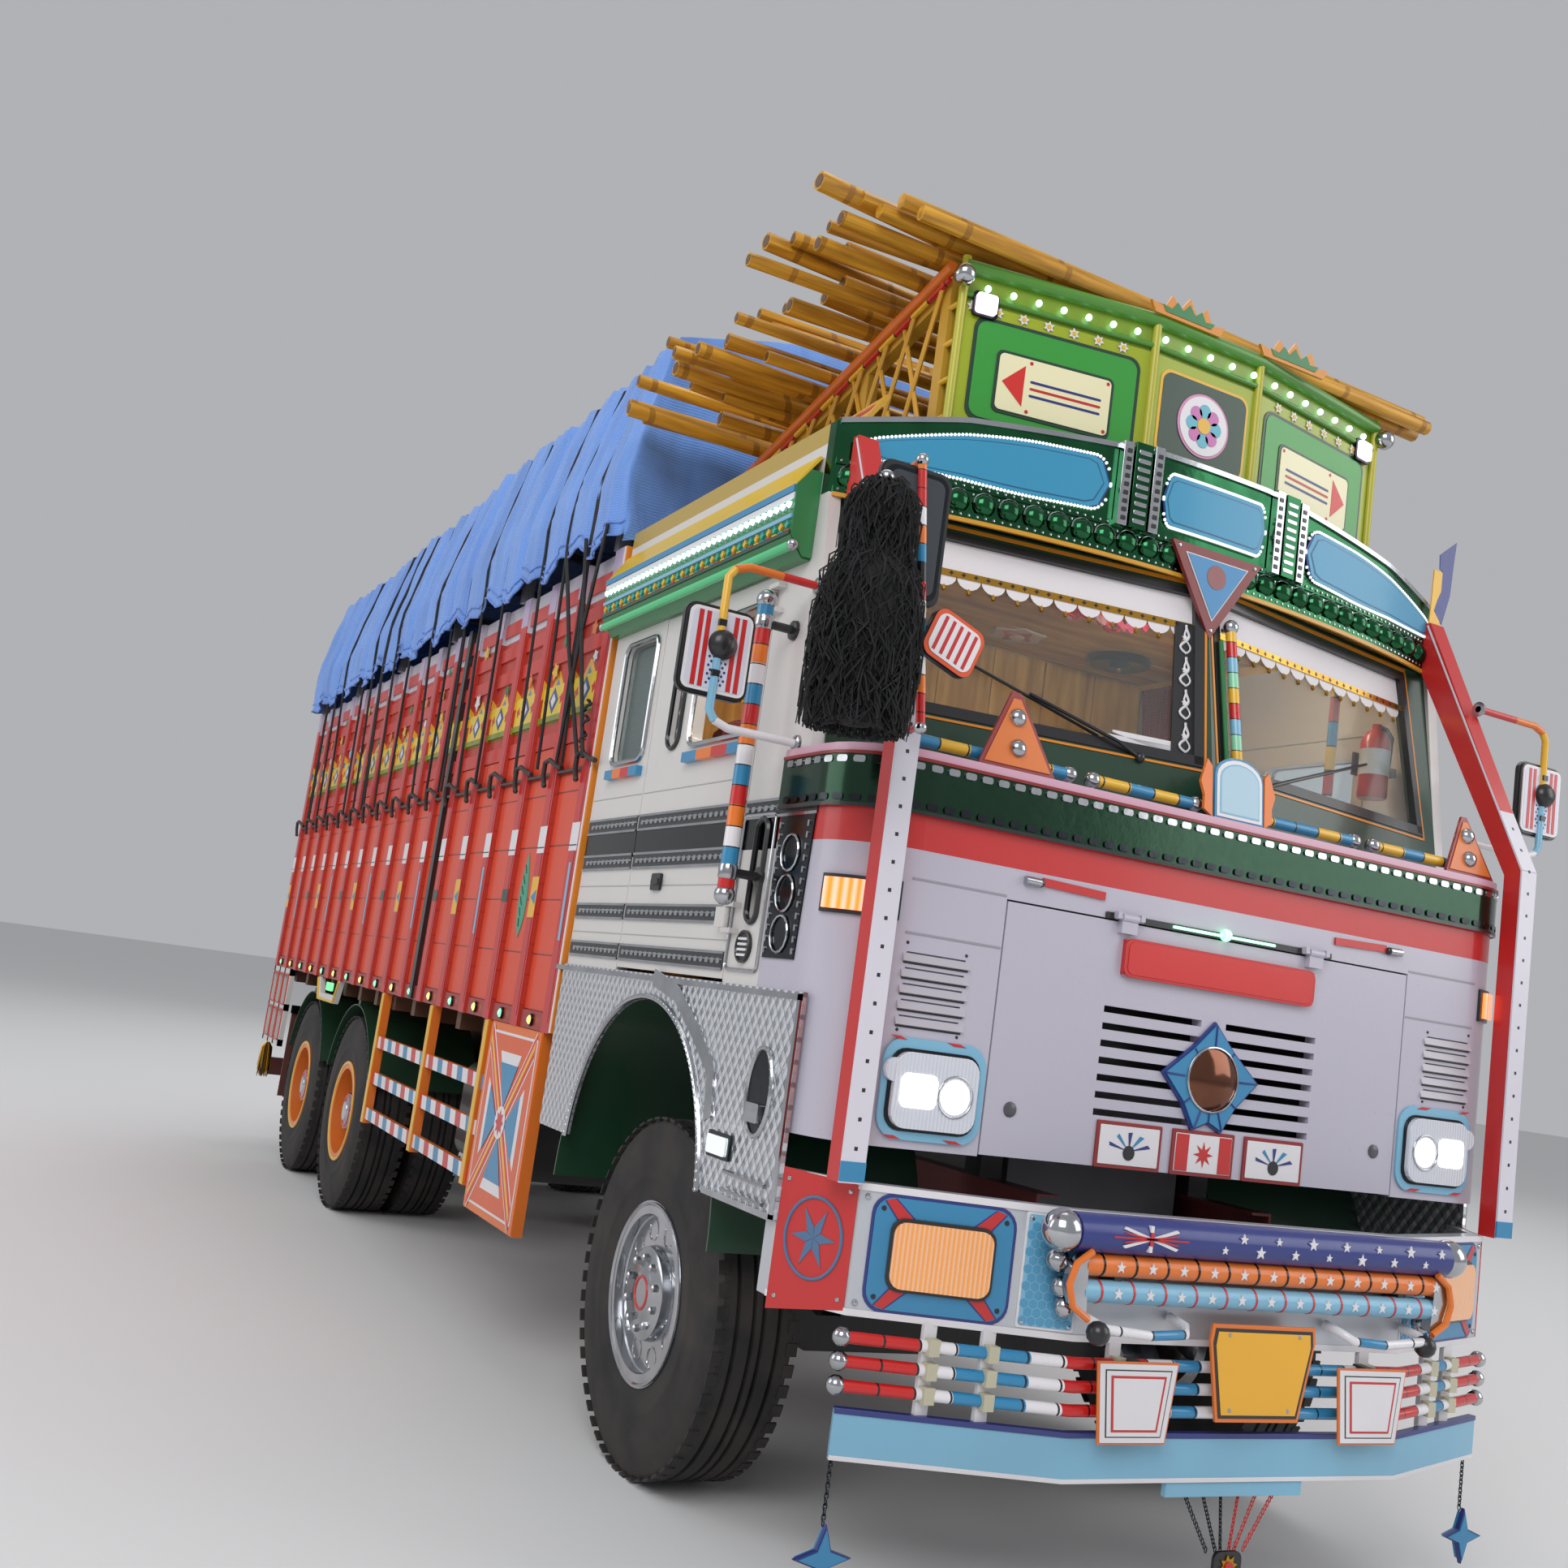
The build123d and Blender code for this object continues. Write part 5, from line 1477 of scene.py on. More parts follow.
                shape.ball(at(s * (650 - (925 - z) * 0.3), y + 30, z), r, 14)
            curve = ((596, 960), (640, 930), (656, 880), (640, 830), (590, 800))
            shape.use(ORANGE_PAINT).tube([at(s * x, y - 34, z) for x, z in curve], 9, 8)
            plate = ((600, 958), (640, 925), (650, 880), (632, 830), (590, 806))
            shape.use(CHROME).prism([at(s * x, y - 26, z) for x, z in plate], BACK * 0.03)
            hoop = ((560, -240, 800), (560, -300, 792), (548, -326, 782), (400, -326, 770),
                    (290, -326, 776), (270, -300, 790), (270, -240, 800))
            bands = (WHITE, WHITE, BLUE, WHITE, RED, WHITE, WHITE, RED, WHITE, BLUE, WHITE, WHITE)
            shape.use(Banded("bow_tube", axis="x", start=-0.6, end=0.6, colours=bands))
            shape.tube([at(s * x, behind, z) for x, behind, z in hoop], 12, 10)
            shape.use(BLACK_PAINT).ball(at(s * 560, -322, 770), 30, 12)
            shape.use(STEEL).block(at(s * 480, -290, 840), at(s * 500, -230, 1020))
        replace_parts(shape.piece("bar_chrome", angle=40), "bull_bar")

    def rails(self) -> None:
        """Three banded tubes and the pale blue board under the bumper."""
        (x1, y1), (x0, y0) = self.line
        shape = Panel("lower_rails", RED_PAINT)
        bands = (RED, RED, WHITE, BLUE, BLUE, WHITE, RED, RED, RED, WHITE, BLUE, WHITE, RED, RED, WHITE, BLUE,
                 BLUE, WHITE, RED, RED, RED, WHITE, BLUE, WHITE, RED, RED)
        shape.use(Banded("rail_bands", axis="x", start=-1.1, end=1.1, colours=bands))
        for z in self.tubes:
            shape.tube([at(-x1, y1, z), at(-x0, y0, z), at(x0, y0, z), at(x1, y1, z)], 15, 14)
        shape.use(CHROME)
        for s in SIDES:
            for z in self.tubes:
                shape.ball(at(s * (x1 + 8), y1 + 4, z), 24, 14)
        for x in (430, 760, 900):
            y = y0 if x <= x0 else y0 + (x - x0) * (y1 - y0) / (x1 - x0)
            for s in SIDES:
                shape.use(WHITE_PAINT).block(at(s * (x - 18), y + 8, 430), at(s * (x + 18), y + 24, 735))
                for z in self.tubes:
                    shape.use(Paint("strap_plastic", tint("c9c3a8"))).block(at(s * (x - 15), y - 20, z - 20),
                                                                          at(s * (x + 15), y + 14, z + 20))
        board = [(-x1, y1), (-x0, y0), (x0, y0), (x1, y1)]
        for z, high, finish, thick in ((402, 516, SKY_PAINT, 20), (506, 519, NAVY_PAINT, 23),
                                       (399, 410, WHITE_PAINT, 22)):
            shape.use(finish).ribbon([(at(x, y + 16, z), at(x, y + 16, high)) for x, y in board], thick)
        shape.use(SKY_PAINT).block(at(-230, y0, 362), at(230, y0 + 18, 402))
        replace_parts(shape.piece("board_blue", bevel=1.0, angle=40), "lower_board")

    def number_plates(self) -> None:
        """Blank plates: a yellow one in the middle, two white ones beside it."""
        shape = Panel("blank_plates", YELLOW_PAINT)
        front = facing(0, -290)
        hexed = [(-175, 800), (-180, 760), (-140, 560), (140, 560), (180, 760), (175, 800)]
        shape.layers(front, (hexed, ORANGE_PAINT, 0, 8),
                     (grown(hexed, (0, 680), 0.95, 0.92), BLACK_PAINT, 8, 9.5),
                     (grown(hexed, (0, 680), 0.90, 0.85), Paint("plate_yellow", tint("f2b21e")), 9, 11))
        shape.use(CHROME).screws(front, [(-120, 775), (120, 775), (-100, 590), (100, 590)], 6, 11)
        for x in (-400, 400):
            plate = [(x - 128, 700), (x - 105, 505), (x + 105, 505), (x + 128, 700)]
            shape.nested(front, plate, (x, 600), (1.0, ORANGE_PAINT, 0, 5), (0.95, WHITE_PAINT, 5, 8),
                         (0.82, BLACK_PAINT, 8, 9), (0.79, WHITE_PAINT, 8.5, 10), (0.68, RED_PAINT, 10, 11),
                         (0.62, WHITE_PAINT, 10.5, 12))
        for x in (-400, 0, 400):
            shape.use(STEEL).block(at(x - 15, -290, 620 if x else 560), at(x + 15, -240, 700))
        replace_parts(shape.piece("plate", bevel=0.8), "plates")

    def hangers(self) -> None:
        """Four-pointed stars on chains at the board's ends, and a pendant on chains in the middle."""
        shape = Panel("hanging_stars", CHROME)
        for s in SIDES:
            y = -44
            for k in range(13):
                shape.use(DARK_CHROME)
                link = ring(at(s * 1088, y, 395 - k * 12), (ACROSS if k % 2 else BACK) * 0.005, UP * 0.009, 8)
                shape.tube(link, 1.8, 5, True)
            front = facing(s * 1088, y - 8)
            for size, finish, low, high in ((78, NAVY_PAINT, 0, 12), (66, BLUE_PAINT, 12, 16),
                                            (66, BLUE_PAINT, -4, -12)):
                shape.use(finish).layer(front, ngon(0, 175, size, 8, math.pi / 2, 0.36), low, high)
        spread = ((-150, 60), (-90, 30), (-30, 14), (30, 14), (90, 30), (150, 60))
        for x, inner in spread:
            for k in range(14):
                t = (k + 0.5) / 14
                middle = at(x + (math.copysign(inner, x) - x) * t, -226, 362 - t * 140)
                link = ring(middle, (ACROSS if k % 2 else BACK) * 0.004, UP * 0.008, 8)
                shape.use(RED_PAINT if x > 0 else DARK_CHROME).tube(link, 1.6, 5, True)
        front = facing(0, -232)
        gold = Chrome("gold_plate", tint("d8a23c"))
        shape.layers(front, (rounded((-46, 46), (150, 226), 20), BLACK_PAINT, 0, 10),
                     (ngon(0, 190, 30, 16, 0.2, 0.6), gold, 10, 14),
                     (ngon(0, 190, 13, 16), RED_PAINT, 14, 18))
        shape.piece("board_blue", angle=50)

    def build(self) -> None:
        """Make the front end."""
        self.bumper()
        self.fog_lamps()
        self.bull_bar()
        self.rails()
        self.number_plates()
        self.hangers()


@dataclass
class CowlDress:
    """Belt studs, strips, louvres, corner lamps and the flap's ornaments."""

    belt: tuple = (1969.0, 2113.0)
    slats: tuple = (1440.0, 1480.0, 1520.0, 1560.0, 1600.0)

    def belt_rows(self) -> None:
        """Bright edge strips and rows of oblong studs round the belt."""
        shape = Panel("belt_rows", GREEN_CHROME)
        for low, high, proud, finish in ((2112, 2134, 6, PINK), (2104, 2112, 12, DEEP_RED),
                                         (1966, 1976, 12, BLACK)):
            strip = Paint("belt_strip_" + str(low), finish)
            feet, heads = cowl_line(proud, low), cowl_line(proud, high)
            shape.use(strip).ribbon(list(zip(feet, heads)), 5)
        for z in (1990, 2090):
            points = spaced(cowl_line(12, z), 52)
            shape.use(DARK_CHROME if z < 2000 else CHROME)
            for a, b in zip(points, points[1:]):
                shape.layer(face(a, b), rounded((2, 36), (-9, 9), 6, 2), 0, 5)
        shape.piece("cowl_white", bevel=0)

    def louvres(self) -> None:
        """Slanted slats with a painted shadow strip under each, screws, and creases beside the flap drawn as
        painted-shade lines.
        """
        shape = Panel("louvres", Paint("cowl_panel", tint("b9b4bd")))
        for z in self.slats:
            shape.use(shape.finishes[0])
            shape.prism([at(836, 1, z + 14), at(836, -9, z - 6), at(836, 1, z - 8)], Vector((0.205, 0, 0)))
            # Painted shadow: a thin black strip on the cowl just under each slat.
            shape.use(BLACK_PAINT).layer(COWL, rounded((840, 1038), (z - 13, z - 7), 3, 2), 0, 1.2)
        shape.use(BLACK_PAINT).screws(COWL, [(850, 1420), (1030, 1420), (850, 1630), (1030, 1640)], 5, 0)
        shape.use(Paint("plug_plastic", tint("4a4a4e")))
        shape.lathe(COWL.to(660, 1255), FRONT, [(-1, 20), (3, 20), (5, 17), (5, 0)], 20)
        # Painted shade: each pressed crease is drawn as a grey line darker than the cowl.
        crease_shade_paint = Paint("cowl_crease_shade", tint("9b96a0"))
        for low, high in (((748, 1662), (1040, 1668)), ((748, 1800), (1040, 1806))):
            shape.use(crease_shade_paint).layer(COWL, [low, (high[0], low[1]), high, (low[0], high[1])], 0, 1.5)
        shape.doubled().piece("cowl_white", bevel=0.6)

    def corner_lamps(self) -> None:
        """Amber turn lamps round the corners."""
        shape = Panel("corner_lamps", BLACK_PAINT)
        amber = Lens("amber_glass", tint("ff7a10"), 1.4, 60.0)
        for low, high, proud, thick, finish, span in ((1690, 1790, 0, 10, BLACK_PAINT, (12, 72)),
                                                      (1700, 1780, 6, 16, amber, (16, 68))):
            columns = []
            for k in range(9):
                a = math.radians(span[0] + (span[1] - span[0]) * k / 8)
                x, y = spot(CAB_HALF - CORNER, CORNER, a - math.pi / 2, CORNER + proud)
                columns.append((at(x, y, low), at(x, y, high)))
            shape.use(finish).ribbon(columns, thick)
        shape.doubled().piece("lamp", bevel=1.5)

    def flap(self) -> None:
        """Diamond ornament, bar, small plates, lamp and hinges on the flap."""
        shape = Panel("flap_ornaments", BLUE_PAINT)
        bronze = Chrome("bronze_glass", tint("7a5140"), 0.08)
        shape.layers(COWL, (rounded((-352, 352), (1644, 1750), 26), RED_PAINT, 13, 18),
                     (rounded((-340, 340), (1652, 1742), 20), Paint("bar_red", tint("d2231d")), 18, 20))
        diamond = [(0, 1552), (-72, 1480), (-166, 1404), (-92, 1330), (-50, 1262), (0, 1284), (50, 1262),
                   (92, 1330), (166, 1404), (72, 1480)]
        shape.nested(COWL, diamond, (0, 1400), (1.06, NAVY_PAINT, 0, 10), (1.0, BLUE_PAINT, 10, 16))
        for tip, root in zip(diamond, grown(diamond, (0, 1400), 0.6)):
            shape.use(NAVY_PAINT).wire(COWL, (tip, root), 17, 3, 5, False)
        shape.use(bronze).lathe(COWL.to(0, 1400), FRONT, [(0, 88), (18, 86), (30, 60), (36, 30), (37, 0)], 30)
        shape.use(CHROME).lathe(COWL.to(0, 1400), FRONT, [(0, 94), (20, 93), (22, 88), (16, 86)], 30)
        for x in (-262, 0, 262):
            shape.layers(COWL,
                         (rounded((x - 112, x + 112), (1132, 1256), 4), Paint("plate_red", DEEP_RED), 0, 6),
                         (rounded((x - 102, x + 102), (1142, 1246), 3), WHITE_PAINT, 6, 8))
            if x:
                for k in range(5):
                    a = math.radians(20 + 35 * k)
                    ray = [(x, 1180), spot(x, 1180, a + 0.1, 70, 50), spot(x, 1180, a - 0.1, 76, 52)]
                    shape.use(BLUE_PAINT if k % 2 else NAVY_PAINT).layer(COWL, ray, 8, 9.5)
                shape.use(BLACK_PAINT).layer(COWL, ngon(x, 1176, 20, 18, 0, 1), 8, 10)
            else:
                for side in SIDES:
                    shape.use(RED_PAINT).layer(COWL, oblong((side * 55, side * 100), (1144, 1244)), 8, 9.5)
                shape.layer(COWL, star(0, 1192, 36, 8), 8, 9.5)
        shape.use(Lens("green_glass", tint("7dffb0"), 2.2)).ball(COWL.to(0, 1806, 14), 18, 14)
        shape.layer(COWL, rounded((-190, 190), (1799, 1807), 3), 8, 14)
        shape.use(BLACK_PAINT).layer(COWL, rounded((-420, 420), (1794, 1812), 4), 0, 6)
        shape.piece("cowl_white", "front_flap", bevel=0.8)

    def top_seam(self) -> None:
        """Reflector strips and their round ends over the flap."""
        shape = Panel("seam_reflectors", RED_PAINT)
        for s in SIDES:
            shape.use(RED_PAINT)
            shape.layer(COWL, [(s * 430, 1840), (s * 640, 1846), (s * 640, 1868), (s * 430, 1862)][::s], 0, 7)
            shape.use(CHROME).tube([COWL.to(s * 650, 1852, 8), COWL.to(s * 700, 1853, 8)], 12, 12)
            shape.use(BLACK_PAINT).ball(COWL.to(s * 650, 1852, 8), 12.4, 10)
        shape.piece("cowl_white", bevel=0.5)

    def guards(self) -> None:
        """Perforated white faces of the corner guards, their holes drawn as short black rows of painted
        shade.
        """
        shape = Panel("guard_faces", WHITE_PAINT)
        # Painted shade: short black rows down the middle of the face stand for the holes instead of openings.
        white = Paint("guard_white_hole_shade", tint("dcd8e2"),
                      marks=(Mark(BLACK, z=(1000, 3200), fill=Fill.ROWS, pitch=70, share=0.14,
                                  x=(1146, 1156)),))
        low = facing(GUARD_X, -78, 1042)
        shape.use(white).layer(low, oblong((-34, 34), (0, 1133)), -4, 3)
        lean = facing(GUARD_X, -78, 2175, (370 + 78) / (3050 - 2175))
        shape.layer(lean, oblong((-34, 34), (0, 975)), -4, 3)
        shape.use(BLUE_PAINT).layer(low, oblong((-35, 35), (4, 52)), -2, 4.5)
        shape.doubled().piece("guard", bevel=1)

    def build(self) -> None:
        """Make the cowl's dress."""
        self.belt_rows()
        self.louvres()
        self.corner_lamps()
        self.flap()
        self.top_seam()
        self.guards()


def visor_face(x: float) -> float:
    """Millimetres behind the cowl's face at which the visor's bowed front stands."""
    radius = (CAB_HALF ** 2 + VISOR_BOW ** 2) / (2 * VISOR_BOW)
    return 420.0 - VISOR_BOW + radius - math.sqrt(radius ** 2 - x ** 2)


def on_visor(x: float, z: float, proud: float = 0.0) -> Vector:
    """Point on the visor's front."""
    return at(x, visor_face(x) - proud, z)


PANE = face(at(0, 79, 2113), at(1000, 259, 2113), Vector((0, 105 / 595, 1)))
LED = Lens("led_dome", tint("bdfff0"), 2.6)
GOLD = Chrome("gold_trim", tint("d9a441"), 0.2)


@dataclass
class Windshield:
    """Gaskets, valance, centre triangle, posts, wipers and the ledge under the panes."""

    width: tuple = (45.0, 1130.0)
    height: tuple = (190.0, 740.0)

    def frame_lines(self) -> None:
        """Black gasket, orange line, valance with gold lace and its scallops, on both panes."""
        shape = Panel("windshield_trim", BLACK_PAINT)
        (u0, u1), (v0, v1) = self.width, self.height
        shape.use(BLACK_PAINT)
        for outline in ([(u0 - 6, v0 - 6), (u1 + 6, v0 - 6), (u1 + 4, v0 + 26), (u0 - 6, v0 + 26)],
                        oblong((u0 - 6, u0 + 24), (v0, v1)),
                        [(u1 - 24, v0), (u1 + 6, v0), (u1 - 29, v1), (u1 - 59, v1)],
                        oblong((u0 - 6, u1 - 29), (v1 - 10, v1 + 12))):
            shape.layer(PANE, outline, -17, 4)
        line = Paint("orange_line", tint("e58a12"))
        for outline in (oblong((u0 - 18, u1 + 16), (v0 - 20, v0 - 13)),
                        oblong((u0 - 18, u0 - 11), (v0 - 20, v1 + 30)),
                        [(u1 + 9, v0 - 20), (u1 + 16, v0 - 20), (u1 - 20, v1 + 30), (u1 - 27, v1 + 30)],
                        oblong((u0 - 18, u1 - 20), (v1 + 24, v1 + 36))):
            shape.use(line).layer(PANE, outline, 0, 3)
        valance = Paint("valance_cloth", tint("e9e4e6"), 0.8, coat=0.0)
        shape.use(valance)
        shape.layer(PANE, [(u0 + 20, 640), (u1 - 50, 640), (u1 - 56, 732), (u0 + 20, 732)], -17, -14)
        shape.use(GOLD)
        shape.layer(PANE, [(u0 + 20, 622), (u1 - 49, 622), (u1 - 50, 642), (u0 + 20, 642)], -16, -11)
        for k in range(26):
            shape.use(BLACK_PAINT).layer(PANE, ngon(84 + 39 * k, 632, 8, 8, 0, 0.5), -12, -10)
        for k in range(13):
            middle = 104 + 78 * k
            shape.use(valance).layer(PANE, bow(middle, 624, 38, 34, 8), -17, -15)
            shape.use(GOLD).lathe(PANE.to(middle, 588, -15), -PANE.up, [(-4, 3), (0, 5), (12, 6), (16, 0)], 8)
        shape.doubled().piece("frame_green")

    def centre(self) -> None:
        """Red and blue triangle over the centre post, the scrolled strip and the striped post."""
        shape = Panel("centre_triangle", RED_PAINT)
        front = facing(0, 196)
        shape.nested(front, ((-178, 2976), (0, 2703), (178, 2976)), (0, 2885),
                     (1.0, Paint("triangle_red", tint("7e1a18")), 0, 14), (0.70, WHITE_PAINT, 14, 16),
                     (0.66, Paint("triangle_blue", tint("2b86bd")), 16, 18))
        shape.use(Paint("triangle_disc", tint("8d4a4c"))).layer(front, ngon(0, 2895, 38, 24), 18, 19)
        shape.use(CHROME).screws(front, [(-150, 2962), (150, 2962), (0, 2730)], 7, 14)
        shape.piece("visor_green", bevel=1)
        shape = Panel("scroll_strip", BLACK_PAINT)
        shape.layer(PANE, [(50, 196), (140, 196), (128, 640), (50, 640)], -17, -10)
        shape.use(WHITE_PAINT)
        for k in range(4):
            base = 225 + 105 * k
            for turn, reach in ((1, 26), (-1, 18)):
                curl = [(92 + turn * reach * (1 - t) * math.sin(t * 7), base + 92 * t)
                        for t in (j / 14 for j in range(15))]
                shape.wire(PANE, curl, -8, 4.2 if turn > 0 else 3, 5, False)
            shape.layer(PANE, ngon(96, base + 50, 11, 10, 0.3, 0.55), -10, -6)
        for k in range(4):
            shape.layer(PANE, [(60 + 14 * k, 200), (420 - 30 * k, 200 + 15 * k), (420 - 30 * k, 207 + 15 * k),
                               (60 + 14 * k, 207 + 15 * k)], -17, -12)
        shape.flipped().piece("frame_green")
        shape = Panel("striped_post", CHROME)
        bands = (YELLOW, MINT, SKY, RED, YELLOW, MINT, SKY, RED, YELLOW)
        foot, head = PANE.to(92, 205, 26), PANE.to(92, 648, 26)
        shape.use(Banded("post_bands", axis="z", start=foot.z, end=head.z, colours=bands))
        shape.tube([foot, head], 16, 16)
        for point in (foot, head):
            shape.use(CHROME).ball(point, 24, 16)
            shape.tube([point, point + PANE.out * -0.03], 8, 8)
        shape.use(GREEN_PAINT).tube([PANE.to(58, 205, 14), PANE.to(58, 600, 14)], 7, 8)
        shape.piece("rail_stripe")

    def wipers(self) -> None:
        """Two black wipers."""
        shape = Panel("wipers", BLACK_PAINT)
        pivot = PANE.to(250, 175, 4)
        shape.tube([pivot, PANE.to(330, 205, 22), PANE.to(610, 300, 10)], 6, 6)
        shape.tube([PANE.to(380, 222, -8), PANE.to(840, 378, -8)], 5, 6)
        shape.ball(pivot, 16, 10)
        shape.doubled().piece("frame_green")

    def ledge(self) -> None:
        """Banded rails with balls, two triangle signs and an arched blank sign on the cowl's top."""
        shape = Panel("ledge", CHROME)
        twist = (BLUE, YELLOW, BLUE, BLUE, YELLOW, BLUE, YELLOW, YELLOW, BLUE, YELLOW, BLUE, BLUE)
        for x0, x1 in ((-1080, -560), (-480, -110), (110, 520), (600, 1080)):
            y = 46
            shape.use(Banded("ledge_bands", axis="x", start=-1.08, end=1.08, colours=twist * 2))
            shape.tube([at(x0, y, 2168), at(x1, y, 2168)], 17, 14)
            shape.use(CHROME)
            for x in (x0, x1):
                shape.ball(at(x, y, 2168), 24, 14)
                shape.tube([at(x, y, 2168), at(x, y, 2110)], 9, 8)
        for x, size in ((-760, 1.0), (985, 0.86)):
            front = facing(x, 12, 2134, 0.2)
            sign = grown([(-125, 0), (125, 0), (14, 225), (-14, 225)], (0, 0), size)
            shape.nested(front, sign, (0, 75 * size), (1.0, Paint("sign_red", DEEP_RED), 0, 10),
                         (0.86, Paint("sign_orange", tint("dc6f10")), 10, 13))
            for v in (62, 150):
                shape.use(CHROME)
                shape.lathe(front.to(0, v * size, 13), front.out, [(-2, 26), (8, 24), (18, 14), (21, 0)], 18)
            shape.use(STEEL).tube([front.to(0, 60, -2), at(x, 70, 2118)], 8, 6)
        front = facing(20, 8, 2134, 0.12)
        arch = [(-92, 0), (92, 0)] + [spot(0, 130, math.pi * k / 10, 92, 60) for k in range(11)]
        shape.nested(front, arch, (0, 85), (1.0, BLUE_PAINT, 0, 8), (0.93, WHITE_PAINT, 8, 10),
                     (0.82, SKY_PAINT, 10, 11), (0.77, Paint("sign_pale", tint("a9c9da")), 10.5, 12))
        for s in SIDES:
            side = [(s * 98, 0), (s * 130, 20), (s * 128, 60), (s * 142, 100), (s * 118, 170), (s * 100, 150)]
            shape.use(Paint("bracket_orange", ORANGE)).layer(front, side[::s], -4, 6)
            shape.use(STEEL).tube([front.to(s * 110, 90, -4), at(20 + s * 110, 75, 2120)], 6, 6)
        shape.piece("rail_stripe", bevel=0.6, angle=40)

    def build(self) -> None:
        """Make everything round the windshield."""
        self.frame_lines()
        self.centre()
        self.wipers()
        self.ledge()


@dataclass
class Visor:
    """Blank boards with beaded outlines, studded blocks and scallops on the visor."""

    low: float = 2885.0
    scallop: float = 37.0

    def top(self, x: float) -> float:
        """Height of the visor's arched top.

        Args:
            x: Millimetres from the middle.

        Returns:
            Height in millimetres.
        """
        x = abs(x)
        if x > 860:
            return 3100 + 80 * (CAB_HALF - x) / 366
        return 3180 + 60 * (860 - max(x, 215)) / 645

    def board(self, shape: Panel, x0: float, x1: float, point: float) -> None:
        """Blue board with navy inner line and white beads, pointed at its outer end.

        Args:
            shape: Shape that takes the solids.
            x0: Inner end, in millimetres from the middle.
            x1: Outer end, in millimetres from the middle.
            point: How far the outer end narrows.
        """
        steps = 26
        sky = Paint("board_sky", tint("2e93bb"))
        for grow, finish, low, high in ((1.0, NAVY_PAINT, 2, 8), (0.94, sky, 8, 10),
                                        (0.80, Paint("board_line", tint("1c5f86")), 10, 10.8),
                                        (0.76, sky, 10.5, 11.6)):
            columns = []
            for k in range(steps + 1):
                t = k / steps
                x = (x0 + x1) / 2 + (t - 0.5) * (x1 - x0) * (1 - (1 - grow) * 0.3)
                high_half, sink = self.half(t, point)
                half = high_half * grow
                middle = (self.top(x) + self.low + 75) / 2 - sink
                columns.append((on_visor(x, middle - half, low), on_visor(x, middle + half, low)))
            shape.use(finish).ribbon(columns, high - low)
        beads = []
        for sign in (1, -1):
            for k in range(70):
                t = k / 69
                x = x0 + t * (x1 - x0)
                half, sink = self.half(t, point)
                beads.append(on_visor(x, (self.top(x) + self.low + 75) / 2 - sink + sign * half, 9))
        shape.use(Lens("bead_white", tint("f2fbf6"), 0.7))
        for bead in beads:
            shape.ball(bead, 5.5, 6)

    @staticmethod
    def half(t: float, point: float) -> tuple[float, float]:
        """Half height of a board and how far its middle sinks, at a share of its length.

        Args:
            t: Share of the board's length.
            point: How far the outer end narrows.

        Returns:
            Half height and sink, in millimetres.
        """
        near_end = max(0.0, 1 - min(t, 1 - t) / 0.08)
        taper = 1 - point * max(0.0, (t - 0.3) / 0.7) ** 1.6
        return max(3.0, 84 * math.sqrt(max(0.0, 1 - near_end ** 2)) * taper), point * 12 * t

    def build(self) -> None:
        """Make the visor's dress."""
        shape = Panel("visor_boards", BLUE_PAINT)
        self.board(shape, 395, 1165, 0.72)
        shape.doubled()
        self.board(shape, -205, 205, 0.0)
        shape.piece("visor_green", angle=50)
        shape = Panel("visor_trim", GREEN_CHROME)
        xs = [-1215 + 2430 * k / 60 for k in range(61)]
        for low, high, thick, finish in ((2886, 2906, 8, GREEN_CHROME), (2972, 2990, 6, GREEN_CHROME)):
            shape.use(finish).ribbon([(on_visor(x, low), on_visor(x, high)) for x in xs], thick)
        shape.use(Paint("visor_edge", tint("d99a1e")))
        shape.ribbon([(on_visor(x, 2874), on_visor(x, 2886)) for x in xs], 10)
        shape.use(CHROME)
        shape.ribbon([(on_visor(x, self.top(x) - 10), on_visor(x, self.top(x) + 6)) for x in xs], 8)
        for k in range(31):
            x = -1170 + 78 * k
            shape.use(GREEN_CHROME)
            centre = on_visor(x, 2936, -4)
            out = (on_visor(x, 0, 1) - on_visor(x, 0)).normalized()
            shape.lathe(centre, out,
                        [(0, self.scallop), (12, self.scallop * 0.92), (24, self.scallop * 0.6), (30, 0)], 18)
            reach = self.scallop / 1000
            brow = ring(centre + out * 0.006, ACROSS * reach, UP * reach, 16)[:9]
            shape.use(CHROME).tube(brow, 2.6, 5)
            shape.studs([on_visor(x + 39, 2962, 2), on_visor(x + 39.5, 2962, 2)], 0.6, 5, FRONT, 6)
        for low in (2896, 2981):
            shape.use(CHROME).studs([on_visor(x, low, 8) for x in xs], 26, 5, FRONT, 6)
        shape.piece("visor_green", angle=45)
        shape = Panel("visor_blocks", CHROME)
        for x0, x1, finish in ((228, 262, CHROME), (270, 330, GREEN_CHROME), (338, 372, CHROME)):
            top = self.top(x0) + 6
            columns = [(on_visor(x, 2975, 2), on_visor(x, top, 2)) for x in (x0, (x0 + x1) / 2, x1)]
            shape.use(finish).ribbon(columns, 26)
            shape.use(BLACK_PAINT if finish is CHROME else CHROME)
            for k in range(9):
                z = 2990 + k * (top - 3000) / 9
                shape.layer(face(on_visor(x0, 0, 28), on_visor(x1, 0, 28)),
                            rounded((8, x1 - x0 - 8), (z, z + 14), 3, 2), -1, 2)
        shape.doubled().piece("visor_green", bevel=2)


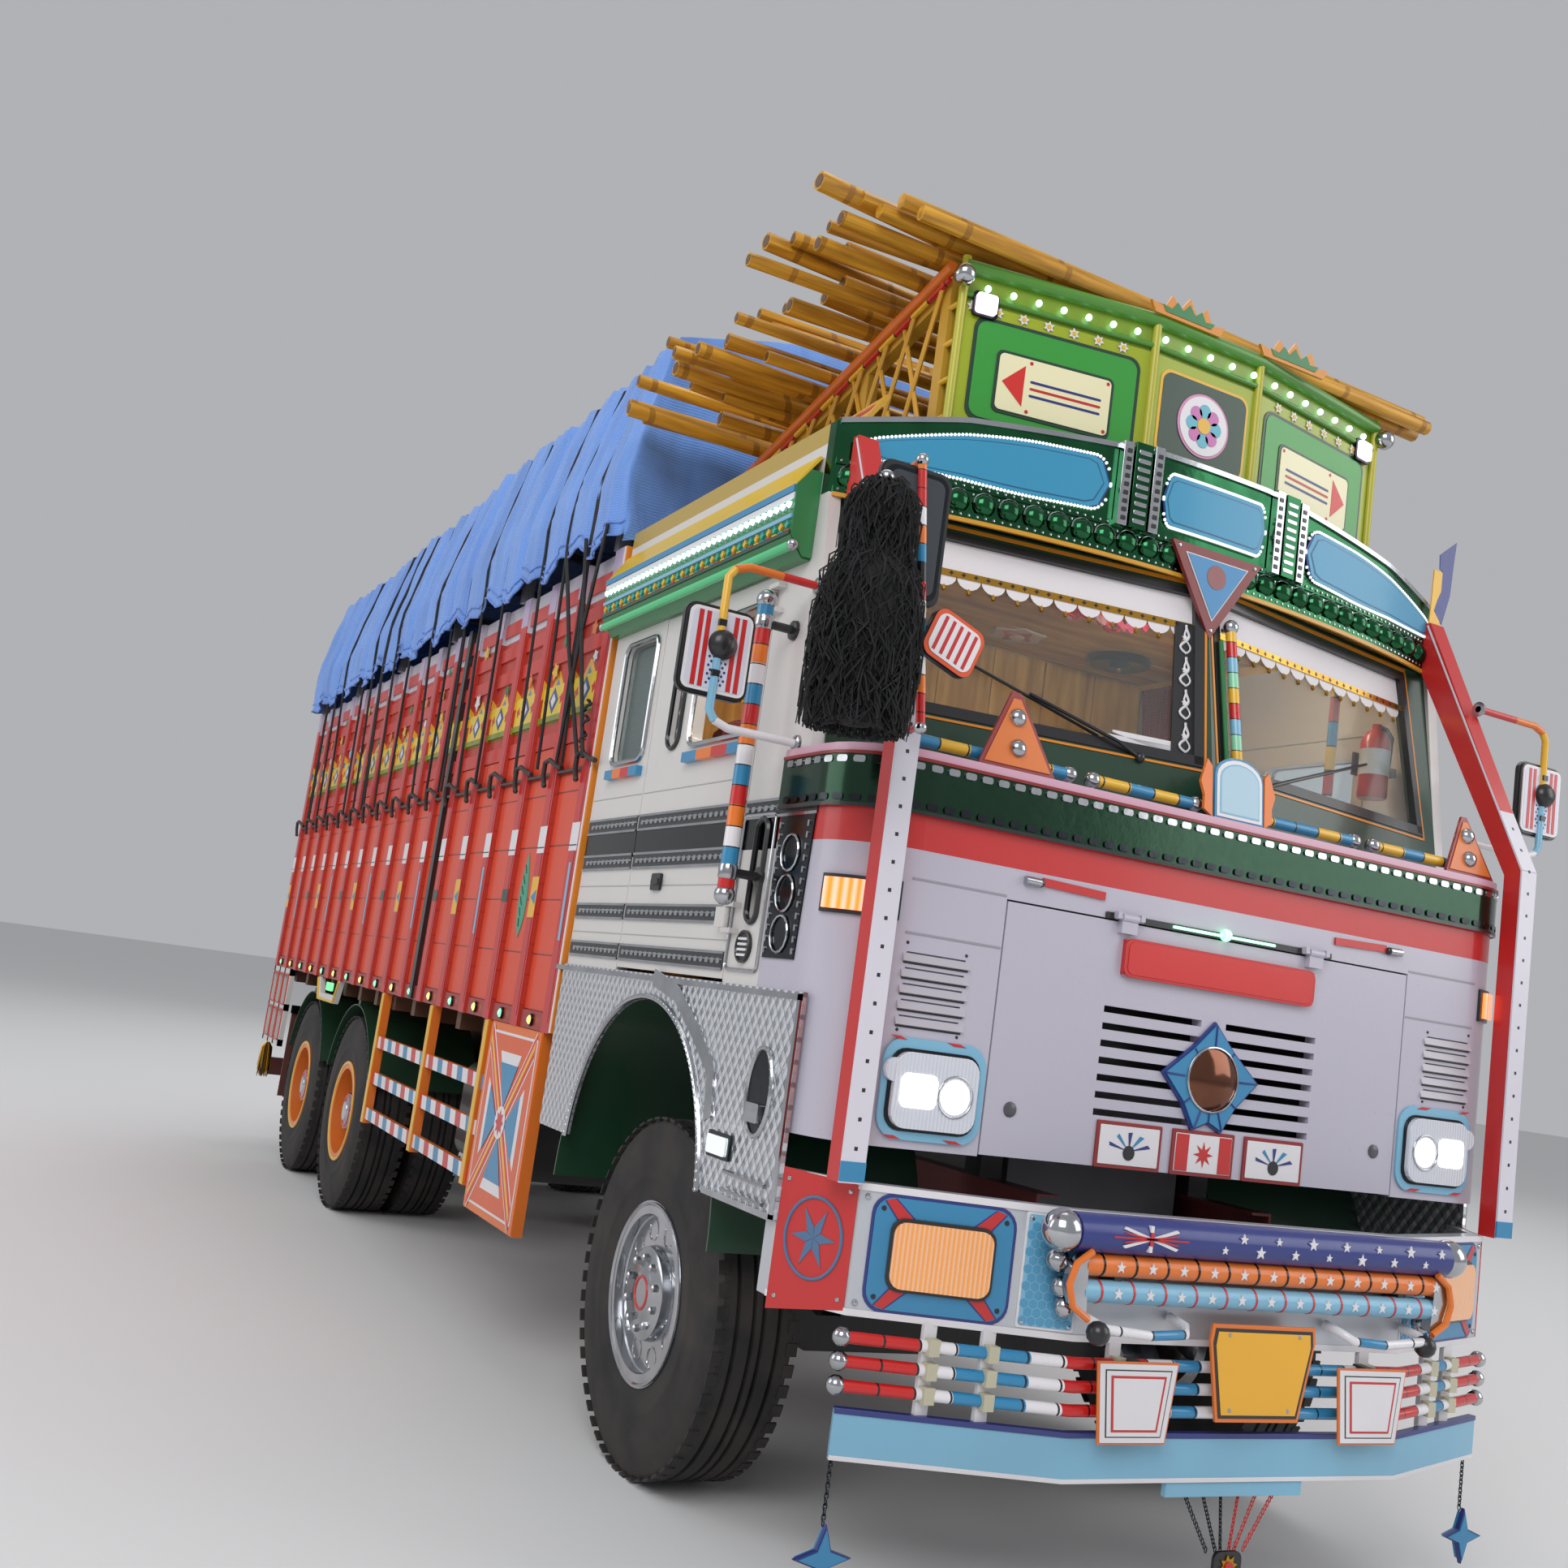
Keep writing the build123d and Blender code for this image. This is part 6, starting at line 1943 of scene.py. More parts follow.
@dataclass
class RoofBoard:
    """Framed signs, lit dots, flowers and rails of the board on the roof."""

    top: float = 3695.0

    def side_sign(self, shape: Panel) -> None:
        """Framed cream sign with a red arrow that points outward.

        Args:
            shape: Shape that takes the solids.
        """
        on = face(at(215, 324, 0), at(850, 439, 0))
        green = Paint("sign_green", tint("2f9a32"))
        shape.layers(on, (rounded((6, 640), (3196, 3600), 8), SIGN_OLIVE, 0, 4),
                     (rounded((42, 606), (3236, 3564), 40), DARK_PAINT, 4, 7),
                     (rounded((54, 594), (3248, 3552), 34), green, 7, 9),
                     (rounded((128, 524), (3276, 3474), 22), DARK_PAINT, 9, 12),
                     (rounded((138, 514), (3286, 3464), 16), Paint("sign_cream", tint("f3ecc0")), 12, 15))
        shape.use(Paint("arrow_red", tint("d8261c")))
        shape.layer(on, [(428, 3310), (500, 3375), (428, 3440)], 15, 16.5)
        for v in (3350, 3372, 3394):
            shape.use(NAVY_PAINT if v != 3372 else RED_PAINT)
            shape.layer(on, rounded((168, 408), (v - 4, v + 4), 4, 3), 15, 16.2)
        for corner in ((150, 3298), (150, 3452), (410, 3298), (410, 3452)):
            shape.use(RED_PAINT).layer(on, ngon(*corner, 6, 10), 15, 16.2)
        for k in range(7):
            u = 70 + 85 * k
            shape.use(LED).ball(on.to(u, 3648, 14), 11, 10)
            shape.use(WHITE_PAINT).layer(on, ngon(u + 40, 3586, 19, 12, 0.2 * k, 0.55), 5, 9)
            shape.use(YELLOW_PAINT).layer(on, ngon(u + 40, 3586, 7, 10), 9, 11)
        lens = Lens("square_lamp", tint("ffd6f4"), 2.2)
        shape.layers(on, (rounded((540, 624), (3556, 3634), 12), DARK_CHROME, 9, 18),
                     (rounded((548, 616), (3564, 3626), 10), lens, 14, 30))

    def build(self) -> None:
        """Make the roof board's dress."""
        shape = Panel("roof_signs", WHITE_PAINT)
        self.side_sign(shape)
        shape.doubled()
        on = face(at(-215, 324, 0), at(215, 324, 0))
        shape.layers(on, (rounded((4, 426), (3244, 3600), 8), SIGN_OLIVE, 0, 4),
                     (rounded((34, 396), (3276, 3566), 40), YELLOW_PAINT, 4, 7),
                     (rounded((44, 386), (3286, 3556), 34), DARK_PAINT, 7, 9),
                     (ngon(215, 3418, 104, 40), Paint("roundel_edge", tint("d68ab4")), 9, 12),
                     (ngon(215, 3418, 96, 40), WHITE_PAINT, 12, 14))
        for k in range(8):
            shape.use(Paint("petal_" + str(k % 2), tint("c86fb0") if k % 2 else tint("5fb4c8")))
            shape.layer(on, ngon(*spot(215, 3418, math.pi * k / 4, 48), 24, 12), 14, 15.5)
        shape.use(YELLOW_PAINT).layer(on, ngon(215, 3418, 26, 16), 14, 17)
        for k in range(5):
            shape.use(LED).ball(on.to(30 + 92 * k, 3648, 14), 11, 10)
        shape.piece("visor_green", bevel=0.8)
        shape = Panel("board_rails", GREEN_PAINT)
        green_tube = Paint("green_tube", tint("4f8f2a"))
        for s in SIDES:
            for z, r in ((3705, 22), (3620, 9)):
                shape.use(green_tube).tube([at(0, 318, z), at(s * 215, 318, z), at(s * 862, 434, z)], r, 12)
            for x, y in ((215, 318), (862, 434)):
                shape.use(Paint("post_yellow", tint("b9b428")))
                shape.tube([at(s * x, y, 3180), at(s * x, y, 3735)], 14, 10)
            for k in range(4):
                shape.use(YELLOW_PAINT)
                shape.tube([at(s * 862, 440, 3230 + 120 * k), at(s * 862, 500, 3230 + 120 * k)], 9, 8)
        for s in SIDES:
            shape.use(CHROME).ball(at(s * 880, 405, 3660), 34, 18)
        for x in (-120, 330):
            on = facing(x, 300)
            peak = [(-130, 3716), (130, 3716), (150, 3750), (96, 3742), (70, 3788), (34, 3752), (0, 3800),
                    (-34, 3752), (-70, 3788), (-96, 3742), (-150, 3750)]
            shape.layers(on, (peak, Paint("peak_orange", tint("d98a1c")), 0, 10),
                         (grown(peak, (0, 3745), 0.7, 0.6), GREEN_PAINT, 10, 12))
        shape.piece("rack", bevel=0, angle=45)


@dataclass
class Rack:
    """Side lattice, sloping lamp panels and the heap of stowed poles."""

    poles: int = 30
    front: tuple = (490.0, 3690.0)
    back: tuple = (1950.0, 3330.0)

    def top(self, y: float) -> float:
        """Height of the rack's top rail."""
        (y0, z0), (y1, z1) = self.front, self.back
        return z0 + (y - y0) * (z1 - z0) / (y1 - y0)

    def lattice(self) -> None:
        """Yellow lattice on the rack's sides with its lamp panels and round lamps."""
        shape = Panel("rack_sides", YELLOW_PAINT)
        shape.use(Paint("rack_gold", tint("d8a12a"), 0.45))
        for k in range(9):
            foot = 520 + 155 * k
            head = min(foot + 230, 1940)
            shape.tube([at(876, foot, 3110), at(876, head, self.top(head) - 10)], 8, 6)
            shape.tube([at(882, foot + 200, 3110), at(882, foot, self.top(foot) - 10)], 8, 6)
        shape.use(ORANGE_PAINT).tube([at(880, 480, 3715), at(880, 1960, 3352)], 20, 10)
        shape.use(Banded("rail_dashes", axis="y", start=-3.5, end=-2.0, colours=(RED, YELLOW) * 8))
        shape.tube([at(885, 480, 3670), at(885, 1960, 3308)], 9, 8)
        low, high = (1226, 2960), (1000, 3290)
        panel = Face(at(low[0], 560, low[1]), BACK,
                     Vector((high[0] - low[0], 0, high[1] - low[1])).normalized())
        shape.layers(panel,
                     ([(0, 0), (1390, 0), (1390, 240), (0, 400)], Paint("lamp_panel", tint("e0ab2e"), 0.5),
                      -12, 2), (oblong((30, 1360), (30, 70)), ORANGE_PAINT, 2, 4),
                     ([(30, 330), (30, 362), (1360, 226), (1360, 200)], RED_PAINT, 2, 4))
        for k in range(9):
            middle = panel.to(90 + 148 * k, 160 - 3 * k, 2)
            shape.use(GOLD).lathe(middle, panel.out, [(0, 50), (8, 50), (12, 44), (6, 40)], 22)
            shape.use(Lens("round_lamp", tint("fff3e2"), 1.5))
            shape.lathe(middle, panel.out, [(0, 40), (10, 38), (18, 20), (20, 0)], 20)
        for k in range(12):
            shape.use(RED_PAINT).layer(panel, ngon(60 + 118 * k, 270 - 9 * k, 22, 8, 0, 0.5), 2, 5)
        shape.doubled().piece("rack", bevel=0, angle=40)

    def heap(self) -> None:
        """Stowed bamboo poles across the rack, their hollow ends shut by dark discs of painted shade, and
        their lashing.
        """
        draw = random.Random(11)
        bamboo = Grain("bamboo", tint("dda32f"), dark=tint("8d5c14"), stretch=(1.0, 14.0, 14.0),
                       knots=2.6, rough=0.45)
        shape = Shape("stowed_poles", bamboo)
        for k in range(self.poles):
            y = 540 + 1340 * k / self.poles
            z = 3735 - 0.247 * (y - 490) + 26 + (0, 50, 96)[k % 3] + draw.uniform(0, 10)
            left = -1010 - draw.uniform(40, 400)
            right = 900 + draw.uniform(-200, 140)
            skew = draw.uniform(-110, 110) * (1 if k % 3 else 0.4)
            radius = draw.uniform(19, 30)
            start, end = at(left, y + skew, z + draw.uniform(-14, 20)), at(right, y - skew, z)
            shape.use(bamboo).tube([start, start.lerp(end, 0.5), end], radius, 9)
            # Painted shade: a dark disc on each pole's end stands for its hollow.
            shape.use(Paint("pole_hollow_shade", tint("5b3a10")))
            shape.lathe(start, start - end, [(-2, radius * 0.72), (1.5, radius * 0.7), (1.5, 0)], 9)
        for k in range(4):
            y = 360 + 55 * k
            z = 3752 + 46 * (k % 2) + 24 * (k > 1)
            shape.use(bamboo).tube([at(-1080 - 40 * k, y, z + 14), at(1060 + 30 * k, y + 30, z)], 24, 9)
        for x in (-700, 640):
            strap = [at(x, 470, 3690), at(x, 480, 3850), at(x, 620, 3850), at(x, 1200, 3690),
                     at(x, 1850, 3520), at(x, 1955, 3360)]
            shape.use(Paint("lashing", tint("e8b83c"), 0.7)).tube(strap, 8, 6)
        shape.piece("rack", angle=40)

    def build(self) -> None:
        """Make the rack's dress."""
        self.lattice()
        self.heap()


def one_side(shape: Shape, s: int, slot: str, body: str = "chassis", bevel: float = 0.0) -> bpy.types.Object:
    """Turn a shape laid out on the left into a piece of either side, s being -1 on the right.

    Args:
        shape: Shape laid out on the left.
        s: -1 on the right, 1 on the left.
        slot: Slot of the piece.
        body: Body that it moves with.
        bevel: Width of its rounded edges in millimetres.

    Returns:
        The piece.
    """
    if s < 0:
        shape.flipped()
    return shape.piece(slot, body, bevel)


@dataclass
class CabSide:
    """Trims, windows, sills, cornices, arches, grab rails and latches of both cab sides."""

    rows: tuple = (1845.0, 1674.0, 1540.0, 1975.0)
    arch_middle: tuple = (1156.0, 850.0)
    cornice_face: float = 1300.0
    skirt_face: float = 1238.0

    def row(self, shape: Panel, on: Face, u: tuple, v: float, high: float = 0.0) -> None:
        """Dark strip between two bright lips with oblong studs along it.

        Args:
            shape: Shape that takes the solids.
            on: Face that it lies on.
            u: First and last place along the face.
            v: Height of its middle.
            high: Height of its foot over the face.
        """
        shape.use(BLACK_PAINT).layer(on, oblong((u[0], u[1]), (v - 26, v + 26)), high, high + 3)
        shape.use(CHROME)
        for low in (v - 28, v + 20):
            shape.layer(on, oblong((u[0], u[1]), (low, low + 8)), high, high + 6)
        k = u[0] + 14
        while k + 24 < u[1]:
            shape.layer(on, rounded((k, k + 24), (v - 8, v + 8), 6, 2), high + 3, high + 7)
            k += 40

    def frame_of(self, shape: Panel, on: Face, u: tuple, v: tuple, radius: float, thick: float) -> None:
        """Bright tube frame round an opening."""
        shape.use(CHROME).wire(on, rounded(u, v, radius, 4), 5, thick, 8)

    def sill(self, shape: Panel, on: Face, u: tuple, v: float) -> None:
        """Blue, red and orange sill under a window.

        Args:
            shape: Shape that takes the solids.
            on: Face that it lies on.
            u: First and last place along the face.
            v: Height of its middle.
        """
        step = (u[1] - u[0]) / 4
        for k, finish in enumerate((BLUE_PAINT, RED_PAINT, ORANGE_PAINT, BLUE_PAINT)):
            shape.use(finish)
            shape.layer(on, oblong((u[0] + k * step, u[0] + (k + 1) * step), (v - 16, v + 16)), 0, 22)

    def door(self, side: str, s: int) -> None:
        """Trims of one door.

        Args:
            side: The side's name.
            s: -1 on the right, 1 on the left.
        """
        on = flank(CAB_HALF)
        shape = Panel(f"door_trim_{side}", CHROME)
        for v in self.rows:
            self.row(shape, on, (668, 1496), v)
        self.frame_of(shape, on, (706, 1164), (2211, 2609), 44, 9)
        self.sill(shape, on, (700, 1160), 2170)
        shape.use(BLACK_PAINT).wire(on, slot_hole(1300, 2400, 50, 135), 4, 8, 6)
        shape.layer(on, rounded((1256, 1344), (2228, 2572), 42), -22, -18)
        for k in range(5):
            curl = [(1300 + 20 * math.sin(j * 5 / 8), 2262 + 62 * k + 50 * j / 8) for j in range(9)]
            shape.use(CHROME).wire(on, curl, -14, 3.2, 5, False)
        shape.use(BLACK_PAINT).layer(on, rounded((1215, 1290), (1745, 1800), 8), 0, 10)
        shape.layer(on, rounded((1205, 1262), (1762, 1782), 8), 10, 22)
        self.creases(shape, on, (668, 1496))
        one_side(shape, s, "cab_white", f"door_{side}")

    @staticmethod
    def creases(shape: Panel, on: Face, u: tuple) -> None:
        """Pressed lines along the side's sheet, drawn as darker painted-shade strips."""
        for v in (1598, 1760, 2075):
            # Painted shade: each pressed line is a strip a little darker than the sheet.
            shape.use(Paint("side_crease_shade", tint("aaa6a4"))).layer(on, oblong(u, (v, v + 3)), 0, 1.2)

    def fixed(self, side: str, s: int) -> None:
        """Pillar, slot panel, quarter window and trims of a fixed side.

        Args:
            side: The side's name.
            s: -1 on the right, 1 on the left.
        """
        on = flank(CAB_HALF)
        shape = Panel(f"side_trim_{side}", CHROME)
        for v in self.rows:
            self.row(shape, on, (1512, 1990), v)
        self.row(shape, on, (210, 655), 1975)
        shape.use(DARK_CHROME).layer(on, [(232, 1560), (415, 1560), (415, 1948), (214, 1948)], 0, 5)
        for u in (240, 404):
            shape.use(CHROME)
            for k in range(12):
                shape.layer(on, rounded((u - 5, u + 5), (1572 + 31 * k, 1590 + 31 * k), 4, 2), 5, 9)
        for k in range(3):
            loop = ring(on.to(325, 1845 - 110 * k, 9), UP * 0.050, BACK * 0.048, 14)
            shape.use(CHROME).tube(loop, 3.5, 5, True)
        shape.use(BLACK_PAINT).wire(on, slot_hole(520, 1800, 34, 112), 4, 9, 6)
        shape.layer(on, rounded((486, 554), (1660, 1940), 30), -30, -24)
        self.frame_of(shape, on, (440, 646), (1520, 1958), 16, 5)
        shape.use(BLACK_PAINT)
        shape.lathe(on.to(540, 1585), on.out, [(0, 46), (10, 46), (12, 40), (6, 36), (6, 0)], 24)
        for k in range(4):
            shape.use(WHITE_PAINT).layer(on, rounded((512, 568), (1558 + 15 * k, 1565 + 15 * k), 3, 2), 6, 11)
        self.frame_of(shape, on, (1556, 1864), (2201, 2640), 42, 9)
        self.sill(shape, on, (1550, 1860), 2160)
        mesh = Paint("curtain_mesh", tint("6d7a74"), 0.8,
                     marks=(Mark(BLACK, z=(2200, 2640), fill=Fill.ROWS, pitch=9, share=0.4),))
        shape.use(mesh).layer(on, rounded((1562, 1858), (2208, 2632), 38), -38, -36)
        self.creases(shape, on, (1512, 1990))
        one_side(shape, s, "cab_white")

    def cornice(self, side: str, s: int) -> None:
        """Lit scallops, motifs, dashes and tube along the cornice.

        Args:
            side: The side's name.
            s: -1 on the right, 1 on the left.
        """
        on = flank(self.cornice_face)
        shape = Panel(f"cornice_{side}", YELLOW_PAINT)
        slope = [at(x, 470, z) for x, z in ((1300, 2900), (1306, 2896), (1240, 3000), (1228, 3000))]
        shape.use(Paint("cornice_yellow", tint("e9c21c"))).prism(slope, BACK * 1.53)
        for low, high, finish, thick in ((2878, 2898, BLUE_PAINT, 8), (2858, 2876, WHITE_PAINT, 5),
                                         (2800, 2812, SKY_PAINT, 6), (2752, 2762, DARK_PAINT, 6)):
            shape.use(finish).layer(on, oblong((470, 2000), (low, high)), 0, thick)
        teal = Paint("teal_enamel", tint("2aa79a"))
        for k in range(38):
            u = 490 + 40 * k
            shape.use(LED).ball(on.to(u, 2842, 6), 11, 8)
            shape.use(CHROME).wire(on, bow(u, 2846, 18, 16, 6), 4, 2.2, 4, False)
            shape.use(YELLOW_PAINT if k % 2 else teal).layer(on, ngon(u, 2782, 13, 8, 0, 0.6), 0, 7)
            shape.use((RED_PAINT, BLUE_PAINT, YELLOW_PAINT)[k % 3])
            shape.layer(on, oblong((u - 14, u + 14), (2764, 2768)), 0, 5)
        shape.use(Paint("cornice_tube", tint("4ccf86"), 0.25))
        shape.tube([at(1290, 465, 2722), at(1290, 2004, 2722)], 15, 12)
        shape.use(CHROME)
        for y in (465, 2004):
            shape.ball(at(1290, y, 2722), 18, 12)
        end = [(1228, 2695), (1256, 2695), (1300, 2752), (1304, 2898), (1262, 2952), (1228, 2952)]
        shape.use(GREEN_PAINT).layer(facing(0, 466), end, 0, 4)
        one_side(shape, s, "visor_green")

    def arch(self, side: str, s: int) -> None:
        """Beaded arch edge, bright strip, oval recess filled with a dark plate of painted shade, and bracket
        on the skirt.

        Args:
            side: The side's name.
            s: -1 on the right, 1 on the left.
        """
        on = flank(self.skirt_face)
        shape = Panel(f"arch_trim_{side}", CHROME)
        u, v = self.arch_middle
        edge = [spot(u, v, math.radians(-2 + 184 * k / 48), 560) for k in range(49)]
        edge = [on.to(*place, 2) for place in edge if place[1] > 905]
        shape.tube(edge, 10, 8)
        shape.studs([p + ACROSS * 0.006 for p in edge], 24, 8, ACROSS, 8)
        strip = [on.to(*spot(u, v, turn, reach)) for reach, turn in
                 ((596, 1.62), (600, 1.95), (604, 2.28), (640, 2.52), (596, 2.72))]
        shape.ribbon([(p, p + (p - on.to(u, v)).normalized() * 0.05) for p in strip[::-1]], 6)
        for low, end in ((908, 560), (1458, 2064)):
            shape.use(CHROME).layer(on, oblong((132, end), (low, low + 16)), 0, 7)
        shape.layer(on, oblong((132, 148), (912, 1476)), 0, 7)
        oval = [on.to(*place, 3) for place in circle(300, 1210, 70, 115, 28)]
        shape.tube(oval, 7, 8, True)
        shape.studs([p + ACROSS * 0.004 for p in oval], 24, 6, ACROSS, 6)
        # Painted shade: a dark plate fills the oval recess.
        shape.use(DARK_CHROME).layer(on, circle(300, 1210, 66, 110, 28), 0, 2)
        shape.use(CHROME).layer(on, rounded((262, 338), (1130, 1180), 6), 2, 18)
        shape.layers(on, (rounded((420, 560), (1010, 1080), 8), DARK_CHROME, 0, 8),
                     (rounded((430, 550), (1020, 1070), 8), Lens("side_marker", tint("e9f4f4"), 0.4), 8, 16))
        for v in (940, 985):
            shape.use(CHROME).tube([on.to(180, v, 10), on.to(430, v, 10)], 6, 8)
        one_side(shape, s, "quilted")

    def rail(self, side: str, s: int) -> None:
        """Banded grab rail between two balls.

        Args:
            side: The side's name.
            s: -1 on the right, 1 on the left.
        """
        shape = Panel(f"grab_rail_{side}", CHROME)
        bands = (RED, BLUE) + (WHITE, ORANGE, RED, BLUE) * 3
        shape.use(Banded("grab_bands", axis="z", start=1.732, end=2.54, colours=bands))
        shape.tube([at(1326, 504, 1732), at(1326, 504, 2540)], 24, 20)
        for z in (1716, 2556):
            shape.use(CHROME).ball(at(1326, 504, z), 30, 16)
        for z in (1780, 2490):
            shape.use(BLACK_PAINT).tube([at(CAB_HALF, 504, z), at(CAB_HALF + 100, 504, z)], 13, 10)
            shape.lathe(at(CAB_HALF, 504, z), ACROSS, [(0, 30), (10, 28), (14, 14)], 16)
            shape.use(CHROME).lathe(at(1326, 504, z - 20), UP, [(0, 25), (4, 27), (36, 27), (40, 25)], 18)
        obj = one_side(shape, s, "rail_stripe")
        if s > 0:
            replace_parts(obj, "grab_rails")

    def build(self) -> None:
        """Make both sides."""
        for s, side in zip(SIDES, SIDE_NAMES):
            self.door(side, s)
            self.fixed(side, s)
            self.cornice(side, s)
            self.arch(side, s)
            self.rail(side, s)


@dataclass
class Mirrors:
    """Mirrors on their banded arms, the leaning tube and the tassel of hair."""

    side: tuple = (1500.0, 418.0, 2350.0, 105.0, 125.0)
    tall: tuple = (1245.0, -100.0, 2640.0, 105.0, 175.0)
    spot: tuple = (1100.0, -130.0, 2385.0, 80.0, 68.0)
    left_shift: tuple = (-225.0, 130.0)
    tassel: tuple = (-1385.0, -215.0)
    tufts: int = 3000

    def housing(self, shape: Panel, s: int, place: tuple, tilt: float = 0.0) -> Face:
        """Rounded housing with its rubber rim and glass. Gives the face of its back.

        Args:
            shape: Shape that takes the solids.
            s: -1 on the right, 1 on the left.
            place: Middle across, behind and up, half width and half height.
            tilt: Lean in degrees.

        Returns:
            Face of the housing's back.
        """
        x, y, z, half, high = place
        a = math.radians(tilt)
        along = Vector((math.cos(a), 0, math.sin(a)))
        on = Face(at(s * x, y - 22, z), along, FRONT.cross(along))
        shape.use(BLACK_PAINT).layer(on, rounded((-half, half), (-high, high), 34), -22, -6)
        shape.layer(on, rounded((4 - half, half - 4), (4 - high, high - 4), 32), -6, 0)
        glass = Chrome("mirror_glass", tint("e6eaee"), 0.06, 0.1)
        shape.use(glass).layer(on, rounded((10 - half, half - 10), (10 - high, high - 10), 28), -23.5, -22)
        return on

    def side_mirror(self, shape: Panel, s: int) -> None:
        """Mirror on its C-shaped arm, a painted board on its back, the left one further forward and up.

        Args:
            shape: Shape that takes the solids.
            s: -1 on the right, 1 on the left.
        """
        dy, dz = (0, 0) if s < 0 else self.left_shift
        place = (self.side[0], self.side[1] + dy, self.side[2] + dz, *self.side[3:])
        on = self.housing(shape, s, place)
        shape.layers(on, (rounded((-94, 94), (-114, 114), 22), WHITE_PAINT, 0, 5),
                     (rounded((-86, 86), (-106, 106), 18), Paint("mirror_board", tint("d5d8e4")), 5, 6))
        for u in (-62, -40, 44, 66):
            shape.use(RED_PAINT).layer(on, oblong((u - 7, u + 7), (-104, 104)), 6, 7)
        for row in range(7):
            for column in range(4):
                u, v = -22 + 14 * column + (7 if row % 2 else 0), -90 + 12 * row
                shape.use(NAVY_PAINT).layer(on, ngon(u, v, 4, 6), 6, 7.2)
        shape.use(BLACK_PAINT).lathe(on.to(10, 20, 6), on.out, [(0, 42), (12, 40), (26, 26), (30, 0)], 20)
        y = 390 + dy
        foot = CAB_HALF if s < 0 else 1160
        bands = ((RED_PAINT, ((foot, 2600), (1340, 2600))),
                 (ORANGE_PAINT, ((1340, 2600), (1440, 2600), (1482, 2585))),
                 (YELLOW_PAINT, ((1482, 2585), (1500, 2560), (1500, 2400))),
                 (BLACK_PAINT, ((1500, 2400), (1500, 2330))),
                 (SKY_PAINT, ((1500, 2330), (1500, 2190), (1482, 2164))),
                 (WHITE_PAINT, ((1482, 2164), (1440, 2150), (foot, 2150))))
        for finish, path in bands:
            shape.use(finish).tube([at(s * x, y, z + dz) for x, z in path], 12, 10)
        shape.use(BLACK_PAINT).ball(at(s * 1500, y, 2375 + dz), 26, 14)
        for z in (2280 + dz, 2420 + dz):
            shape.block(at(s * 1490, y - 12, z), at(s * 1512, place[1], z + 18))
        for z in (2600 + dz, 2150 + dz):
            shape.use(CHROME).lathe(at(s * foot, y, z), Vector((s, 0, 0)), [(0, 26), (8, 24), (12, 13)], 16)

    def tube_mirrors(self, shape: Panel) -> None:
        """Leaning banded tube from the right guard with the tall and the blind spot mirror.

        Args:
            shape: Shape that takes the solids.
        """
        points = [(-GUARD_X, -78, 2160), (-GUARD_X, -130, 2160), (-1245, -130, 2830), (-GUARD_X, 262, 2860)]
        path = [at(*p) for p in points]
        bands = (RED, RED, ORANGE, WHITE, BLUE, BLUE, WHITE, RED,
                 BLACK, BLUE, ORANGE, WHITE, RED, RED, ORANGE)
        shape.use(Banded("lean_bands", axis="z", start=2.15, end=2.85, colours=bands)).tube(path, 12, 12)
        for point in path[1:3]:
            shape.use(CHROME).ball(point, 17, 14)
        on = self.housing(shape, -1, self.tall)
        shape.use(DARK_CHROME).layer(on, rounded((-92, 92), (-162, 162), 30), 0, 3)
        shape.use(Paint("mirror_slate", tint("2c3138"))).layer(on, rounded((-80, 80), (-150, 150), 24), 3, 5)
        for v in (-60, 60):
            shape.use(CHROME).block(on.to(-14, v - 16, -4), on.to(14, v + 16, 14))
        on = self.housing(shape, -1, self.spot, -20)
        shape.layers(on, (rounded((-78, 78), (-66, 66), 30), Paint("spot_rim", tint("e2521c")), 0, 3),
                     (rounded((-68, 68), (-56, 56), 26), WHITE_PAINT, 3, 5))
        for k in range(5):
            u = -48 + 24 * k
            shape.use(RED_PAINT).layer(on, oblong((u - 5, u + 5), (-48, 48)), 5, 6)
        shape.use(BLACK_PAINT).block(at(-1190, -142, 2372), at(-1146, -124, 2398))
        pole = facing(1122, 368)
        shape.use(YELLOW_PAINT)
        shape.layer(pole,
                    [(0, 3049), (56, 3049), (50, 3066), (18, 3100), (30, 3140), (46, 3175), (46, 3245),
                     (6, 3247), (4, 3160)], 0, 5)
        shape.use(NAVY_PAINT)
        shape.layer(pole,
                    [(18, 3100), (50, 3066), (62, 3060), (92, 3170), (100, 3300), (106, 3370), (28, 3305),
                     (32, 3255), (46, 3248), (46, 3175), (30, 3140)], 1, 4)
        x, y = self.tassel
        shape.use(DARK_CHROME)
        shape.tube([at(-1232, -130, 2702), at((x - 1245) / 2, -178, 2716), at(x, y, 2712)], 9, 8)
        shape.use(CHROME).ball(at(x, y, 2722), 20, 14)

    def hair(self) -> None:
        """Shaggy black tassel in two lumps, hung strand by strand from its knot."""
        draw = random.Random(23)
        shape = Shape("hair_tassel", Paint("black_hair", tint("040405"), 0.85, coat=0.0, grime=0.0))
        grey = Paint("grey_hair", tint("121215"), 0.8, coat=0.0, grime=0.0)
        x, y = self.tassel
        core = [(0, 40), (30, 84), (120, 104), (240, 110), (360, 98), (440, 60), (480, 48), (520, 62),
                (570, 58), (610, 12)]

        def girth(up: float) -> float:
            """Radius of the core at a height over its foot.

            Args:
                up: Millimetres over the foot.

            Returns:
                Radius in millimetres.
            """
            for (a, ra), (b, rb) in zip(core, core[1:]):
                if a <= up <= b:
                    return ra + (rb - ra) * (up - a) / (b - a)
            return 12.0

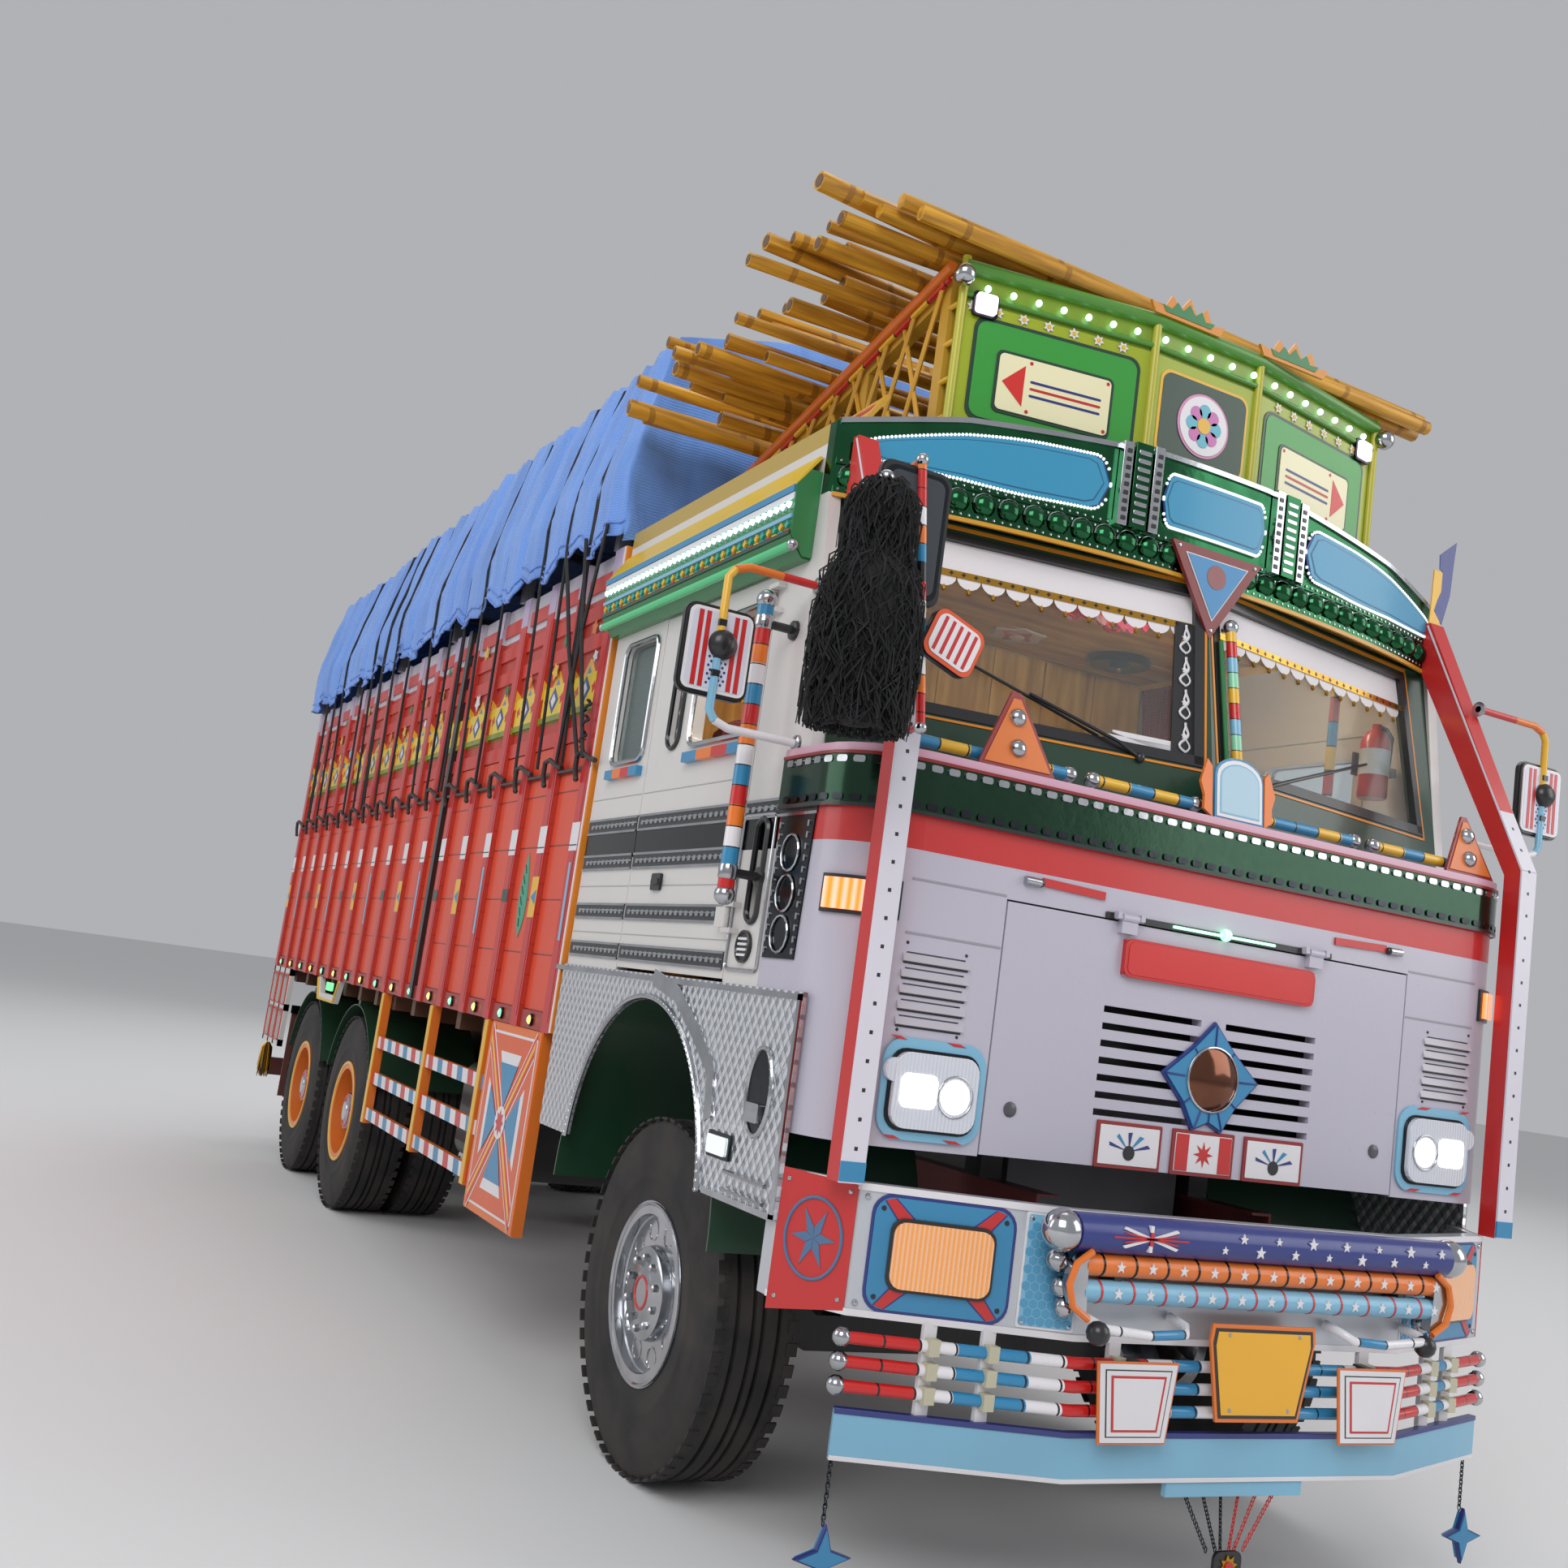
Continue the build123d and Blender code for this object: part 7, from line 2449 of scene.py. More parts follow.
        for k in range(self.tufts):
            turn, up = draw.uniform(0, 2 * math.pi), draw.uniform(10, 608)
            reach, fall = draw.uniform(10, 50), draw.uniform(40, 150)
            start = girth(up) * 0.9
            path = []
            for j in range(4):
                t = j / 3
                out = start + reach * math.sin(t * 1.9)
                a = turn + draw.uniform(-0.12, 0.12) * j
                path.append(at(x + out * math.cos(a), y + 0.9 * out * math.sin(a),
                               max(2112 + up + 14 * math.sin(t * 3.1) - fall * t * t, 2096)))
            shape.use(grey if k % 7 == 0 else shape.finishes[0]).tube(path, draw.uniform(1.3, 2.8), 3)
        shape.lathe(at(x, y, 2112), UP, core, 20)
        shape.piece("mirror", angle=60)

    def build(self) -> None:
        """Make every mirror and the tassel."""
        shape = Panel("mirrors_dressed", BLACK_PAINT)
        for s in SIDES:
            self.side_mirror(shape, s)
        self.tube_mirrors(shape)
        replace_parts(shape.piece("mirror", bevel=1.2, angle=40), "mirrors")
        self.hair()


@dataclass
class TarpCloth:
    """The load body's blue cover: one sheet over the hoops with gathered ends, and its taut black ropes."""

    half: float = 1262.0
    hem: float = 3100.0
    section: tuple = ((1262.0, 0.0), (1262.0, 250.0), (1130.0, 800.0), (650.0, 940.0))
    ends: tuple = (2012.0, 8298.0)
    rope_pitch: float = 305.0
    flat: tuple = (4.35, 8.5)
    columns: int = 96
    rows: int = 190
    end_rows: int = 18

    def outline(self, t: float) -> tuple[float, float, Vector]:
        """Place on the section at a share of its length from the right hem, and the way it faces.

        Args:
            t: Share of the section's length from the right hem.

        Returns:
            Millimetres across and up, and the way that the place faces.
        """
        points = [Vector((-x, 0, self.hem + z)) for x, z in self.section]
        points += [Vector((x, 0, self.hem + z)) for x, z in reversed(self.section)]
        runs = [(b - a).length for a, b in zip(points, points[1:])]
        left = min(max(t, 0.0), 1.0) * sum(runs)
        for a, b, run in zip(points, points[1:], runs):
            if left <= run + 1e-6:
                place = a.lerp(b, left / run)
                break
            left -= run
        middle = Vector((0, 0, self.hem + 300))
        out = (place - middle).normalized()
        return place.x, place.z, out

    def folds(self, t: float, y: float) -> float:
        """Millimetres that the cloth stands out at a place: drawn in at the ropes, full between them.

        Args:
            t: Share of the section's length from the right hem.
            y: Millimetres behind the cowl's face.

        Returns:
            Millimetres over the hoops.
        """
        side = min(1.0, abs(t - 0.5) * 2.9) ** 3
        cell = (y - self.ends[0]) / self.rope_pitch
        bay = int(cell)
        swell = abs(math.sin(math.pi * cell)) ** 0.7
        uneven = math.sin(bay * 12.9 + (3 if t > 0.5 else 0)) * 0.5 + 0.5
        pleat = math.sin(y * 0.058 + math.sin(y * 0.011 + t * 3) * 2.2) * (4 + 6 * side)
        lump = 12 * math.sin(y * 0.0031 + t * 9) + 9 * math.sin(y * 0.0083 - t * 14)
        crumple = 5 * math.sin(y * 0.027 + t * 31) * math.sin(t * 47 + y * 0.007)
        full = 14 + (16 + 20 * uneven) * swell * (0.35 + 0.65 * side)
        return full + pleat + lump * (1 - 0.6 * side) + crumple

    def point(self, t: float, y: float) -> Vector:
        """Point of the cloth over the hoops.

        Args:
            t: Share of the section's length from the right hem.
            y: Millimetres behind the cowl's face.

        Returns:
            The point in metres.
        """
        x, z, out = self.outline(t)
        drop = 30 * math.sin(y * 0.0105) + 22 * math.sin(y * 0.0237 + 1) if min(t, 1 - t) < 0.02 else 0.0
        stand = self.folds(t, y)
        place = Vector((x, 0, z + drop)) + out * stand
        place.x = max(min(place.x, self.half + 42), -self.half - 42)
        if place.z < self.hem + 90 and abs(place.x) < self.half - 6:
            place.x = math.copysign(self.half - 6, place.x)
        return at(place.x, y, place.z)

    def cloth(self) -> None:
        """The sheet itself: rows over the hoops and hanging rows at both ends."""
        finish = Cloth("tarp_blue", tint("5c8fe2"), 90.0, fade=tint("8fb8f4"))
        shape = Shape("tarp_cover", finish)
        lines: list[list[Vector]] = []
        ts = [k / self.columns for k in range(self.columns + 1)]
        y0, y1 = self.ends

        def hanging(y: float, outward: float) -> list[list[Vector]]:
            """Rows that hang from the section down to the hem, nearest the section first.

            Args:
                y: Millimetres behind the cowl's face.
                outward: -1 at the front end, 1 at the rear end.

            Returns:
                Points of each row, in metres.
            """
            rows = []
            for j in range(1, self.end_rows + 1):
                share = j / self.end_rows
                row = []
                for t in ts:
                    top = self.point(t, y)
                    foot_x = (2 * t - 1) * (self.half + 4)
                    wave = math.sin(t * 61 + math.sin(t * 9) * 2) * 13 * share ** 0.7
                    wave += 7 * math.sin(t * 23 + share * 4)
                    droop = 40 * math.sin(t * 17) * share
                    foot = at(foot_x, y, self.hem - 30)
                    place = top.lerp(foot, share)
                    row.append(Vector((place.x, place.y + outward * (wave - 4) / 1000,
                                       place.z + droop / 1000)))
                rows.append(row)
            return rows

        lines += hanging(y0, -1)[::-1]
        lines += [[self.point(t, y0 + (y1 - y0) * k / self.rows) for t in ts] for k in range(self.rows + 1)]
        lines += hanging(y1, 1)
        wide = len(ts)
        corners = [p for line in lines for p in line]
        shape.faces(corners, grid_loops(len(lines) - 1, wide - 1))
        obj = shape.piece("tarp", angle=180)
        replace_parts(obj, "tarp")

    def hems(self) -> None:
        """Stitched double hem along both long edges."""
        shape = Shape("tarp_hems", Cloth("hem_blue", tint("4f7fd0"), 90.0, fade=tint("86aef0")))
        for end in (0.0, 1.0):
            for lift, radius in ((0.0, 5.0), (0.012, 2.6)):
                t = lift if end == 0.0 else 1.0 - lift
                outward = ACROSS * (0.004 if t > 0.5 else -0.004)
                count = int((self.ends[1] - self.ends[0]) / 20) + 1
                shape.tube([self.point(t, self.ends[0] + 20 * k) + outward for k in range(count)], radius, 5)
        shape.piece("tarp", angle=60)

    def ropes(self) -> None:
        """Ropes over the cover down to the hooks on both sides, and crossed ones over the front bays."""
        shape = Shape("tarp_ropes", Paint("rope_black", tint("15171a"), 0.75, coat=0.0, grime=0.2))
        hook = 2236.0
        count = int((self.ends[1] - self.ends[0]) / self.rope_pitch)
        ts = [k / 40 for k in range(41)]
        for k in range(1, count):
            if k % 6 == 4:
                continue
            y = self.ends[0] + self.rope_pitch * k
            over = []
            for t in ts:
                over.append(self.point(t, y) + self.outline(t)[2] * 0.009)
            for radius, shift in ((7.0, 0.0), (5.5, 24.0)) if k % 3 == 1 else ((7.0, 0.0),):
                ends = [at(s * 1266, y + shift * 2.5, hook) for s in SIDES]
                shape.tube([ends[0], *(p + BACK * shift / 1000 for p in over), ends[1]], radius, 6)
        for s in SIDES:
            for y0, z0, y1, z1 in ((2075, 2240, 2330, 3130), (2380, 2240, 2090, 3140),
                                   (2140, 2250, 2560, 3125)):
                shape.tube([at(s * 1268, y0, z0), at(s * 1300, (y0 + y1) / 2, (z0 + z1) / 2),
                            at(s * 1308, y1, z1)], 8, 6)
            for z in (2240, 2300, 2360, 2420):
                turns = [at(s * (1270 + 9 * math.sin(a)), 2100 + 15 * math.cos(a) + 6 * math.sin(3 * a),
                            z + 7 * a) for a in (j * 0.7 for j in range(10))]
                shape.tube(turns, 6.5, 5)
        shape.piece("tarp", angle=60)

    def build(self) -> None:
        """Make the cover, its hems and its ropes."""
        self.cloth()
        self.hems()
        self.ropes()


@dataclass
class LoadBody:
    """Painted posts, decorated boards, hook rods, reflectors, lamps and lower panels of the load body."""

    front: float = 2045.0
    pitch: float = 6110 / 16
    posts: int = 17
    band: float = 4135.0

    def post(self, shape: Panel, on: Face, k: int) -> None:
        """One post: red front with a line of painted shade down it, lilac head, reflector, hook and lower
        marks.

        Args:
            shape: Shape that takes the solids.
            on: Face that it lies on.
            k: Number of the post, from the front.
        """
        u = self.front + k * self.pitch
        shape.layers(on, (oblong((u + 2, u + 88), (BOARDS_LOW, 2930)), POST_RED, 0, 4),
                     (oblong((u + 2, u + 88), (2930, BOARDS_HIGH)), Paint("post_head", tint("b9a7c6")), 0, 4),
                     # Painted shade: a darker red line down the post.
                     (oblong((u + 18, u + 24), (1260, 2900)), Paint("post_painted_shade", tint("8f1512")), 4, 5),
                     (oblong((u + 3, u + 87), (1893, 2000)), WHITE_PAINT, 4, 6),
                     (oblong((u + 3, u + 87), (1912, 1917)), BLACK_PAINT, 6, 6.6))
        if k % 3 == 1:
            shape.layers(on, (oblong((u + 6, u + 84), (1640, 1800)), YELLOW_PAINT, 4, 5.5),
                         ([(u + 14, 1690), (u + 76, 1720), (u + 14, 1750)], BLUE_PAINT, 5.5, 6.2))
        elif k % 3 == 2:
            shape.layers(on, (oblong((u + 6, u + 84), (1700, 1752)), DARK_PAINT, 4, 6))
        else:
            streak = [(u + 30, 1560), (u + 52, 1560), (u + 60, 1850), (u + 40, 1850)]
            shape.use(SKY_PAINT).layer(on, streak, 4, 5.2)
        bent = ((-62, 2226, 8), (-14, 2236, 12), (44, 2262, 26),
                (92, 2254, 28), (112, 2208, 22), (104, 2166, 16))
        hook = [on.to(u + a, b, n) for a, b, n in bent]
        shape.use(Paint("hook_iron", tint("2a1512"), 0.6)).tube(hook, 10, 8)
        shape.ball(hook[-1], 12, 8)

    def bay(self, shape: Panel, on: Face, k: int) -> None:
        """Boards between two posts: yellow row, decals over it, marker lamp and seam lines.

        Args:
            shape: Shape that takes the solids.
            on: Face that it lies on.
            k: Number of the bay, from the front.
        """
        u0 = self.front + k * self.pitch + 92
        u1 = u0 + self.pitch - 94
        mid = (u0 + u1) / 2
        yellow, blue = Paint("row_yellow", tint("e6c52e")), Paint("row_blue", tint("274a86"))
        shape.layers(on, (oblong((u0, u1), (2446, 2470)), ROW_OLIVE, -20, -7),
                     (oblong((u0, u1), (2470, 2594)), yellow, -20, -8))
        for wide, high, finish, low in ((58, 54, blue, -8), (30, 30, WHITE_PAINT, -6.5)):
            diamond = [(mid, 2532 - high), (mid + wide, 2532), (mid, 2532 + high), (mid - wide, 2532)]
            shape.use(finish).layer(on, diamond, low, -6.5 if finish is blue else -5.5)
        for side in SIDES:
            shape.use(RED_PAINT).layer(on, ngon(mid + side * 98, 2532, 24, 8, 0.3, 0.55), -8, -6.5)
        slat = Paint("slat_red", tint("c92c1c"), 0.4)
        for z in (2330, 2690, 2810, 2930):
            shape.use(slat).layer(on, oblong((u0, u1), (z, z + 62)), -20, -10)
        shape.use(Paint("foot_rail", tint("9c1f14"))).layer(on, oblong((u0, u1), (BOARDS_LOW, 1290)), -20, -6)
        for j, z in enumerate((2660, 2780, 2900)):
            turn = (k * 5 + j * 3) % 7
            finish = (WHITE_PAINT, GREEN_PAINT, yellow, ORANGE_PAINT, SKY_PAINT, YELLOW_PAINT,
                      WHITE_PAINT)[turn]
            if turn % 2 or j == 0:
                shape.use(finish)
                shape.layer(on, ngon(mid + 40 * (turn - 3) / 2, z, 26 + 3 * turn, 10, turn, 0.6), -10, -7.5)
        scarlet = Paint("board_scarlet", tint("dc4318"), 0.4)
        shape.use(scarlet).layer(on, oblong((u0, u1), (1294, 2326)), -20, -16)
        for z in (1500, 1710, 1920, 2130):
            shape.use(BOARD_SEAM).layer(on, oblong((u0, u1), (z, z + 5)), -16, -15)
        shape.use(BLACK_PAINT).tube([on.to(u0 - 95, 2212, -4), on.to(u1, 2212, -4)], 9, 6)
        name, code = ("marker_green", "66e39a") if k % 2 else ("marker_yellow", "ffd24a")
        lamp = Lens(name, tint(code), 1.4)
        shape.use(DARK_CHROME).lathe(on.to(mid, 1256, -6), on.out, [(-4, 24), (8, 24), (10, 19)], 16)
        shape.use(lamp).lathe(on.to(mid, 1256, -6), on.out, [(4, 19), (12, 17), (18, 8), (19, 0)], 16)

    def leaf(self, shape: Panel, on: Face) -> None:
        """Plain painted leaf on the boards by the front posts.

        Args:
            shape: Shape that takes the solids.
            on: Face that it lies on.
        """
        base, top, u = 1560, 1905, self.front + 1.6 * self.pitch
        left, right = [], []
        for j in range(9):
            t = j / 8
            wide = 52 * math.sin(math.pi * t ** 0.8) + 1
            left.append((u - wide + 14 * t, base + (top - base) * t))
            right.append((u + wide + 14 * t, base + (top - base) * t))
        shape.use(Paint("leaf_green", tint("2e9b78"))).layer(on, right + left[::-1], -15.8, -13)
        for j in range(1, 7):
            z = base + (top - base) * j / 8
            shape.use(DARK_PAINT)
            shape.tube([on.to(u + 6, z, -12), on.to(u + 38 * math.sin(math.pi * j / 8), z + 34, -12)], 2, 4)

    def side(self, name: str, s: int) -> None:
        """Everything on one side.

        Args:
            name: The side's name.
            s: -1 on the right, 1 on the left.
        """
        on = flank(BODY_HALF)
        shape = Panel(f"body_posts_{name}", WHITE_PAINT)
        for k in range(self.posts):
            self.post(shape, on, k)
        one_side(shape, s, "body_red", bevel=0.8)
        shape = Panel(f"body_boards_{name}", WHITE_PAINT)
        for k in range(self.posts - 1):
            self.bay(shape, on, k)
        self.leaf(shape, on)
        shape.use(BLACK_PAINT).layer(on, oblong((self.band, self.band + 58), (1225, BOARDS_HIGH)), -19, 6)
        shape.use(WHITE_PAINT).layer(on, oblong((2032, 2046), (1225, BOARDS_HIGH)), -30, 2)
        shape.use(Paint("corner_orange", tint("e88a1e")))
        shape.layer(on, oblong((2024, 2032), (1225, BOARDS_HIGH)), -30, 0)
        one_side(shape, s, "body_red")

    def ends(self) -> None:
        """Boards, diamonds and lamps on the tailgate and the panel over it."""
        on = Face(at(0, 8245, 0), Vector((-1, 0, 0)), UP)
        for name, low, high, body, rows in (("gate", 1300, 2096, "tailgate", 4),
                                            ("head", 2112, 3056, "chassis", 5)):
            shape = Panel(f"rear_{name}_dress", RED_PAINT)
            for s in SIDES:
                for x in (1130, 620, 120):
                    shape.use(POST_RED).layer(on, oblong((s * x - 42, s * x + 42), (low, high)), 0, 5)
            for row in range(rows):
                z = low + (row + 0.5) * (high - low) / rows
                shape.use(BOARD_SEAM).layer(on, oblong((-1180, 1180), (z - 3, z + 3)), 0, 1.5)
            for x in (-875, -370, 370, 875):
                z = (low + high) / 2
                shape.layers(on, (ngon(x, z, 150, 4), YELLOW_PAINT, 1, 4),
                             (ngon(x, z, 118, 4), BLUE_PAINT, 4, 6),
                             (ngon(x, z, 84, 16, 0, 0.6), WHITE_PAINT, 6, 8),
                             (ngon(x, z, 30, 16), RED_PAINT, 8, 10))
            shape.use(ROW_OLIVE).layer(on, oblong((-1176, 1176), (high - 46, high - 22)), 1, 4)
            shape.piece("body_red", body, bevel=0.8)

    def build(self) -> None:
        """Dress both sides and the rear."""
        for s, name in zip(SIDES, SIDE_NAMES):
            self.side(name, s)
        self.ends()


@dataclass
class LowerSides:
    """Painted side guard panels, wheel-side brackets, grid panels, mud flaps' edges and tinsel tassels."""

    guard: tuple = ((2104.0, 2736.0), (494.0, 1216.0))

    def panel(self, shape: Panel, on: Face) -> None:
        """Front panel of the side guard with its diagonal bands and triangles.

        Args:
            shape: Shape that takes the solids.
            on: Face that it lies on.
        """
        (u0, u1), (v0, v1) = self.guard
        mid_u, mid_v = (u0 + u1) / 2, (v0 + v1) / 2
        shape.layers(on, (rounded((u0, u1), (v0, v1), 6), Paint("guard_orange", tint("e5701a")), 0, 4),
                     (rounded((u0 + 26, u1 - 26), (v0 + 26, v1 - 26), 6), WHITE_PAINT, 4, 5),
                     (rounded((u0 + 36, u1 - 36), (v0 + 36, v1 - 36), 6),
                      Paint("guard_field", tint("de5a1c")), 5, 6))
        for turn in (1, -1):
            a, b = (u0 + 40, mid_v - turn * 310), (u1 - 40, mid_v + turn * 310)
            for half, finish, low in ((52, WHITE_PAINT, 6), (40, Paint("guard_band", tint("d8241c")), 7.2),
                                      (14, YELLOW_PAINT, 8.2)):
                band = [(a[0], a[1] - half), (b[0], b[1] - half), (b[0], b[1] + half), (a[0], a[1] + half)]
                shape.use(finish).layer(on, band, low, low + 1.2)
        for du, dv in ((1, 0), (-1, 0), (0, 1), (0, -1)):
            tip = (mid_u + du * 64, mid_v + dv * 64)
            far_u, far_v = mid_u + du * 226, mid_v + dv * 262
            wing = (dv * 130, du * 150)
            triangle = (tip, (far_u + wing[0], far_v + wing[1]), (far_u - wing[0], far_v - wing[1]))
            shape.nested(on, triangle, (mid_u, mid_v), (1.0, WHITE_PAINT, 6, 7.2),
                         (0.84, BLUE_PAINT, 7.2, 8.4))
        shape.layers(on, (ngon(mid_u, mid_v, 62, 24), WHITE_PAINT, 9, 11),
                     (ngon(mid_u, mid_v, 50, 16, 0, 0.6), RED_PAINT, 11, 12))

    def rails(self, shape: Panel, on: Face) -> None:
        """Slanted bands along the guard's rails and caps on its posts.

        Args:
            shape: Shape that takes the solids.
            on: Face that it lies on.
        """
        for j, v in enumerate((610, 790, 970)):
            for k in range(24):
                u = 2750 + 82 * k
                finish = (RED_PAINT, WHITE_PAINT, BLUE_PAINT, WHITE_PAINT)[(k + j) % 4]
                shape.use(finish)
                shape.layer(on, [(u, v - 29), (u + 82, v - 29), (u + 96, v + 29), (u + 14, v + 29)], -10, -7)
        for u in (2800, 3700, 4700):
            shape.use(YELLOW_PAINT).layer(on, oblong((u + 3, u + 47), (562, 1216)), 0, 4)

    def hangers(self, shape: Panel, on: Face) -> None:
        """White grid panel behind the wheels, the angular frame between them and the mud flap.

        Args:
            shape: Shape that takes the solids.
            on: Face that it lies on.
        """
        pale = Paint("grid_white", tint("dcdad6"), 0.35)
        bars = [(u, u + 45, 700, 1220) for u in (7560, 7773.3, 7986.7, 8200)]
        bars += [(7560, 8245, v, v + 45) for v in (700, 937.5, 1175)]
        for u0, u1, v0, v1 in bars:
            shape.use(pale).layer(on, oblong((u0, u1), (v0, v1)), -30, 0)
        for side in SIDES:
            ends = [(6212 + side * u, v) for u, v in ((330, 1220), (240, 1085), (205, 1130), (270, 1220))]
            shape.layer(on, ends if side > 0 else ends[::-1], -30, 0)
        shape.layer(on, [(5972, 1085), (6452, 1085), (6417, 1130), (6007, 1130)], -30, 0)
        brown = Paint("flap_brown", tint("5a2318"), 0.6)
        shape.use(brown).block(at(640, 7527, 380), at(1190, 7539, 980))
        shape.use(DARK_CHROME).block(at(610, 7500, 930), at(1200, 7527, 985))
        for x in (700, 915, 1130):
            shape.use(CHROME).lathe(at(x, 7539, 955), BACK, [(0, 12), (5, 11), (8, 0)], 12)

    def grid(self, shape: Panel, on: Face) -> None:
        """Bordered openings of the rear grid panel and the angular frame between the wheels.

        Args:
            shape: Shape that takes the solids.
            on: Face that it lies on.
        """
        wide, high = (685 - 180) / 3, (520 - 135) / 2
        for column in range(3):
            for row in range(2):
                u, v = 7605 + column * (wide + 45), 745 + row * (high + 45)
                border = rounded((u - 6, u + wide + 6), (v - 6, v + high + 6), 24, 4)
                shape.use(Paint("grid_line", tint("c8331f"))).wire(on, border, 3, 5, 6)
        for u in (7584, 8222):
            for v in (724, 960, 1196):
                shape.use(DARK_CHROME).screws(on, [(u, v)], 9, 0)
        border = ((5896, 1214), (5976, 1092), (6448, 1092), (6528, 1214))
        shape.use(YELLOW_PAINT).wire(on, border, 3, 8, 6, False)
        shape.use(Lens("frame_green_lamp", tint("59e08a"), 1.2))
        shape.layer(on, rounded((6130, 6294), (1150, 1200), 12), -18, -4)

    def tinsel(self) -> None:
        """Golden and black tinsel tassels that hang at the body's rear corners."""
        draw = random.Random(5)
        gold = Chrome("tinsel_gold", tint("c9952f"), 0.3, 0.2)
        for s, name in zip(SIDES, SIDE_NAMES):
            shape = Shape(f"tinsel_{name}", gold)
            for k in range(150):
                a, r = draw.uniform(0, 6.28), draw.uniform(6, 46)
                low = draw.uniform(430, 520)
                path = [at(s * 1190, 8258, 690),
                        at(s * 1190 + r * 0.8 * math.cos(a), 8268 + r * 0.5 * math.sin(a), 640),
                        at(s * 1190 + r * math.cos(a + 0.3), 8268 + r * 0.6 * math.sin(a), low)]
                shape.use(BLACK_PAINT if k % 3 == 0 else gold).tube(path, 2.4, 3)
            shape.use(CHROME)
            shape.tube([at(s * 1190, 8232, 706), at(s * 1190, 8258, 700), at(s * 1190, 8258, 684)], 6, 6)
            shape.ball(at(s * 1190, 8258, 684), 14, 10)
            shape.piece("rail_stripe", angle=60)

    def build(self) -> None:
        """Dress the lower sides."""
        on = flank(BODY_HALF)
        for s, name in zip(SIDES, SIDE_NAMES):
            shape = Panel(f"side_guard_dress_{name}", WHITE_PAINT)
            self.panel(shape, on)
            self.rails(shape, on)
            one_side(shape, s, "side_guard", bevel=0.6)
            shape = Panel(f"rear_grid_dress_{name}", WHITE_PAINT)
            self.hangers(shape, on)
            self.grid(shape, on)
            one_side(shape, s, "cab_white")
        self.tinsel()


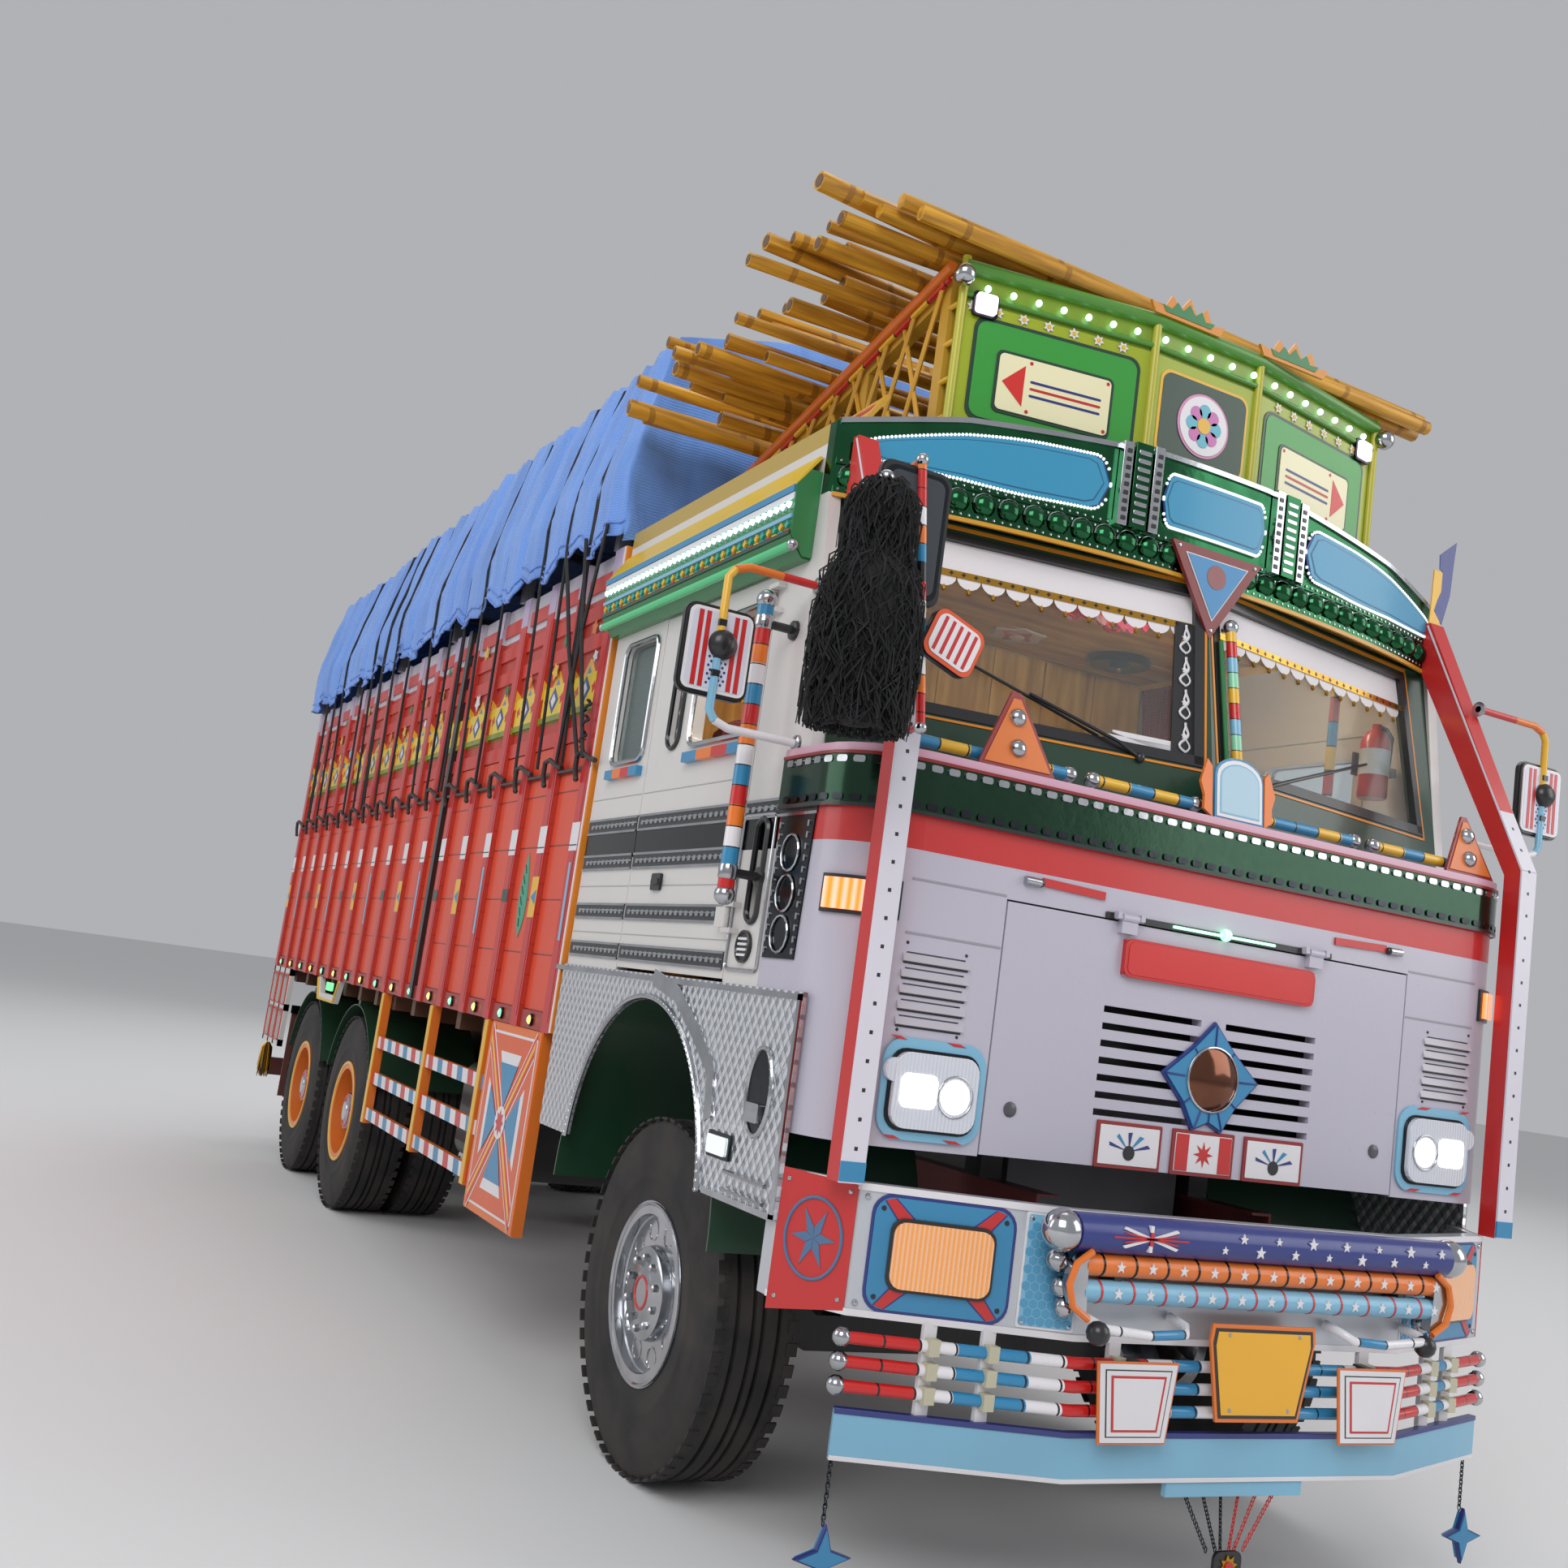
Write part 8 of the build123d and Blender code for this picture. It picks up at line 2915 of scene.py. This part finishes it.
@dataclass
class Interior:
    """Padded seats, flowers, fan, extinguisher and curtains behind the glass."""

    seats: tuple = ((-1000.0, -400.0), (-250.0, 1000.0))
    curtain_height: float = 0.87

    @staticmethod
    def boxed(value: float) -> float:
        """Sine or cosine pushed towards one, so that a circle turns into a box with round corners."""
        return math.copysign(abs(value) ** 0.42, value)

    def pad(self, name: str, x: tuple, middle: tuple, size: tuple, tilt: float) -> bpy.types.Object:
        """Crowned cushion with sewn channels.

        Args:
            name: Of the piece.
            x: Its ends across the truck.
            middle: Behind the cowl's face and up, of its middle.
            size: Its depth and thickness in section.
            tilt: Degrees that the section is turned.

        Returns:
            The object.
        """
        red = Cloth("seat_cloth", tint("7c1620"), 300.0, fade=tint("a8323a"))
        shape = Shape(name, red)
        turn = math.radians(tilt)
        around, along = 28, 40
        corners = []
        for j in range(along + 1):
            t = j / along
            across = x[0] + (x[1] - x[0]) * t
            pinch = 1 - 0.22 * abs(2 * t - 1) ** 6
            channel = 1 - 0.07 * max(0.0, math.cos(2 * math.pi * (across / 150))) ** 8
            for k in range(around):
                a = 2 * math.pi * k / around
                u = size[0] / 2 * self.boxed(math.cos(a)) * (1 - 0.03 * abs(math.sin(2 * a)))
                v = size[1] / 2 * self.boxed(math.sin(a)) * pinch * channel
                corners.append(at(across, middle[0] + u * math.cos(turn) - v * math.sin(turn),
                                  middle[1] + u * math.sin(turn) + v * math.cos(turn)))
        loops = grid_loops(along, around, True)
        loops += [list(range(around))[::-1], list(range(along * around, (along + 1) * around))]
        shape.faces(corners, loops)
        obj = shape.piece("seat", angle=60)
        return obj

    def bench(self) -> None:
        """Cushions, backs and painted plinths."""
        plinth = Shape("seat_plinths", Paint("plinth_brown", tint("3d2618"), 0.5))
        for k, (x0, x1) in enumerate(self.seats):
            plinth.block(at(x0 + 40, 1000, 1480.5), at(x1 - 40, 1400, 1812))
            self.pad(f"seat_cushion_{k + 1}", (x0, x1), (1190, 1870), (432, 122), 3)
            self.pad(f"seat_back_{k + 1}", (x0, x1), (1442, 2130), (104, 552), -10)
        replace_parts(plinth.piece("seat", bevel=4), "seats")

    def flowers(self) -> None:
        """Garland of cloth flowers on the dashboard, a fan and an extinguisher."""
        draw = random.Random(9)
        shape = Panel("dash_flowers", GREEN_PAINT)
        for k in range(34):
            x = -980 + 60 * k + draw.uniform(-14, 14)
            if -760 < x < -480:
                continue
            middle = at(x, 480 + draw.uniform(-12, 24), 2078 + draw.uniform(-4, 40))
            on = Face(middle, ACROSS, Vector((0, draw.uniform(0.1, 0.5), 1)).normalized())
            colour = (tint("d43a6a"), tint("e8718f"), tint("f2c1cf"), tint("c8241e"))[k % 4]
            petal = Paint(f"flower_{k % 4}", colour, 0.7, coat=0.0)
            for j in range(6):
                shape.use(petal).layer(on, ngon(*spot(0, 0, math.pi * j / 3 + k, 20), 17, 8), 0, 5 + j % 2)
            shape.use(YELLOW_PAINT).ball(on.to(0, 0, 8), 8, 8)
            shape.use(GREEN_PAINT).layer(on, [(-34, -8), (0, -30), (30, -12), (0, 2)], -3, 0)
            shape.tube([on.to(0, -6, -2), at(x, 500, 2049)], 3, 5)
        centre = at(560, 520, 2180)
        shape.use(BLACK_PAINT)
        shape.lathe(at(800, 1640, 3028), Vector((0, 0, -1)),
                    [(0, 0), (0, 128), (20, 132), (34, 118), (26, 50), (44, 40), (46, 0)], 32)
        shape.use(GOLD).ball(at(800, 1640, 2984), 14, 12)
        white = Paint("medallion_white", tint("f0e6e0"), 0.4)
        down = Face(at(330, 1700, 3028), ACROSS, BACK)
        shape.layers(down, (ngon(0, 0, 120, 12, 0.2, 0.8), white, -6, 0),
                     (ngon(0, 0, 84, 8, 0.2, 0.5), RED_PAINT, -10, 0), (ngon(0, 0, 30, 16), white, -14, 0))
        for k in range(26):
            a, r = draw.uniform(0, 6.28), draw.uniform(0, 110)
            pink = (tint("e0306e"), tint("f06a9a"), tint("d8281e"), tint("f7b8cc"))[k % 4]
            shape.use(Paint(f"petal_{k % 4}", pink, 0.7, coat=0.0))
            middle = at(260 + 1.6 * r * math.cos(a), 1060 + 0.5 * r * math.sin(a),
                        2985 + draw.uniform(-26, 26))
            on = Face(middle, Vector((1, 0, draw.uniform(-0.4, 0.4))).normalized(),
                      Vector((0, draw.uniform(0.3, 0.9), 1)).normalized())
            for j in range(5):
                shape.layer(on, ngon(*spot(0, 0, 1.257 * j + k, 16), 15, 7), 0, 5 + j % 2)
        shape.use(BLACK_PAINT)
        shape.lathe(centre, FRONT, [(-20, 0), (-20, 60), (6, 84), (20, 86), (22, 78), (8, 20), (8, 0)], 28)
        shape.tube([at(560, 530, 2110), at(560, 530, 2049)], 12, 8)
        for k in range(3):
            reach = 0.028 + 0.02 * k
            shape.use(CHROME).tube(ring(centre + FRONT * 0.022, ACROSS * reach, UP * reach, 20), 2, 4, True)
        shape.use(RED_PAINT)
        shape.lathe(at(1040, 480, 2420), UP,
                    [(0, 46), (6, 50), (200, 50), (232, 34), (244, 16), (262, 16), (262, 0)], 24)
        shape.use(WHITE_PAINT).lathe(at(1040, 480, 2500), UP, [(0, 50), (0, 51.5), (90, 51.5), (90, 50)], 24)
        shape.use(BLACK_PAINT)
        shape.tube([at(1040, 480, 2676), at(1066, 462, 2668), at(1084, 452, 2640), at(1080, 456, 2520)], 9, 8)
        shape.use(STEEL).block(at(1086, 500, 2520), at(1172, 530, 2550))
        shape.block(at(990, 526, 2500), at(1100, 534, 2580))
        bands = (RED, YELLOW, RED, WHITE, RED, YELLOW, BLUE, RED, YELLOW, WHITE)
        shape.use(Banded("cabin_post", axis="z", start=2.05, end=2.9, colours=bands))
        shape.tube([at(824, 470, 2049), at(824, 470, 2900)], 17, 14)
        shape.piece("dash", angle=45)

    def cabin_lamps(self) -> None:
        """Lit strips under the cab's roof, so that the inside shows through the glass."""
        shape = Panel("cabin_lamps", DARK_CHROME)
        for s in SIDES:
            for x in (340, 860):
                shape.use(DARK_CHROME).tube([at(s * x, 655, 3036), at(s * x, 655, 2922)], 6, 8)
            shape.block(at(s * 290, 632, 2896), at(s * 910, 642, 2924))
            shape.use(Lens("cabin_glass", tint("fff0d8"), 60.0))
            shape.block(at(s * 300, 642, 2898), at(s * 900, 672, 2922))
        shape.piece("lamp", bevel=1)

    def curtains(self) -> None:
        """Gathered curtains in the rear corners and a printed wood liner on the back wall."""
        wood = Grain("liner_wood", tint("e2ac4a"), dark=tint("a8701e"), stretch=(7.0, 7.0, 0.8))
        shape = Panel("back_liner", wood)
        on = facing(0, 1958)
        for k in range(9):
            u = -1170 + 262 * k
            shape.layer(on, rounded((u, u + 254), (1490, 3026), 8, 2), 0, 8)
        shape.use(Grain("ceiling_wood", tint("f0bc54"), dark=tint("b87c22"), stretch=(0.9, 6.0, 6.0)))
        for k in range(4):
            shape.block(at(-1168, 620 + 330 * k, 3029), at(1168, 944 + 330 * k, 3038))
        for v in (2120, 2560):
            shape.use(GOLD).layer(on, oblong((-1175, 1175), (v - 9, v + 9)), 8, 13)
        for x in (-660, 0, 660):
            for j in range(8):
                petal = ngon(*spot(x, 2340, math.pi * j / 4, 46), 26, 10)
                shape.use(Paint("wall_petal", tint("c83a58"))).layer(on, petal, 8, 12)
            shape.use(YELLOW_PAINT).layer(on, ngon(x, 2340, 24, 14), 12, 16)
        shape.piece("cab_white", angle=40)
        cloth = Cloth("curtain_cloth", tint("8e1f2c"), 200.0, fade=tint("c25560"))
        for s, name in zip(SIDES, SIDE_NAMES):
            shape = Shape(f"curtain_{name}", cloth)
            rows, columns = 14, 60
            corners = []
            for j in range(rows + 1):
                z = 3000 - (3000 - 2130) * j / rows
                for k in range(columns + 1):
                    y = 1545 + 360 * k / columns * (1 - 0.12 * math.sin(math.pi * j / rows))
                    corners.append(at(s * (1150 - 14 * math.sin(k * 1.05) * (0.5 + 0.5 * j / rows)), y, z))
            shape.faces(corners, grid_loops(rows, columns))
            obj = shape.piece("seat", angle=180)

    def build(self) -> None:
        """Make the inside of the cab."""
        self.bench()
        self.flowers()
        self.cabin_lamps()
        self.curtains()


def main() -> None:
    """Build every sub-assembly in order."""
    logging.basicConfig(level=logging.INFO, format="%(message)s")
    random.seed(7)
    for part in (Studio(), CadDress(), Wheels(), FrontEnd(), CowlDress(), Windshield(), Visor(), RoofBoard(),
                 Rack(), CabSide(), Mirrors(), TarpCloth(), LoadBody(), LowerSides(), Interior()):
        LOG.info("building %s", type(part).__name__)
        part.build()
    LOG.info("%d pieces", len(PIECES))


if __name__ == "__main__":
    main()
